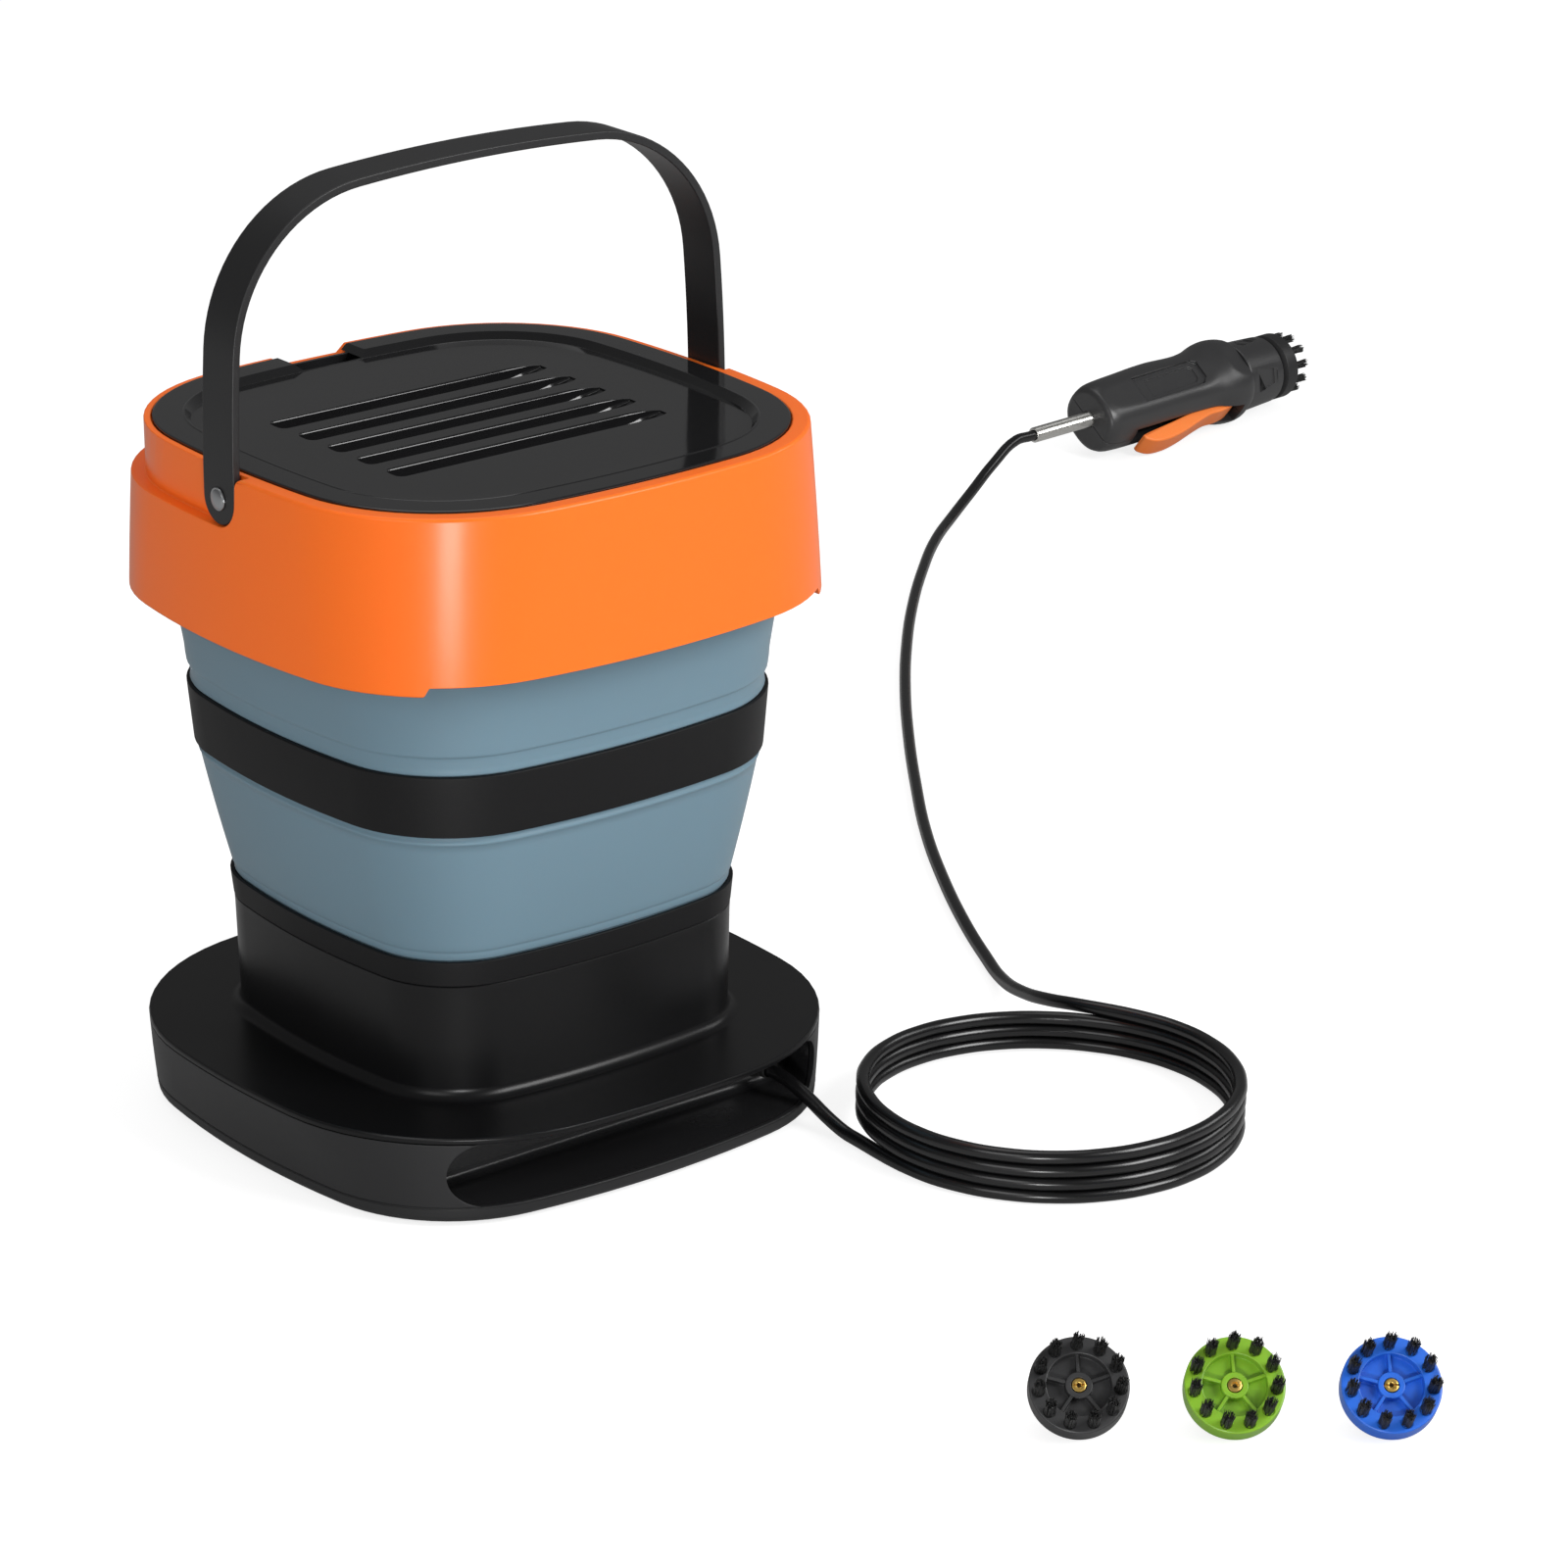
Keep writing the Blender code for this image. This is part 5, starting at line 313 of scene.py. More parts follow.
# %% [markdown]
# ## Small tools
# A few helpers carry most of the work. `outline` spins one vertex round eight centres, so a square with
# bowed sides and round corners comes out as eight arcs that run into each other. `skin` extrudes such an
# outline from station to station. `turned` spins a profile. Cuts are exact booleans that are applied at
# once, so nothing depends on a cutter later, and a narrow bevel then breaks every sharp edge, because no
# moulding has a perfectly sharp one and the bevel is what catches the light.

# %% Outlines and lofts
SIDE_STEPS = 10
CORNER_STEPS = 14
SAME_SPOT = 1e-7


def outline(half, corner, side, side_steps=SIDE_STEPS, corner_steps=CORNER_STEPS):
    """Points of a bowed square, made by spinning one vertex through eight arcs."""
    bow = side - half
    middle = (math.sqrt(2 * (side - corner) ** 2 - bow**2) - bow) / 2
    swing = math.atan2(middle, middle + bow)
    bm = bmesh.new()
    tip = [bm.verts.new((side * math.cos(swing) - bow, -side * math.sin(swing), 0.0))]
    for number in range(4):
        turn = Matrix.Rotation(number * math.pi / 2, 3, "Z")
        for centre, angle, steps in (
            (turn @ Vector((-bow, 0, 0)), 2 * swing, side_steps),
            (turn @ Vector((middle, middle, 0)), math.pi / 2 - 2 * swing, corner_steps),
        ):
            made = bmesh.ops.spin(bm, geom=tip, cent=centre, axis=(0, 0, 1), angle=angle, steps=steps)
            tip = [v for v in made["geom_last"] if isinstance(v, bmesh.types.BMVert)]
    points = [(v.co.x, v.co.y) for v in bm.verts][:-1]
    bm.free()
    return points


def placed(bm, matrix):
    bmesh.ops.transform(bm, matrix=matrix, verts=bm.verts)
    return bm


def mix(low, high, share):
    return low + (high - low) * share


def lift(points, height):
    return [Vector((x, y, height)) for x, y in points]


def first_loop(bm, spots):
    verts = [bm.verts.new(spot) for spot in spots]
    for pair in zip(verts, verts[1:] + verts[:1]):
        bm.edges.new(pair)
    return verts


def next_loop(bm, loop, spots):
    """Extrudes the loop and moves the new one to the spots."""
    edges = [bm.edges.get(pair) for pair in zip(loop, loop[1:] + loop[:1])]
    made = bmesh.ops.extrude_edge_only(bm, edges=edges)["geom"]
    fresh = {item for item in made if isinstance(item, bmesh.types.BMVert)}
    moved = [next(e.other_vert(v) for e in v.link_edges if e.other_vert(v) in fresh) for v in loop]
    for vert, spot in zip(moved, spots):
        vert.co = spot
    return moved


def skin(loops, ring=False):
    """A bmesh over loops of spots: a ring closes on its first loop, else both ends get a face."""
    bm = bmesh.new()
    first = first_loop(bm, loops[0])
    last = first
    for spots in loops[1:] + ([loops[0]] if ring else []):
        last = next_loop(bm, last, spots)
    if ring:
        bmesh.ops.remove_doubles(bm, verts=first + last, dist=SAME_SPOT)
    else:
        for loop in (first, last):
            rim_edges = [bm.edges.get(pair) for pair in zip(loop, loop[1:] + loop[:1])]
            bmesh.ops.edgeloop_fill(bm, edges=rim_edges)
    bmesh.ops.recalc_face_normals(bm, faces=bm.faces)
    return bm


def turned(profile, steps=48, ring=False):
    """A bmesh of a profile of (radius, height) spun round Z."""
    bm = bmesh.new()
    verts = [bm.verts.new((radius, 0.0, height)) for radius, height in profile]
    edges = [bm.edges.new(pair) for pair in zip(verts, verts[1:])]
    if ring:
        edges.append(bm.edges.new((verts[-1], verts[0])))
    bmesh.ops.spin(
        bm, geom=verts + edges, cent=(0, 0, 0), axis=(0, 0, 1), angle=math.tau, steps=steps, use_merge=True
    )
    bmesh.ops.remove_doubles(bm, verts=bm.verts, dist=SAME_SPOT)
    bmesh.ops.recalc_face_normals(bm, faces=bm.faces)
    return bm


def prism(points, axis, low, high):
    """A bmesh of a flat outline pulled along an axis."""
    order = {"X": lambda a, b: Vector((low, a, b)), "Y": lambda a, b: Vector((a, low, b)),
             "Z": lambda a, b: Vector((a, b, low))}[axis]
    shift = Vector([high - low if axis == letter else 0.0 for letter in "XYZ"])
    start = [order(a, b) for a, b in points]
    return skin([start, [spot + shift for spot in start]])


def box(low, high):
    bm = bmesh.new()
    bmesh.ops.create_cube(bm, size=1.0)
    low, high = Vector(low), Vector(high)
    bmesh.ops.scale(bm, vec=high - low, verts=bm.verts)
    bmesh.ops.translate(bm, vec=(low + high) / 2, verts=bm.verts)
    return bm


def arc(centre, radius, first, last, steps):
    spots = []
    for i in range(steps + 1):
        angle = math.radians(mix(first, last, i / steps))
        spots.append((centre[0] + radius * math.cos(angle), centre[1] + radius * math.sin(angle)))
    return spots


check = outline(0.1, 0.05, 0.4)
print("outline points", len(check), "widest", round(max(x for x, y in check), 5), "of 0.1")

# %% [markdown]
# `solid` turns a bmesh into an object, `carve` and `weld` cut and join, and `show` gives the piece its
# finish, ties it to the body it moves with and hides the plain solids that it stands for.

# %% From bmesh to piece
def solid(name, bm, place=None):
    if place is not None:
        placed(bm, place)
    mesh = bpy.data.meshes.new(name)
    bm.to_mesh(mesh)
    bm.free()
    return linked(name, mesh)


def settle(obj):
    """Replaces the mesh by what its modifiers make of it."""
    graph = bpy.context.evaluated_depsgraph_get()
    mesh = bpy.data.meshes.new_from_object(obj.evaluated_get(graph))
    obj.modifiers.clear()
    obj.data = mesh


CRUMB = 0.00002     # a boolean's leftovers below this are merged


def combine(obj, operation, *tools):
    for tool in tools:
        step = obj.modifiers.new(operation.lower(), "BOOLEAN")
        step.operation = operation
        step.solver = "EXACT"
        step.object = tool
    bpy.context.view_layer.update()
    settle(obj)
    for tool in tools:
        bpy.data.objects.remove(tool, do_unlink=True)
    bm = bmesh.new()
    bm.from_mesh(obj.data)
    bmesh.ops.remove_doubles(bm, verts=bm.verts, dist=CRUMB)
    bmesh.ops.dissolve_degenerate(bm, edges=bm.edges, dist=CRUMB)
    bm.to_mesh(obj.data)
    bm.free()
    return obj


def carve(obj, *bms):
    return combine(obj, "DIFFERENCE", *[solid(f"{obj.name}_cut_{i}", bm) for i, bm in enumerate(bms)])


def weld(obj, *bms):
    return combine(obj, "UNION", *[solid(f"{obj.name}_add_{i}", bm) for i, bm in enumerate(bms)])


def soften(obj, width, segments=3, angle=38.0):
    """Breaks the sharp edges with a narrow round."""
    step = obj.modifiers.new("edge_break", "BEVEL")
    step.width = width
    step.segments = segments
    step.limit_method = "ANGLE"
    step.angle_limit = math.radians(angle)
    step.use_clamp_overlap = False
    return obj


def show(obj, look, body, *nodes, slot=None, sharp=38.0):
    obj.data.materials.clear()
    obj.data.materials.append(LOOKS[look])
    obj.data.shade_smooth()
    if not obj.modifiers:
        obj.data.set_sharp_from_angle(angle=math.radians(sharp))
    flats = obj.modifiers.new("flats_stay_flat", "WEIGHTED_NORMAL")
    flats.keep_sharp = True
    if nodes:
        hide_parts(*nodes)
    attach(obj, body)
    print("piece", obj.name, len(obj.data.polygons), "faces, moves with", body)
    return obj


# %% [markdown]
# ## The sections of the machine
# The base widens towards its rim, the bucket widens upwards and the collar narrows again. Each of them is
# one family of outlines whose corner and side radii follow its width.

# %% Sections by height
FOOT_HEIGHT = 0.002
BASE_HEIGHT = 0.045
COLLAR_BOTTOM = 0.2543
COLLAR_TOP = 0.3340


def between(low, high, share, inset, height):
    """An outline between two measured ones of (half, corner, side), moved in by the inset."""
    return lift(outline(*[mix(a, b, share) - inset for a, b in zip(low, high)]), height)


def base(height, inset=0.0):
    share = (height - FOOT_HEIGHT) / (BASE_HEIGHT - FOOT_HEIGHT)
    return between((0.1362, 0.0735, 0.4640), (0.1448, 0.1065, 0.5546), share, inset, height)


def skirt(height, inset=0.0):
    share = (height - COLLAR_BOTTOM) / (COLLAR_TOP - COLLAR_BOTTOM)
    return between((0.1413, 0.0830, 0.4390), (0.1372, 0.0880, 0.6080), share, inset, height)


def tower(half, height):
    return lift(outline(half, half - 0.05375, half + 0.3161), height)


def rim(half, height):
    return lift(outline(half, half - 0.0490, half + 0.4700), height)


def lofted(section, *spots):
    """Stations of one family, from (half, height) in millimetres."""
    return [section(*spot) for spot in mm(*spots)]


print("widest at the rim of the base", round(max(spot.x for spot in base(BASE_HEIGHT)), 4))

# %% [markdown]
# ## Base pan
# The pan is the deep lower tray of the base. Its walls lean out and its foot is rounded, so it lofts in a
# few stations. The storage slot, the screw wells and the inlets are cut afterwards. A boolean is the safe
# way, because the slot crosses a wall that bows in both directions. A raised round field in the middle of
# the underside and the screw bosses are joined on in the same manner.

# %% Base pan
FAR = 0.4       # cutters reach this far
PAN_TOP = 0.0415
PAN_FLOOR = 0.0046
PAN_WALL = 0.0026
SLOT_RADIUS = 0.0160
SLOT_MIDDLE = 0.0260
SLOT_HALF = 0.1055
BOSS_RADIUS = 0.0048
SHANK_RADIUS = 0.0017
GLAND = (0.0885, -0.093, 0.0215)
SCREWS = ((-0.112, -0.070), (0.112, -0.070), (-0.098, 0.098), (0.098, 0.098))
FEET = ((-0.086, -0.086), (0.086, -0.086), (-0.086, 0.086), (0.086, 0.086))
ALONG_X = Matrix.Rotation(math.pi / 2, 4, "Y")
ALONG_Y = Matrix.Rotation(-math.pi / 2, 4, "X")


def at(x, y, z=0.0):
    return Matrix.Translation((x, y, z))


def rod(radius, low, high, place=None, steps=32):
    bm = bmesh.new()
    bmesh.ops.create_cone(
        bm, cap_ends=True, segments=steps, radius1=radius, radius2=radius, depth=high - low
    )
    bmesh.ops.translate(bm, vec=(0, 0, (low + high) / 2), verts=bm.verts)
    return bm if place is None else placed(bm, place)


def slot_outline(margin):
    radius = SLOT_RADIUS + margin
    reach = SLOT_HALF - SLOT_RADIUS
    right = arc((reach, SLOT_MIDDLE), radius, -90, 90, 24)
    return right + arc((-reach, SLOT_MIDDLE), radius, 90, 270, 24)


def wall_spot(side):
    """A frame on the back wall, left or right of the middle, whose Z points out of the wall."""
    swing = Matrix.Rotation(math.radians(-3.249 * side), 4, "Z")
    return at(0.045 * side, 0.13805, 0.024) @ swing @ Matrix.Rotation(math.radians(-102.66), 4, "X")


quarter = [i * math.pi / 12 for i in range(7)]
foot_curve = [(0.0035 * (1 - math.sin(a)), FOOT_HEIGHT + 0.0035 * (1 - math.cos(a))) for a in quarter]
pan = solid("base_pan_fine", skin(
    [base(z, inset) for inset, z in foot_curve]
    + [base(0.0092), base(0.0094, 0.00022), base(0.0098, 0.00022), base(0.0100)]
    + [base(z) for z in (0.018, 0.028, PAN_TOP)]
    + [base(PAN_TOP, PAN_WALL), base(PAN_FLOOR + PAN_WALL, PAN_WALL), base(PAN_FLOOR, 2 * PAN_WALL)]
))
field = rod(0.0550, 0.0014, 0.0033, steps=96)
weld(pan, field, *[rod(BOSS_RADIUS, 0.0033, 0.0117, at(x, y)) for x, y in SCREWS])
wells = [rod(0.0035, -0.01, 0.008, at(x, y)) for x, y in SCREWS]
shanks = [rod(SHANK_RADIUS, -0.01, 0.018, at(x, y), 16) for x, y in SCREWS]
pegs = [rod(0.0033, -0.01, 0.009, at(x, y), 24) for x, y in FEET]
inlet_hole = rod(0.0069, -0.02, 0.02, wall_spot(-1))
switch_hole = placed(box((-0.0098, -0.0073, -0.03), (0.0098, 0.0073, 0.03)), wall_spot(1))
carve(pan, prism(slot_outline(0.0), "Y", -FAR, -0.095), inlet_hole, switch_hole, *wells, *shanks, *pegs)
soften(pan, 0.0004, 2)
show(pan, "base_black", "base", "base_pan")

# %% [markdown]
# Four soft feet carry the base. Each is a turned button with a barbed peg that snaps through the pan.

# %% Feet
foot_profile = mm(
    (0, 6.4), (2.6, 6.4), (3, 6), (4.2, 4.9), (3, 4.9), (3, 1.7), (9.6, 1.7), (10, 1.3), (9.7, 0.4),
    (9.3, 0), (6, 0), (5.5, 0.3), (0, 0.3),
)
for number, (x, y) in enumerate(FEET, start=1):
    foot = solid(f"foot_fine_{number}", turned(foot_profile, 40), at(x, y))
    show(foot, "rubber", "base", f"foot_{number}")

# %% [markdown]
# Behind the slot lies a shallow bay that the hose is pushed into. Its mouth follows the slot and its back
# corners are filleted. It is the slot's outline pulled back, cut to the room inside the pan and hollowed
# by a second, smaller pull whose last stations shrink to make the fillet.

# %% Storage bay
bay = solid("storage_bay_fine", prism(slot_outline(0.002), "Y", -FAR, -0.091))
room = solid("bay_room", skin([base(PAN_FLOOR, 0.0029), base(PAN_TOP, 0.0029)]))
combine(bay, "INTERSECT", room)
BAY_FILLET = 0.005
hollow = [[Vector((x, -FAR, z)) for x, z in slot_outline(0.0)]]
for a in quarter:
    inset = BAY_FILLET * (1 - math.cos(a))
    y = -0.098 + BAY_FILLET * math.sin(a)
    hollow.append([Vector((x, y, z)) for x, z in slot_outline(-inset)])
carve(bay, skin(hollow), rod(0.0053, -0.12, 0.0, at(GLAND[0], 0, GLAND[2]) @ ALONG_Y))
show(bay, "bay_black", "base", "storage_bay", slot="base_black", sharp=50)

# %% [markdown]
# ## Base cover
# The cover closes the base. One moulding makes the flat rim, the fillet and the pedestal under the bucket.
# A single closed loft follows it from the underside of the rim, over the edge, up the pedestal and down
# again inside, so the fillet flows into both surfaces.

# %% Base cover
rim_curve = mm(
    (0.5, 41.8), (0, 42.2), (0, 43.6), (0.15, 44.2), (0.55, 44.75), (1.2, 45),
)
FILLET = 0.0055
fillet_curve = [
    (0.0980 + FILLET * (1 - math.sin(a)), BASE_HEIGHT + FILLET * (1 - math.cos(a))) for a in quarter
]
cover = solid("base_cover_fine", skin(
    [base(z, inset) for inset, z in rim_curve]
    + [tower(half, z) for half, z in fillet_curve]
    + lofted(tower, (99.15, 96), (99.4, 100.3), (99, 100.7))
    + lofted(tower, (93.5, 100.7), (93.5, 98.2), (96.9, 95.7), (95.5, 41.8)),
    ring=True,
))
weld(cover, *[rod(BOSS_RADIUS, 0.0120, 0.0434, at(x, y)) for x, y in SCREWS])
carve(cover, *[rod(SHANK_RADIUS, 0.0, 0.034, at(x, y), 16) for x, y in SCREWS])
show(cover, "cover_black", "base", "base_cover", slot="base_black", sharp=30)

# %% [markdown]
# ## Lower ring and tank floor
# A stiff ring holds the foot of the bellows against the tank floor. Both are plain mouldings that follow
# the tower's outline, so they are closed lofts with their edges broken.

# %% Lower ring and tank floor
lower_ring = solid("lower_ring_fine", skin(
    lofted(tower, (99.6, 101), (100.25, 107), (100.9, 113), (98.7, 113), (97.4, 101)), ring=True
))
soften(lower_ring, 0.0004, 3)
show(lower_ring, "ring_black", "base", "lower_ring")

tank = solid("tank_floor_fine", skin(lofted(
    tower, (97.1, 101), (97.1, 103.2), (94.4, 103.2), (94.4, 112), (92.2, 112), (91.2, 104), (90, 103.2),
    (40, 102.6),
)))
spout_spot = at(-0.060, 0.030)
weld(tank, rod(0.0060, 0.0890, 0.1021, spout_spot))
carve(tank, rod(0.0040, 0.0400, 0.1200, spout_spot))
soften(tank, 0.0004, 2)
show(tank, "ring_black", "base", "tank_floor")

# %% [markdown]
# ## Bellows
# The bucket's walls are two skirts of soft elastomer that roll in on themselves when the bucket is pushed
# down. They have a shoulder where they leave a hoop and a thin bead below the middle one. Each is a closed
# loft of its outer profile and the same profile moved in by the wall. A cloth model would add folds that
# the taut material doesn't have at rest.

# %% Lower bellows
WALL = 0.0024


def skirt_wall(name, profile):
    """One skirt of the bucket, smooth over its fold and sharp at its rims."""
    outer = [tower(half, z) for half, z in profile]
    inner = [tower(half - WALL, z) for half, z in reversed(profile)]
    made = solid(name, skin(outer + inner, ring=True))
    made.data.shade_smooth()
    made.data.set_sharp_from_angle(angle=math.radians(50))
    made.data.materials.append(LOOKS["bellows_grey"])
    return made


lower_profile = mm(
    (97.1, 103.5), (97.6, 112.9), (98.5, 113.3), (98.9, 113.8), (99, 116.6), (99.2, 117.3), (99.8, 117.9),
    (100.1, 118.6),
)
for i in range(1, 17):
    share = i / 17
    belly = 0.00035 * math.sin(math.pi * share)
    lower_profile.append((mix(0.1001, 0.1127, share) + belly, mix(0.1186, 0.1732, share)))
lower_profile += mm(
    (112.7, 173.6), (113.1, 173.9), (113.4, 174.4), (113.5, 175), (113.3, 175.6), (112.9, 176),
    (112.7, 176.6), (112.7, 178.4), (113.6, 189.4),
)
bellows = skirt_wall("bellows_lower_fine", lower_profile)
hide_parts("bellows_lower")
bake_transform(bellows)
print("lower bellows faces", len(bellows.data.polygons))

# %% [markdown]
# The middle hoop is one stiff moulding round both bellows, so it is a closed loft with rounded edges.

# %% Middle hoop
band = solid("mid_ring_fine", skin(lofted(
    tower, (114.6, 178.4), (115, 178.6), (115.2, 179), (116.45, 193), (117.7, 207.2), (117.5, 207.6),
    (117.1, 207.8), (115.5, 207.8), (113, 178.4),
), ring=True))
show(band, "ring_black", "mid_ring", "mid_ring", sharp=50)

# %% [markdown]
# The upper skirt flares faster towards its top. A low step runs round it just above the middle hoop, where
# the mould parts. The clamp ring inside presses its top edge into the collar.

# %% Upper bellows and clamp ring
def upper_half(height):
    return mix(0.1161, 0.1258, ((height - 0.2078) / 0.0599) ** 1.25)


upper_profile = mm((114.3, 196.8), (115.2, 207.8), (115.8, 208.2), (116.1, 208.8))
upper_profile += [(upper_half(z) - 0.0006, z) for z in (0.2100, 0.2120, 0.2145, 0.2163)]
upper_profile += [(upper_half(0.2168) - 0.00045, 0.2168), (upper_half(0.2172) + 0.0001, 0.2172)]
upper_profile += [(upper_half(z) + 0.0003, z) for z in (0.2176, 0.2184, 0.2210)]
upper_profile += [(upper_half(z), z) for z in [0.2260 + 0.0052 * i for i in range(9)]]
bellows = skirt_wall("bellows_upper_fine", upper_profile)
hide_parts("bellows_upper")
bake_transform(bellows)
print("upper bellows faces", len(bellows.data.polygons))

clamp = solid("clamp_ring_fine", skin(
    [tower(upper_half(0.2580) - 0.0027, 0.2580), tower(0.1231, 0.2677)]
    + lofted(rim, (123.3, 269.1), (123.9, 280), (121.7, 280), (121.1, 268))
    + [tower(upper_half(0.2580) - 0.0049, 0.2580)],
    ring=True,
))
soften(clamp, 0.0003, 2)
show(clamp, "ring_black", "collar", "clamp_ring")

# %% [markdown]
# ## Collar
# The orange collar stiffens the bucket's mouth. It is a skirt with a rolled top edge, a seat for the lid
# and, on each side, a pocket cut down to a ledge where the bail's legs swing. The outside is one loft. The
# hollows, the pocket, the raised stretch of the front edge and the finger notch are cut from it, and the
# pocket's cutter is first kept to the space around the rim, so that the inner wall stays whole.

# %% Collar
PIVOT = 0.3215
LEDGE = 0.3089
ROLL = 0.0016       # radius of the collar's top edge
PIN_HOLE = 0.0028


def on_pivot(turn):
    """A frame on the bail's axis. Its Z points out to the right, or to the left after a half turn."""
    return at(0, 0, PIVOT) @ Matrix.Rotation(turn, 4, "Z") @ ALONG_X


def pin_holes(low, high):
    return [rod(PIN_HOLE, low, high, on_pivot(turn)) for turn in (0, math.pi)]


roll = [(ROLL * (1 - math.cos(a)), COLLAR_TOP - ROLL * (1 - math.sin(a))) for a in quarter]
collar_body = solid("collar_fine", skin(
    [skirt(COLLAR_BOTTOM, 0.0004), skirt(COLLAR_BOTTOM + 0.0004), skirt(0.274), skirt(0.294), skirt(0.314)]
    + [skirt(z, inset) for inset, z in roll]
    + [rim(0.12925, COLLAR_TOP), rim(0.1289, COLLAR_TOP - 0.0004), rim(0.1289, 0.3317), rim(0.1262, 0.3317),
       rim(0.1242, COLLAR_BOTTOM)],
    ring=True,
))
skirt_hollow = skin(
    [skirt(0.2515, 0.0028), skirt(0.3061, 0.0028)]
    + lofted(rim, (129.2, 306.1), (127.2, 268), (121.2, 268), (121.2, 251.5)),
    ring=True,
)
crown_hollow = solid("crown_hollow", skin(
    [skirt(0.3031, 0.0031), skirt(0.3312, 0.0031)]
    + lofted(rim, (131.9, 331.2), (131.9, 328.7), (129.5, 325.7), (129.5, 303.1)),
    ring=True,
))
combine(crown_hollow, "INTERSECT", solid("crown_front", box((-FAR, -FAR, 0.0), (FAR, -0.0204, FAR))))
side_view = (
    [(FAR, 0.37), (FAR, LEDGE)]
    + arc((0.0, PIVOT), 0.0126, 270, 180, 16)
    + arc((-0.0176, COLLAR_TOP - 0.005), 0.005, 0, 90, 10)
    + [(-0.0176, 0.37)]
)
pocket = solid("bail_pocket", prism(side_view, "X", -FAR, FAR))
combine(pocket, "INTERSECT", solid("around_rim", skin(
    lofted(rim, (184, 306.1), (184, 400), (132.3, 400), (132.3, 306.1)), ring=True
)))
step_view = [(-0.1100, 0.2515), (-0.1100, COLLAR_BOTTOM), (-0.1080, 0.2585), (0.1080, 0.2585),
             (0.1100, COLLAR_BOTTOM), (0.1100, 0.2515)]
notch_view = mm((-22, 374), (-22, 335.2), (-16, 330), (16, 330), (22, 335.2), (22, 374))
carve(collar_body, skirt_hollow)
combine(collar_body, "DIFFERENCE", crown_hollow)
combine(collar_body, "DIFFERENCE", pocket)
front_step = prism(step_view, "Y", -FAR, -0.085)
finger_notch = prism(notch_view, "Y", 0.1027, FAR)
carve(collar_body, front_step, finger_notch, *pin_holes(0.1270, 0.1650))
soften(collar_body, 0.0005, 3, 40)
show(collar_body, "collar_orange", "collar", "collar")

# %% [markdown]
# ## Lid
# The lid is a glossy tray with a flat band round a sunken panel, and five louvres breathe through the
# panel. Each louvre is a long scoop with a steep far wall and a thin rounded lip. Its left end is round
# and its right end rises back to the panel. Lofting the scoop along its length and cutting it out gives
# all of that in one step. The troughs welded below the panel leave the scoops a floor.

# %% Lid
PANEL = 0.3316
lid = solid("lid_fine", skin(
    [rim(0.0900, PANEL), rim(0.1106, PANEL)]
    + lofted(
        rim, (111, 331.8), (113.2, 334.7), (113.5, 335.1), (113.9, 335.2), (114.3, 335.1), (114.6, 334.9),
        (127.4, 334.9), (127.9, 334.8), (128.3, 334.5), (128.4, 334), (128.4, 332), (124.6, 332),
        (124.6, 323.4), (125.8, 322.8), (125.8, 321), (122.6, 321), (122.6, 332), (112.3, 332),
        (107.8, 329.2), (90, 329.2),
    )
))
LOUVRE_PITCH = 0.0230
LOUVRES = [(i - 2) * LOUVRE_PITCH for i in range(5)]
troughs = [box((-0.0770, y - 0.0064, 0.3236), (0.0770, y + 0.0092, 0.3304)) for y in LOUVRES]
weld(lid, *troughs)


def scoop(y):
    """The space of one louvre: sections along X that are round at the left and rise at the right."""
    sections = [
        (-0.0755 + 0.0042 * (1 - math.cos(a)), 0.25 + 0.75 * math.sin(a), 0.35 + 0.65 * math.sin(a))
        for a in quarter
    ]
    sections += [(0.0550, 1.0, 1.0), (0.0620, 0.97, 0.86), (0.0680, 0.88, 0.62), (0.0725, 0.66, 0.36)]
    sections += [(0.0750, 0.40, 0.16)]
    loops = []
    for x, wide, deep in sections:
        low, corner, lip = -0.0066 * deep, 0.0012 * deep, 0.0012
        view = [(0.0094, 0.0060), (0.0092, 0.00002)]
        view += [(0.0080 + lip * (1 - math.sin(a)), -lip * (1 - math.cos(a)) * deep) for a in quarter]
        view += [(0.0078, low * 0.62), (0.0074, low + corner), (0.0070, low + corner * 0.3), (0.0062, low)]
        view += [(-0.0037, low), (-0.0045, low + corner * 0.3), (-0.0049, low + corner), (-0.0049, -0.0004)]
        view += [(-0.0052, 0.0), (-0.0053, 0.0060)]
        loops.append([Vector((x, y + across * wide, PANEL + up)) for across, up in view])
    return skin(loops)


carve(lid, *[scoop(y) for y in LOUVRES])
carve(lid, prism([(x, z + 0.0016) for x, z in notch_view], "Y", 0.1110, FAR))
show(lid, "lid_grey", "lid", "lid", sharp=32)

# %% [markdown]
# ## Bail and rivets
# The bail is a flat strap bent to an arch, with round ends that turn on domed rivets. The arch is the
# upper half of an outline, stretched, so its shoulders stay round. Extruding that line to a ribbon and
# thickening it inwards is how the real strap is formed, and it keeps the outer face on the pivots' plane.

# %% Bail
BAIL_HALF = 0.1373
BAIL_RISE = 0.1383
STRAP_HALF = 0.0120
STRAP_THICKNESS = 0.0040
arch = outline(BAIL_HALF, 0.0750, 0.9000, 14, 20)
upper = sorted((x, PIVOT + z * BAIL_RISE / BAIL_HALF) for x, z in arch if z > 0.0005)
line = [(-BAIL_HALF, PIVOT - STRAP_HALF), (-BAIL_HALF, PIVOT)] + upper
line += [(BAIL_HALF, PIVOT), (BAIL_HALF, PIVOT - STRAP_HALF)]
bm = bmesh.new()
spots = [bm.verts.new((x, -STRAP_HALF, z)) for x, z in line]
edges = [bm.edges.new(pair) for pair in zip(spots, spots[1:])]
ribbon = bmesh.ops.extrude_edge_only(bm, edges=edges)["geom"]
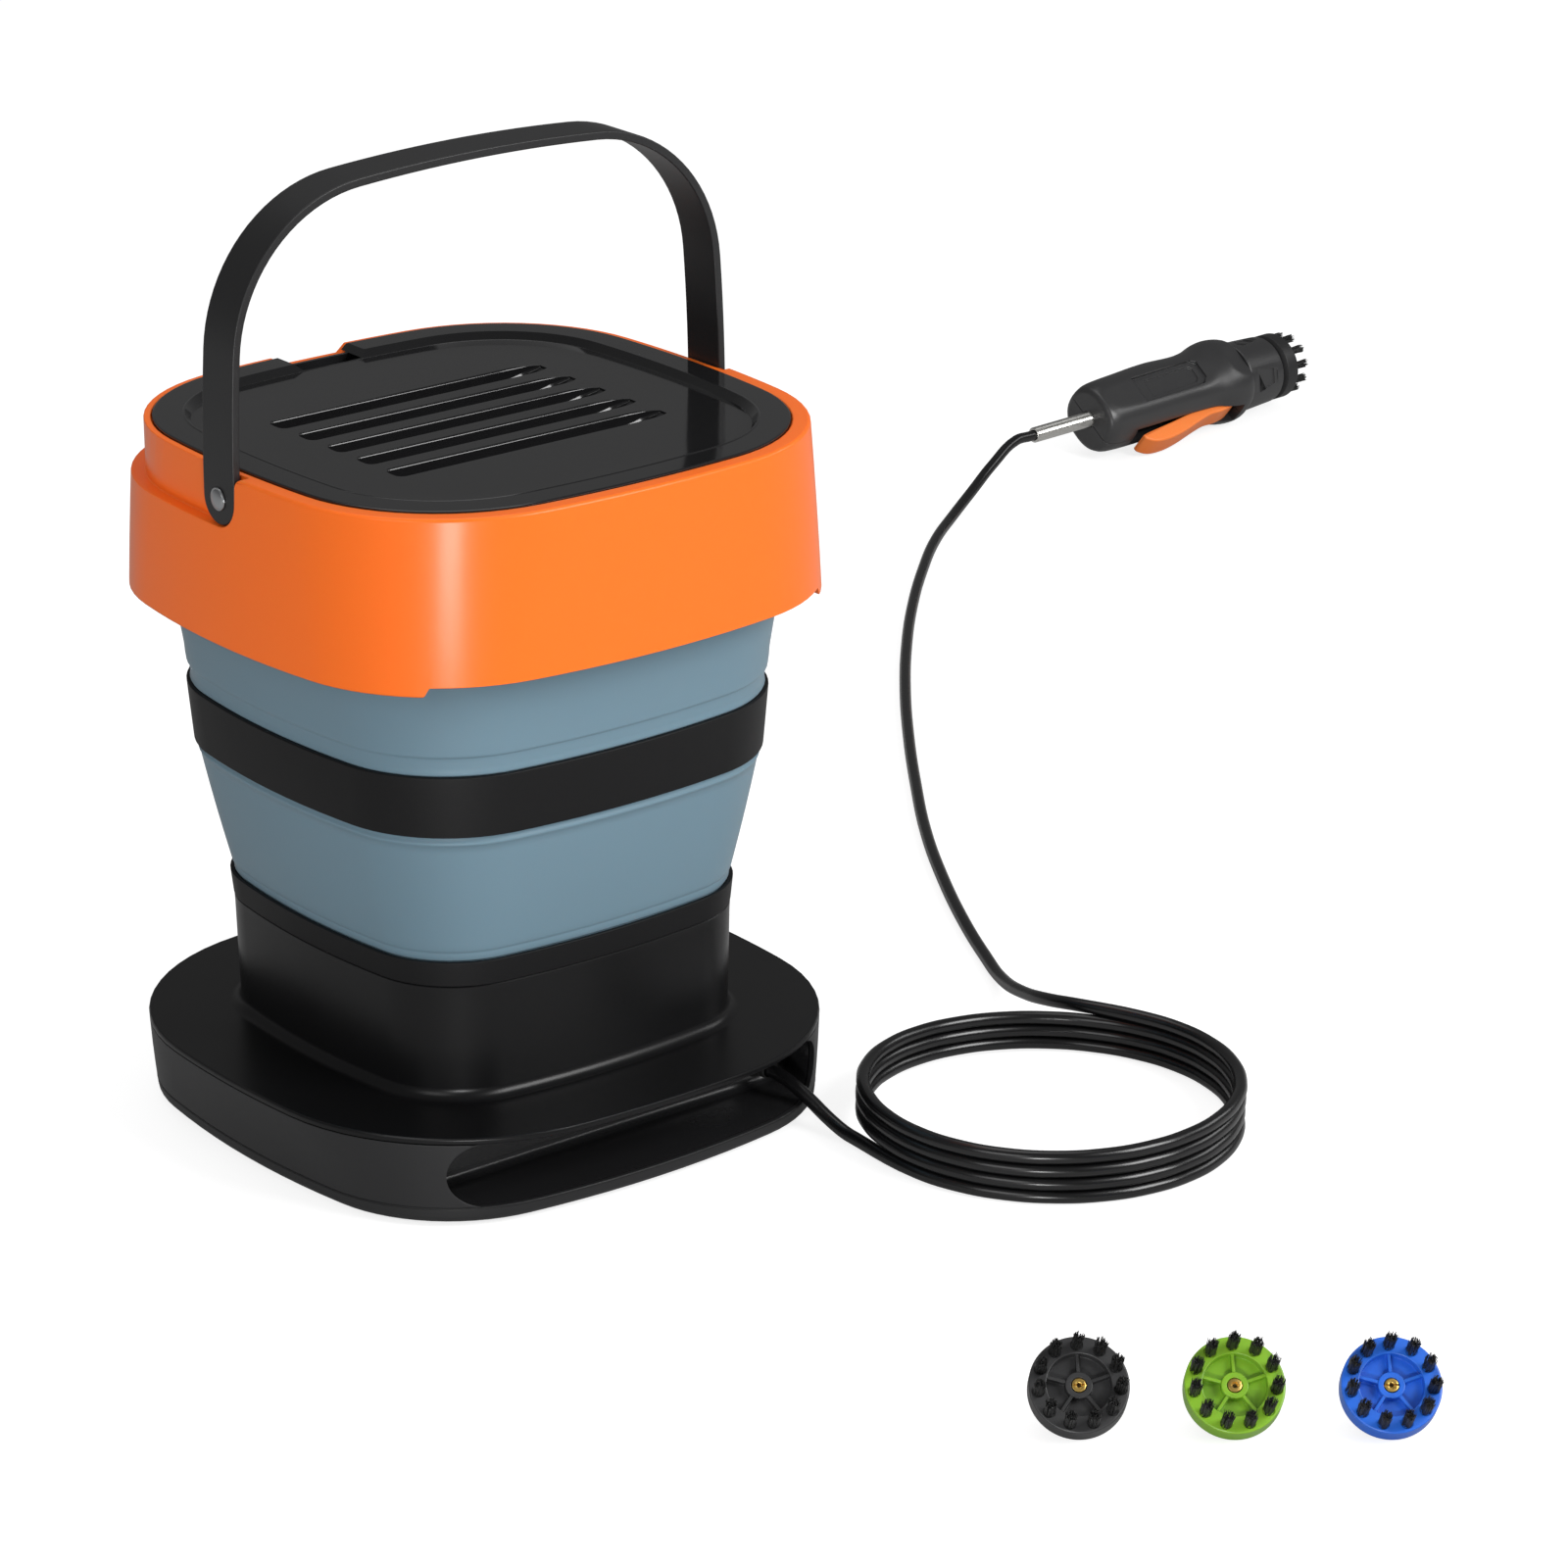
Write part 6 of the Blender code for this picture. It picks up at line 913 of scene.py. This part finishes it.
far_side = [v for v in ribbon if isinstance(v, bmesh.types.BMVert)]
bmesh.ops.translate(bm, vec=(0, 2 * STRAP_HALF, 0), verts=far_side)
bmesh.ops.recalc_face_normals(bm, faces=bm.faces)
if sum(face.normal.z * face.calc_area() for face in bm.faces) < 0:
    bmesh.ops.reverse_faces(bm, faces=bm.faces)
bmesh.ops.solidify(bm, geom=bm.faces, thickness=STRAP_THICKNESS)
tips = [
    edge for edge in bm.edges
    if all(abs(v.co.z - PIVOT + STRAP_HALF) < 0.0001 for v in edge.verts)
    and abs(edge.verts[0].co.y - edge.verts[1].co.y) < 0.0001
]
bmesh.ops.bevel(bm, geom=tips, offset=0.01195, offset_type="OFFSET", segments=16, profile=0.5,
                affect="EDGES", material=-1)
bail = solid("bail_fine", bm)
carve(bail, *pin_holes(0.12, 0.15))
soften(bail, 0.0007, 3, 45)
show(bail, "bail_black", "bail", "bail")

rivet_profile = mm(
    (0, 139), (2, 138.95), (3.5, 138.65), (4.3, 138.3), (4.5, 138.1), (4.8, 138.2), (5.2, 138.1),
    (5.35, 137.85), (5.35, 137.6), (2.5, 137.6), (2.5, 127.3), (0, 127.3),
)
for side, turn in (("left", math.pi), ("right", 0.0)):
    rivet = solid(f"rivet_{side}_fine", turned(rivet_profile, 40), on_pivot(turn))
    show(rivet, "rivet_steel", "collar", f"rivet_{side}")

# %% [markdown]
# ## Inlets of the base
# The hose leaves through a bushing in the bay, the mains lead would enter through a grommet, and a rocker
# switch sits beside it. The round ones are turned profiles. The switch is a block with a bezel that is
# hollowed for the rocker, and the rocker is pulled from its dished side view.

# %% Gland, grommet, switch and rocker
out_of_bay = at(*GLAND) @ Matrix.Rotation(math.pi / 2, 4, "X")
gland = solid("hose_gland_fine", turned(mm(
    (3.85, 12.3), (4.3, 12.3), (4.6, 12), (4.8, 9), (4.5, 8.8), (4.5, 8.2), (5, 8), (5.1, 6), (4.8, 5.8),
    (4.8, 5.2), (5.3, 5), (5.5, 2.3), (6.8, 2.3), (7, 2), (7, 0.3), (5, 0.3), (5, -2.3), (7, -2.3),
    (7, -5.3), (3.85, -5.3),
), 40, ring=True), out_of_bay)
show(gland, "rubber", "base", "hose_gland")

grommet = solid("power_inlet_fine", turned(mm(
    (4.2, 3), (4.6, 3.3), (6.4, 3.3), (7, 3), (9.4, 1.7), (9.5, 1), (9.5, 0.3), (6.6, 0.3), (6.6, -3.4),
    (7.6, -4.2), (6.6, -6.8), (4.2, -6.8),
), 48, ring=True), wall_spot(-1))
show(grommet, "rubber", "base", "power_inlet")

housing = solid("power_switch_fine", box((-0.0095, -0.0070, -0.0140), (0.0095, 0.0070, 0.0009)), wall_spot(1))
weld(housing, placed(box((-0.0110, -0.0085, 0.0003), (0.0110, 0.0085, 0.0018)), wall_spot(1)))
recess = box((-0.0080, -0.0060, -0.0070), (0.0080, 0.0060, 0.0040))
rocker_hole = rod(0.0013, -0.0088, 0.0088, at(0, 0, -0.0010) @ ALONG_X, 16)
carve(housing, placed(recess, wall_spot(1)), placed(rocker_hole, wall_spot(1)))
soften(housing, 0.0004, 2)
show(housing, "base_black", "base", "power_switch")

rocker_view = mm(
    (-5.2, 3), (-3.5, 2.45), (-1.7, 1.95), (0, 1.8), (1.7, 1.95), (3.5, 2.45), (5.2, 3), (4.2, -3.4),
    (-4.2, -3.4),
)
tilted = wall_spot(1) @ at(0, 0, -0.0010) @ Matrix.Rotation(math.radians(8), 4, "X")
rocker = solid("switch_rocker_fine", prism(rocker_view, "X", -0.0075, 0.0075), tilted)
weld(rocker, rod(0.0010, -0.0085, 0.0085, tilted @ ALONG_X, 16))
soften(rocker, 0.0003, 2, 50)
show(rocker, "collar_orange", "rocker", "switch_rocker")

# %% [markdown]
# ## Hose
# The line worked out above becomes one bevelled curve, which moves with the base.

# %% Hose
curve = bpy.data.curves.new("hose_fine", "CURVE")
curve.dimensions = "3D"
curve.resolution_u = 5
curve.bevel_depth = HOSE_RADIUS
curve.bevel_resolution = 5
curve.use_fill_caps = True
spline = curve.splines.new("BEZIER")
spline.bezier_points.add(len(route) - 1)
for point, spot in zip(spline.bezier_points, route):
    point.co = spot
    point.handle_left_type = "AUTO"
    point.handle_right_type = "AUTO"
hose = linked("hose_fine", curve)
curve.materials.append(LOOKS["hose_black"])
bpy.context.view_layer.update()
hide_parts("hose_lead", "hose_coil", "hose_riser")
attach(hose, "base")

# %% [markdown]
# ## Steam gun
# The gun's body is two shells that meet on a vertical seam. Its section is a squarish oval that swells
# into a collar near the front. The body is lofted through many sections that are blended smoothly between
# a few measured ones. Each section is kept within the flat facet on the gun's side, with a soft edge, so
# the facet needs no cut.

# %% Gun sections
GUN_LENGTH = 0.1280
GUN_SECTIONS = (
    (0.000, 0.0150, 0.0160, 0.0170), (0.006, 0.0172, 0.0181, 0.0188), (0.020, 0.0190, 0.0200, 0.0205),
    (0.060, 0.0205, 0.0215, 0.0220), (0.235, 0.0210, 0.0230, 0.0225), (0.470, 0.0210, 0.0245, 0.0220),
    (0.665, 0.0208, 0.0235, 0.0220), (0.765, 0.0220, 0.0245, 0.0225), (0.845, 0.0245, 0.0270, 0.0250),
    (0.905, 0.0255, 0.0275, 0.0262), (0.970, 0.0250, 0.0260, 0.0262), (1.000, 0.0235, 0.0240, 0.0245),
)
FACET = mm(
    (0, 19.4), (86, 19), (93, 19.8), (100, 22.2), (106, 26.2), (107, 26.8), (113, 24.9), (120, 23.2),
    (130, 21.2),
)
SOFT_EDGE = 0.0007


def gun_section(share):
    """Half width, top and bottom at a share of the length, with slopes carried through the stations."""
    index = max(i for i, row in enumerate(GUN_SECTIONS[:-1]) if share >= row[0] - 1e-9)
    low, high = GUN_SECTIONS[index], GUN_SECTIONS[index + 1]
    before, after = GUN_SECTIONS[max(0, index - 1)], GUN_SECTIONS[min(len(GUN_SECTIONS) - 1, index + 2)]
    span = high[0] - low[0]
    part = (share - low[0]) / span
    sizes = []
    for k in (1, 2, 3):
        m0 = (high[k] - before[k]) / (high[0] - before[0]) * span
        m1 = (after[k] - low[k]) / (after[0] - low[0]) * span
        sizes.append(
            (2 * part**3 - 3 * part**2 + 1) * low[k] + (part**3 - 2 * part**2 + part) * m0
            + (3 * part**2 - 2 * part**3) * high[k] + (part**3 - part**2) * m1
        )
    return sizes


def shaved(width, x):
    """The half width kept within the facet on the gun's side, with a soft edge."""
    for (start, low), (end, high) in zip(FACET, FACET[1:]):
        if x <= end:
            break
    limit = mix(low, high, (x - start) / (end - start))
    near = max(0.0, 1 - abs(width - limit) / SOFT_EDGE)
    return min(width, limit) - near * near * SOFT_EDGE / 4


def gun_loop(x, inset=0.0, count=72):
    half, top, bottom = [size - inset for size in gun_section(x / GUN_LENGTH)]
    spots = []
    for i in range(count):
        angle = math.tau * (i + 0.5) / count
        across = math.copysign(abs(math.cos(angle)) ** (2 / 2.3), math.cos(angle))
        up = math.copysign(abs(math.sin(angle)) ** (2 / 2.3), math.sin(angle))
        width = math.copysign(shaved(abs(half * across), x), across)
        spots.append(Vector((x, width, (top if up > 0 else bottom) * up)))
    return spots


def gun_loft(low, high, inset=0.0, count=72):
    steps = max(2, int((high - low) / 0.0032))
    return skin([gun_loop(mix(low, high, i / steps), inset, count) for i in range(steps + 1)])


def in_gun(bm):
    return placed(bm, GUN_FRAME)


print("gun half width, top and bottom in the middle", [round(size, 4) for size in gun_section(0.5)])

# %% [markdown]
# Each shell is cut from the lofted body. The first cutter takes the other half away, and the others make
# the two nested recesses, which stay open towards the tail, the cavity between the bulkheads, the bores,
# the trigger's slot and the hole for its pin.

# %% Gun shells
TAIL = 0.0028
TRUNK_STEPS = 46
SHELL_WALL = 0.0062
tail = [gun_loop(x) for x in (0.0, 0.0004, 0.0008, 0.0014, 0.0020, TAIL)]
trunk = [gun_loop(TAIL + (GUN_LENGTH - TAIL) * i / TRUNK_STEPS) for i in range(1, TRUNK_STEPS + 1)]
outer_recess = mm((34, -9.2), (88, -7.6), (92.5, -4), (92.5, 7.2), (88.5, 10.2), (34, 9.6))
inner_recess = mm((44, -6.2), (84, -4.8), (87.2, -2.4), (87.2, 5), (84.6, 7.2), (44, 6.6))
for side, sign in (("left", 1), ("right", -1)):
    shell = solid(f"gun_{side}_shell_fine", in_gun(skin(tail + trunk)))
    seam, past = sorted((sign * 0.00015, -sign * 0.08))
    cutters = [box((-0.08, seam, -0.08), (0.4, past, 0.08))]
    for view, depth in ((outer_recess, 0.0179), (inner_recess, 0.0169)):
        near, far = sorted((sign * depth, sign * 0.04))
        hinge = at(0.0860, sign * depth)
        slant = hinge @ Matrix.Rotation(sign * math.radians(1.3), 4, "Z") @ hinge.inverted()
        cutters.append(placed(prism(view, "Y", near, far), slant))
    for low, high in ((0.0024, 0.0600), (0.0620, 0.1040), (0.1060, 0.1256)):
        cutters.append(gun_loft(low, high, SHELL_WALL, 40))
    cutters += [
        rod(0.0052, -0.003, 0.005, ALONG_X), rod(0.0093, 0.0576, 0.1088, ALONG_X),
        rod(0.0178, 0.1232, 0.1304, ALONG_X, 64), box((0.0235, -0.0081, -0.04), (0.1190, 0.0081, -0.0095)),
        rod(0.0018, -0.0165, 0.0165, at(0.1100, 0, -0.0170) @ ALONG_Y, 16),
    ]
    carve(shell, *[in_gun(bm) for bm in cutters])
    soften(shell, 0.00035, 2, 35)
    show(shell, "gun_black", "base", f"gun_{side}_shell")

# %% [markdown]
# A close-wound steel wire keeps the hose from kinking where it enters the gun. Spinning the wire's round
# section with a small advance in each step makes the helix, and a thin liner closes it from inside.

# %% Wound sleeve
TURNS = 51
PITCH = 0.00096
WIRE_RADIUS = 0.00046
COIL_MIDDLE = 0.00443
WIRE_SIDES = 8
STEPS_A_TURN = 18
bm = bmesh.new()
ring = []
for i in range(WIRE_SIDES):
    a = math.tau * i / WIRE_SIDES
    ring.append(bm.verts.new((COIL_MIDDLE + WIRE_RADIUS * math.cos(a), 0.0, WIRE_RADIUS * math.sin(a))))
loop = [bm.edges.new(pair) for pair in zip(ring, ring[1:] + ring[:1])]
bmesh.ops.spin(bm, geom=ring + loop, cent=(0, 0, 0), axis=(0, 0, 1), dvec=(0, 0, PITCH / STEPS_A_TURN),
               angle=math.tau * TURNS, steps=TURNS * STEPS_A_TURN)
bmesh.ops.holes_fill(bm, edges=[e for e in bm.edges if e.is_boundary], sides=WIRE_SIDES)
bmesh.ops.recalc_face_normals(bm, faces=bm.faces)
bmesh.ops.translate(bm, vec=(0, 0, -0.0485), verts=bm.verts)
wire = solid("spring_sleeve_fine", bm, GUN_FRAME @ ALONG_X)
liner_profile = mm(
    (3.55, 4.7), (6.6, 4.7), (6.8, 4.5), (6.8, 2.9), (6.6, 2.7), (4.3, 2.7), (4.3, -48.8), (4.1, -49),
    (3.55, -49),
)
liner = solid("sleeve_liner", turned(liner_profile, 40, ring=True), GUN_FRAME @ ALONG_X)
show(wire, "sleeve_steel", "base", "spring_sleeve")
show(liner, "sleeve_steel", "base", "spring_sleeve")

# %% [markdown]
# The front sleeve locks a brush head's neck. Four pairs of nested shallow fields round it give grip.

# %% Front sleeve
sleeve = solid("gun_front_sleeve_fine", turned(mm(
    (6.2, 151.4), (8.6, 151.4), (8.6, 157.6), (9.5, 159.9), (20.4, 159.9), (21.1, 159.7), (21.5, 159.3),
    (21.6, 158.8), (23.2, 129.4), (23, 128.7), (22.4, 128.3), (17.5, 128.3), (17.5, 118.3), (6.2, 118.3),
), 96, ring=True), ALONG_X)
FIELDS = mm((134, 153.5, 11.2, 7.2, 21.3), (136.8, 150.8, 7.8, 4.8, 20.4))
fields = []
for i in range(4):
    spin = Matrix.Rotation(math.tau * (i + 0.5) / 4, 4, "X")
    for low, high, wide, slim, floor in FIELDS:
        field = prism([(low, -wide), (high, -slim), (high, slim), (low, wide)], "Z", floor, 0.04)
        fields.append(placed(field, spin))
carve(sleeve, *fields)
sleeve.data.transform(GUN_FRAME)
soften(sleeve, 0.0003, 2, 30)
show(sleeve, "gun_black", "base", "gun_front_sleeve")

# %% [markdown]
# ## Trigger
# The lever is a thick moulding with a hooked rear end. Its side view is a closed smooth line through a few
# points. The line is lofted across the gun, and drawn in near both sides so that the edges are round.

# %% Trigger
LEVER = mm(
    (114, -12.5), (116, -18), (112, -22.5), (100, -24.6), (90, -24.6), (78, -26.8), (60, -30.8),
    (46, -32.7), (34, -32.2), (27.5, -29), (26.2, -26.2), (30, -24.4), (60, -21.2), (90, -16.8),
    (100, -13.8), (108, -11.5),
)
LEVER_HALF = 0.0075
ROUND_OFF = 0.0013


def smooth_loop(points, steps):
    """A closed line through the points that turns gently at each."""
    spots = []
    for i in range(len(points)):
        a, b, c, d = [Vector(points[(i + k) % len(points)]) for k in (-1, 0, 1, 2)]
        for step in range(steps):
            t = step / steps
            square, cube = 2 * a - 5 * b + 4 * c - d, 3 * b - a - 3 * c + d
            spots.append(b + ((c - a) * t + square * t**2 + cube * t**3) / 2)
    return [(spot.x, spot.y) for spot in spots]


def drawn_in(points, inset):
    """The line moved inwards by a distance, at right angles to itself."""
    count = len(points)
    spots = []
    for i, (x, z) in enumerate(points):
        before, after = Vector(points[i - 1]), Vector(points[(i + 1) % count])
        along = (after - before).normalized()
        spots.append((x + LEVER_TURN * along.y * inset, z - LEVER_TURN * along.x * inset))
    return spots


lever_line = smooth_loop(LEVER, 5)
area = sum(a[0] * b[1] - b[0] * a[1] for a, b in zip(lever_line, lever_line[1:] + lever_line[:1]))
LEVER_TURN = -1 if area > 0 else 1
round_off = [(ROUND_OFF * (1 - math.sin(a)), -LEVER_HALF + ROUND_OFF * (1 - math.cos(a))) for a in quarter]
stations = round_off + [(inset, -y) for inset, y in reversed(round_off)]
lever = solid("trigger_fine", in_gun(skin(
    [[Vector((x, y, z)) for x, z in drawn_in(lever_line, inset)] for inset, y in stations]
)))
carve(lever, rod(0.0018, -0.02, 0.02, GUN_FRAME @ at(0.1100, 0, -0.0170) @ ALONG_Y, 24),
      rod(0.0021, -0.0226, 0.0, GUN_FRAME @ at(0.0840, 0, 0), 24))
show(lever, "trigger_orange", "trigger", "trigger", sharp=55)

# %% [markdown]
# ## Brush heads
# The fitted head and the three spares share one body, in two near blacks, a green and a blue. It is
# turned, five ribs stand in its ring channel and a brass nozzle sits in the hub. The tufts are bundles of
# single bristles, each a slim tapered four-sided thread with its own lean, because a solid tuft would look
# like a peg.

# %% Head and bristles
FACE = 0.0220
TUFTS = 11
TUFT_CIRCLE = 0.0174


def tuft_turn(i):
    return Matrix.Rotation(math.tau * (i + 0.5) / TUFTS, 4, "Z")


def mesh_of(obj):
    """The mesh alone: the object that it was made on is removed."""
    mesh = obj.data
    bpy.data.objects.remove(obj, do_unlink=True)
    return mesh


def head_body():
    body = turned(mm(
        (2, 0), (2, 14.5), (3.3, 14.5), (3.3, 21.2), (3.6, 21.4), (5.5, 21.4), (5.8, 21.1), (5.8, 17.5),
        (13.6, 17.5), (13.6, 21.7), (13.9, 22), (20.4, 22), (20.9, 21.8), (21.15, 21.5), (21.2, 21.1),
        (21.2, 13.2), (20.9, 12.7), (8.6, 6.2), (8.3, 5.8), (8.3, 0.4), (7.9, 0),
    ), 88, ring=True)
    made = solid("head_body", body)
    ribs = []
    for i in range(5):
        rib = box((0.0053, -0.0007, 0.0170), (0.0141, 0.0007, 0.0208))
        ribs.append(placed(rib, Matrix.Rotation(math.tau * (i + 0.5) / 5, 4, "Z")))
    weld(made, *ribs)
    spots = [tuft_turn(i) @ at(TUFT_CIRCLE, 0) for i in range(TUFTS)]
    sockets = [rod(0.0026, FACE - 0.0006, FACE + 0.01, spot, 20) for spot in spots]
    carve(made, box((0.0058, -0.0015, -0.001), (0.0125, 0.0015, 0.0036)), *sockets)
    return mesh_of(made)


head_mesh = head_body()
print("head faces", len(head_mesh.polygons))

# %% [markdown]
# A head's tufts are drawn with one seed each, so that they differ from head to head and stay the same from
# run to run.

# %% Bristles and nozzles
BRISTLES = 110          # in a tuft
TUFT_RADIUS = 0.0023
SPREAD = 0.0029         # a tip stays within this of its tuft's middle
BRISTLE_LENGTH = 0.0119


def bristles(seed):
    dice = random.Random(seed)
    bm = bmesh.new()
    for i in range(TUFTS):
        middle = tuft_turn(i) @ Vector((TUFT_CIRCLE, 0, 0))
        for _ in range(BRISTLES):
            reach = TUFT_RADIUS * math.sqrt(dice.random())
            around = dice.uniform(0, math.tau)
            foot = Vector((reach * math.cos(around), reach * math.sin(around), 0))
            length = BRISTLE_LENGTH - dice.random() ** 2 * 0.0022
            lean = foot * dice.uniform(0.00, 0.22)
            lean += Vector((dice.gauss(0, 0.00018), dice.gauss(0, 0.00018), 0))
            tip = foot + lean
            if tip.length > SPREAD:
                tip *= SPREAD / tip.length
            direction = (tip - foot + Vector((0, 0, length))).normalized()
            root = Matrix.Translation(middle + foot + Vector((0, 0, FACE - 0.0005)))
            place = root @ direction.to_track_quat("Z", "Y").to_matrix().to_4x4()
            bmesh.ops.create_cone(
                bm, cap_ends=True, segments=4, radius1=0.00020, radius2=0.00016, depth=length,
                matrix=place @ at(0, 0, length / 2),
            )
    return bm


def nozzle(mouth):
    brass = turned(mm(
        (0.9, 14.8), (0.9, 21), (1.1, 21.3), (1.4, 21.4), (2.6, 21.4), (2.9, 21.3), (3, 21), (3, 14.8),
    ), 40, ring=True)
    made = solid("nozzle_blank", brass)
    if mouth == "hex":
        carve(made, rod(0.0017, 0.0202, 0.0230, steps=6))
    else:
        reach = 0.0060 if mouth == "wide_slot" else 0.00225
        carve(made, box((-0.0005, -reach, 0.0202), (0.0005, reach, 0.0230)))
    return mesh_of(made)


def add_head(name, place, mouth, seed):
    body = name + "_head"
    paint_slot = "head_black" if name == "fitted" else f"head_{name}"
    made = linked(f"brush_head_{name}_fine", head_mesh.copy())
    made.data.transform(place)
    soften(made, 0.0002, 2, 40)
    show(made, f"head_{name}", body, f"brush_head_{name}", slot=paint_slot)
    tufts = solid(f"bristles_{name}", bristles(seed), place)
    show(tufts, "bristle_black", body, f"brush_head_{name}", slot=paint_slot)
    tip = linked(f"nozzle_{name}_fine", nozzle(mouth))
    tip.data.transform(place)
    show(tip, "brass", body, f"nozzle_{name}")


add_head("fitted", GUN_FRAME @ at(0.1519, 0, 0) @ ALONG_X, "slot", 5)
LEAN = math.atan2(0.0129, 0.0130)
STANDING = Matrix.Rotation(math.radians(234.7), 4, "Z") @ Matrix.Rotation(math.pi / 2 - LEAN, 4, "Y")
STANDS = (
    ("black", -0.0064, -0.4300, "slot"),
    ("green", 0.0440, -0.4707, "hex"),
    ("blue", 0.0948, -0.5115, "wide_slot"),
)
for seed, (name, x, y, mouth) in enumerate(STANDS, start=11):
    add_head(name, at(x, y, 0.0083 * math.cos(LEAN) + 0.0001) @ STANDING, mouth, seed)

# %% [markdown]
# ## Works inside
# What sits inside the base and the gun is hardly seen, and its plain solids already have the right form,
# so they stay and only get their finishes.

# %% Works
WORKS = {
    "boiler": "aluminium", "heater_plate": "aluminium", "pump": "pump_plastic",
    "control_board": "board_green", "feed_tube": "tube_silicone", "pressure_tube": "tube_silicone",
    "steam_tube": "tube_silicone",
    "inlet_strainer": "ring_black", "lid_seal": "rubber", "valve_body": "brass", "valve_stem": "brass",
    "trigger_pin": "screw_steel", **{f"cover_screw_{number}": "screw_steel" for number in range(1, 5)},
}
for name, look in WORKS.items():
    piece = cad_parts[name]
    piece.data.materials.clear()
    piece.data.materials.append(LOOKS[look])
print("works with their own finish:", len(WORKS))

# %% [markdown]
# ## Light
# A pale floor and a white surround, as in a catalogue. Both show white to the camera only. They are weaker
# for everything else, and weakest for glossy surfaces, so that black plastic stays black and the lamps do
# the shaping. The key lamp stands to the front right, so the face on that side is the light one.

# %% Floor, surround and lamps
def rays(tree, **weights):
    """Adds up Light Path outputs with their weights."""
    path = add_node(tree, "LightPath", {})
    total = 0.0
    for label, weight in weights.items():
        total = sums(tree, "MULTIPLY_ADD", path.outputs[label.replace("_", " ")], weight, total)
    return total


floor_paint = bpy.data.materials.new("floor_white")
floor_paint.use_nodes = True
tree = floor_paint.node_tree
shader = tree.nodes["Principled BSDF"]
shader.inputs["Base Color"].default_value = (0.82, 0.82, 0.82, 1.0)
shader.inputs["Roughness"].default_value = 0.9
shader.inputs["Specular IOR Level"].default_value = 0.1
brightness = rays(tree, Is_Camera_Ray=1.6, Is_Glossy_Ray=0.2, Is_Transmission_Ray=0.8)
glow = add_node(tree, "Emission", {"Strength": brightness})
both = add_node(tree, "MixShader", {0: 0.5, 1: shader.outputs[0], 2: glow.outputs[0]})
tree.links.new(both.outputs[0], tree.nodes["Material Output"].inputs["Surface"])
bm = bmesh.new()
bmesh.ops.create_grid(bm, x_segments=1, y_segments=1, size=40.0)
floor = solid("floor", bm)
floor.data.materials.append(floor_paint)

world = bpy.data.worlds.new("surround")
bpy.context.scene.world = world
world.use_nodes = True
tree = world.node_tree
backdrop = tree.nodes["Background"]
backdrop.inputs["Color"].default_value = (1.0, 1.0, 1.0, 1.0)
strength = rays(tree, Is_Camera_Ray=1.0, Is_Glossy_Ray=0.15, Is_Transmission_Ray=0.8, Is_Diffuse_Ray=0.40)
tree.links.new(strength, backdrop.inputs["Strength"])

AIM = Vector((0.05, -0.05, 0.18))
WHITE_FACE = 9.87       # watts per square metre of distance that make a white face fully white


def lamp(name, direction, distance, size, share):
    """A soft panel that gives a white face towards it this share of full white."""
    data = bpy.data.lights.new(name, "AREA")
    data.shape = "RECTANGLE"
    data.size, data.size_y = size
    data.energy = WHITE_FACE * distance**2 * share
    made = linked(name, data)
    direction = Vector(direction).normalized()
    made.location = AIM + direction * distance
    made.rotation_euler = direction.to_track_quat("Z", "Y").to_euler()
    return made


key = lamp("key", (0.45, -1.0, 0.70), 2.4, (1.1, 1.1), 0.67)
fill = lamp("fill", (-1.0, -0.45, 0.50), 2.6, (1.2, 1.2), 0.16)
above = lamp("above", (0.1, 0.3, 1.0), 2.2, (1.6, 1.6), 0.20)
strip = lamp("strip", (-0.60, -0.80, -0.06), 1.6, (0.30, 0.16), 0.33)
side = lamp("side", (2.11, -0.74, 1.06), 2.47, (1.3, 0.6), 0.13)
bpy.context.scene.view_settings.view_transform = "Standard"
print("floor and lamps:", [piece.name for piece in (floor, key, fill, above, strip, side)])
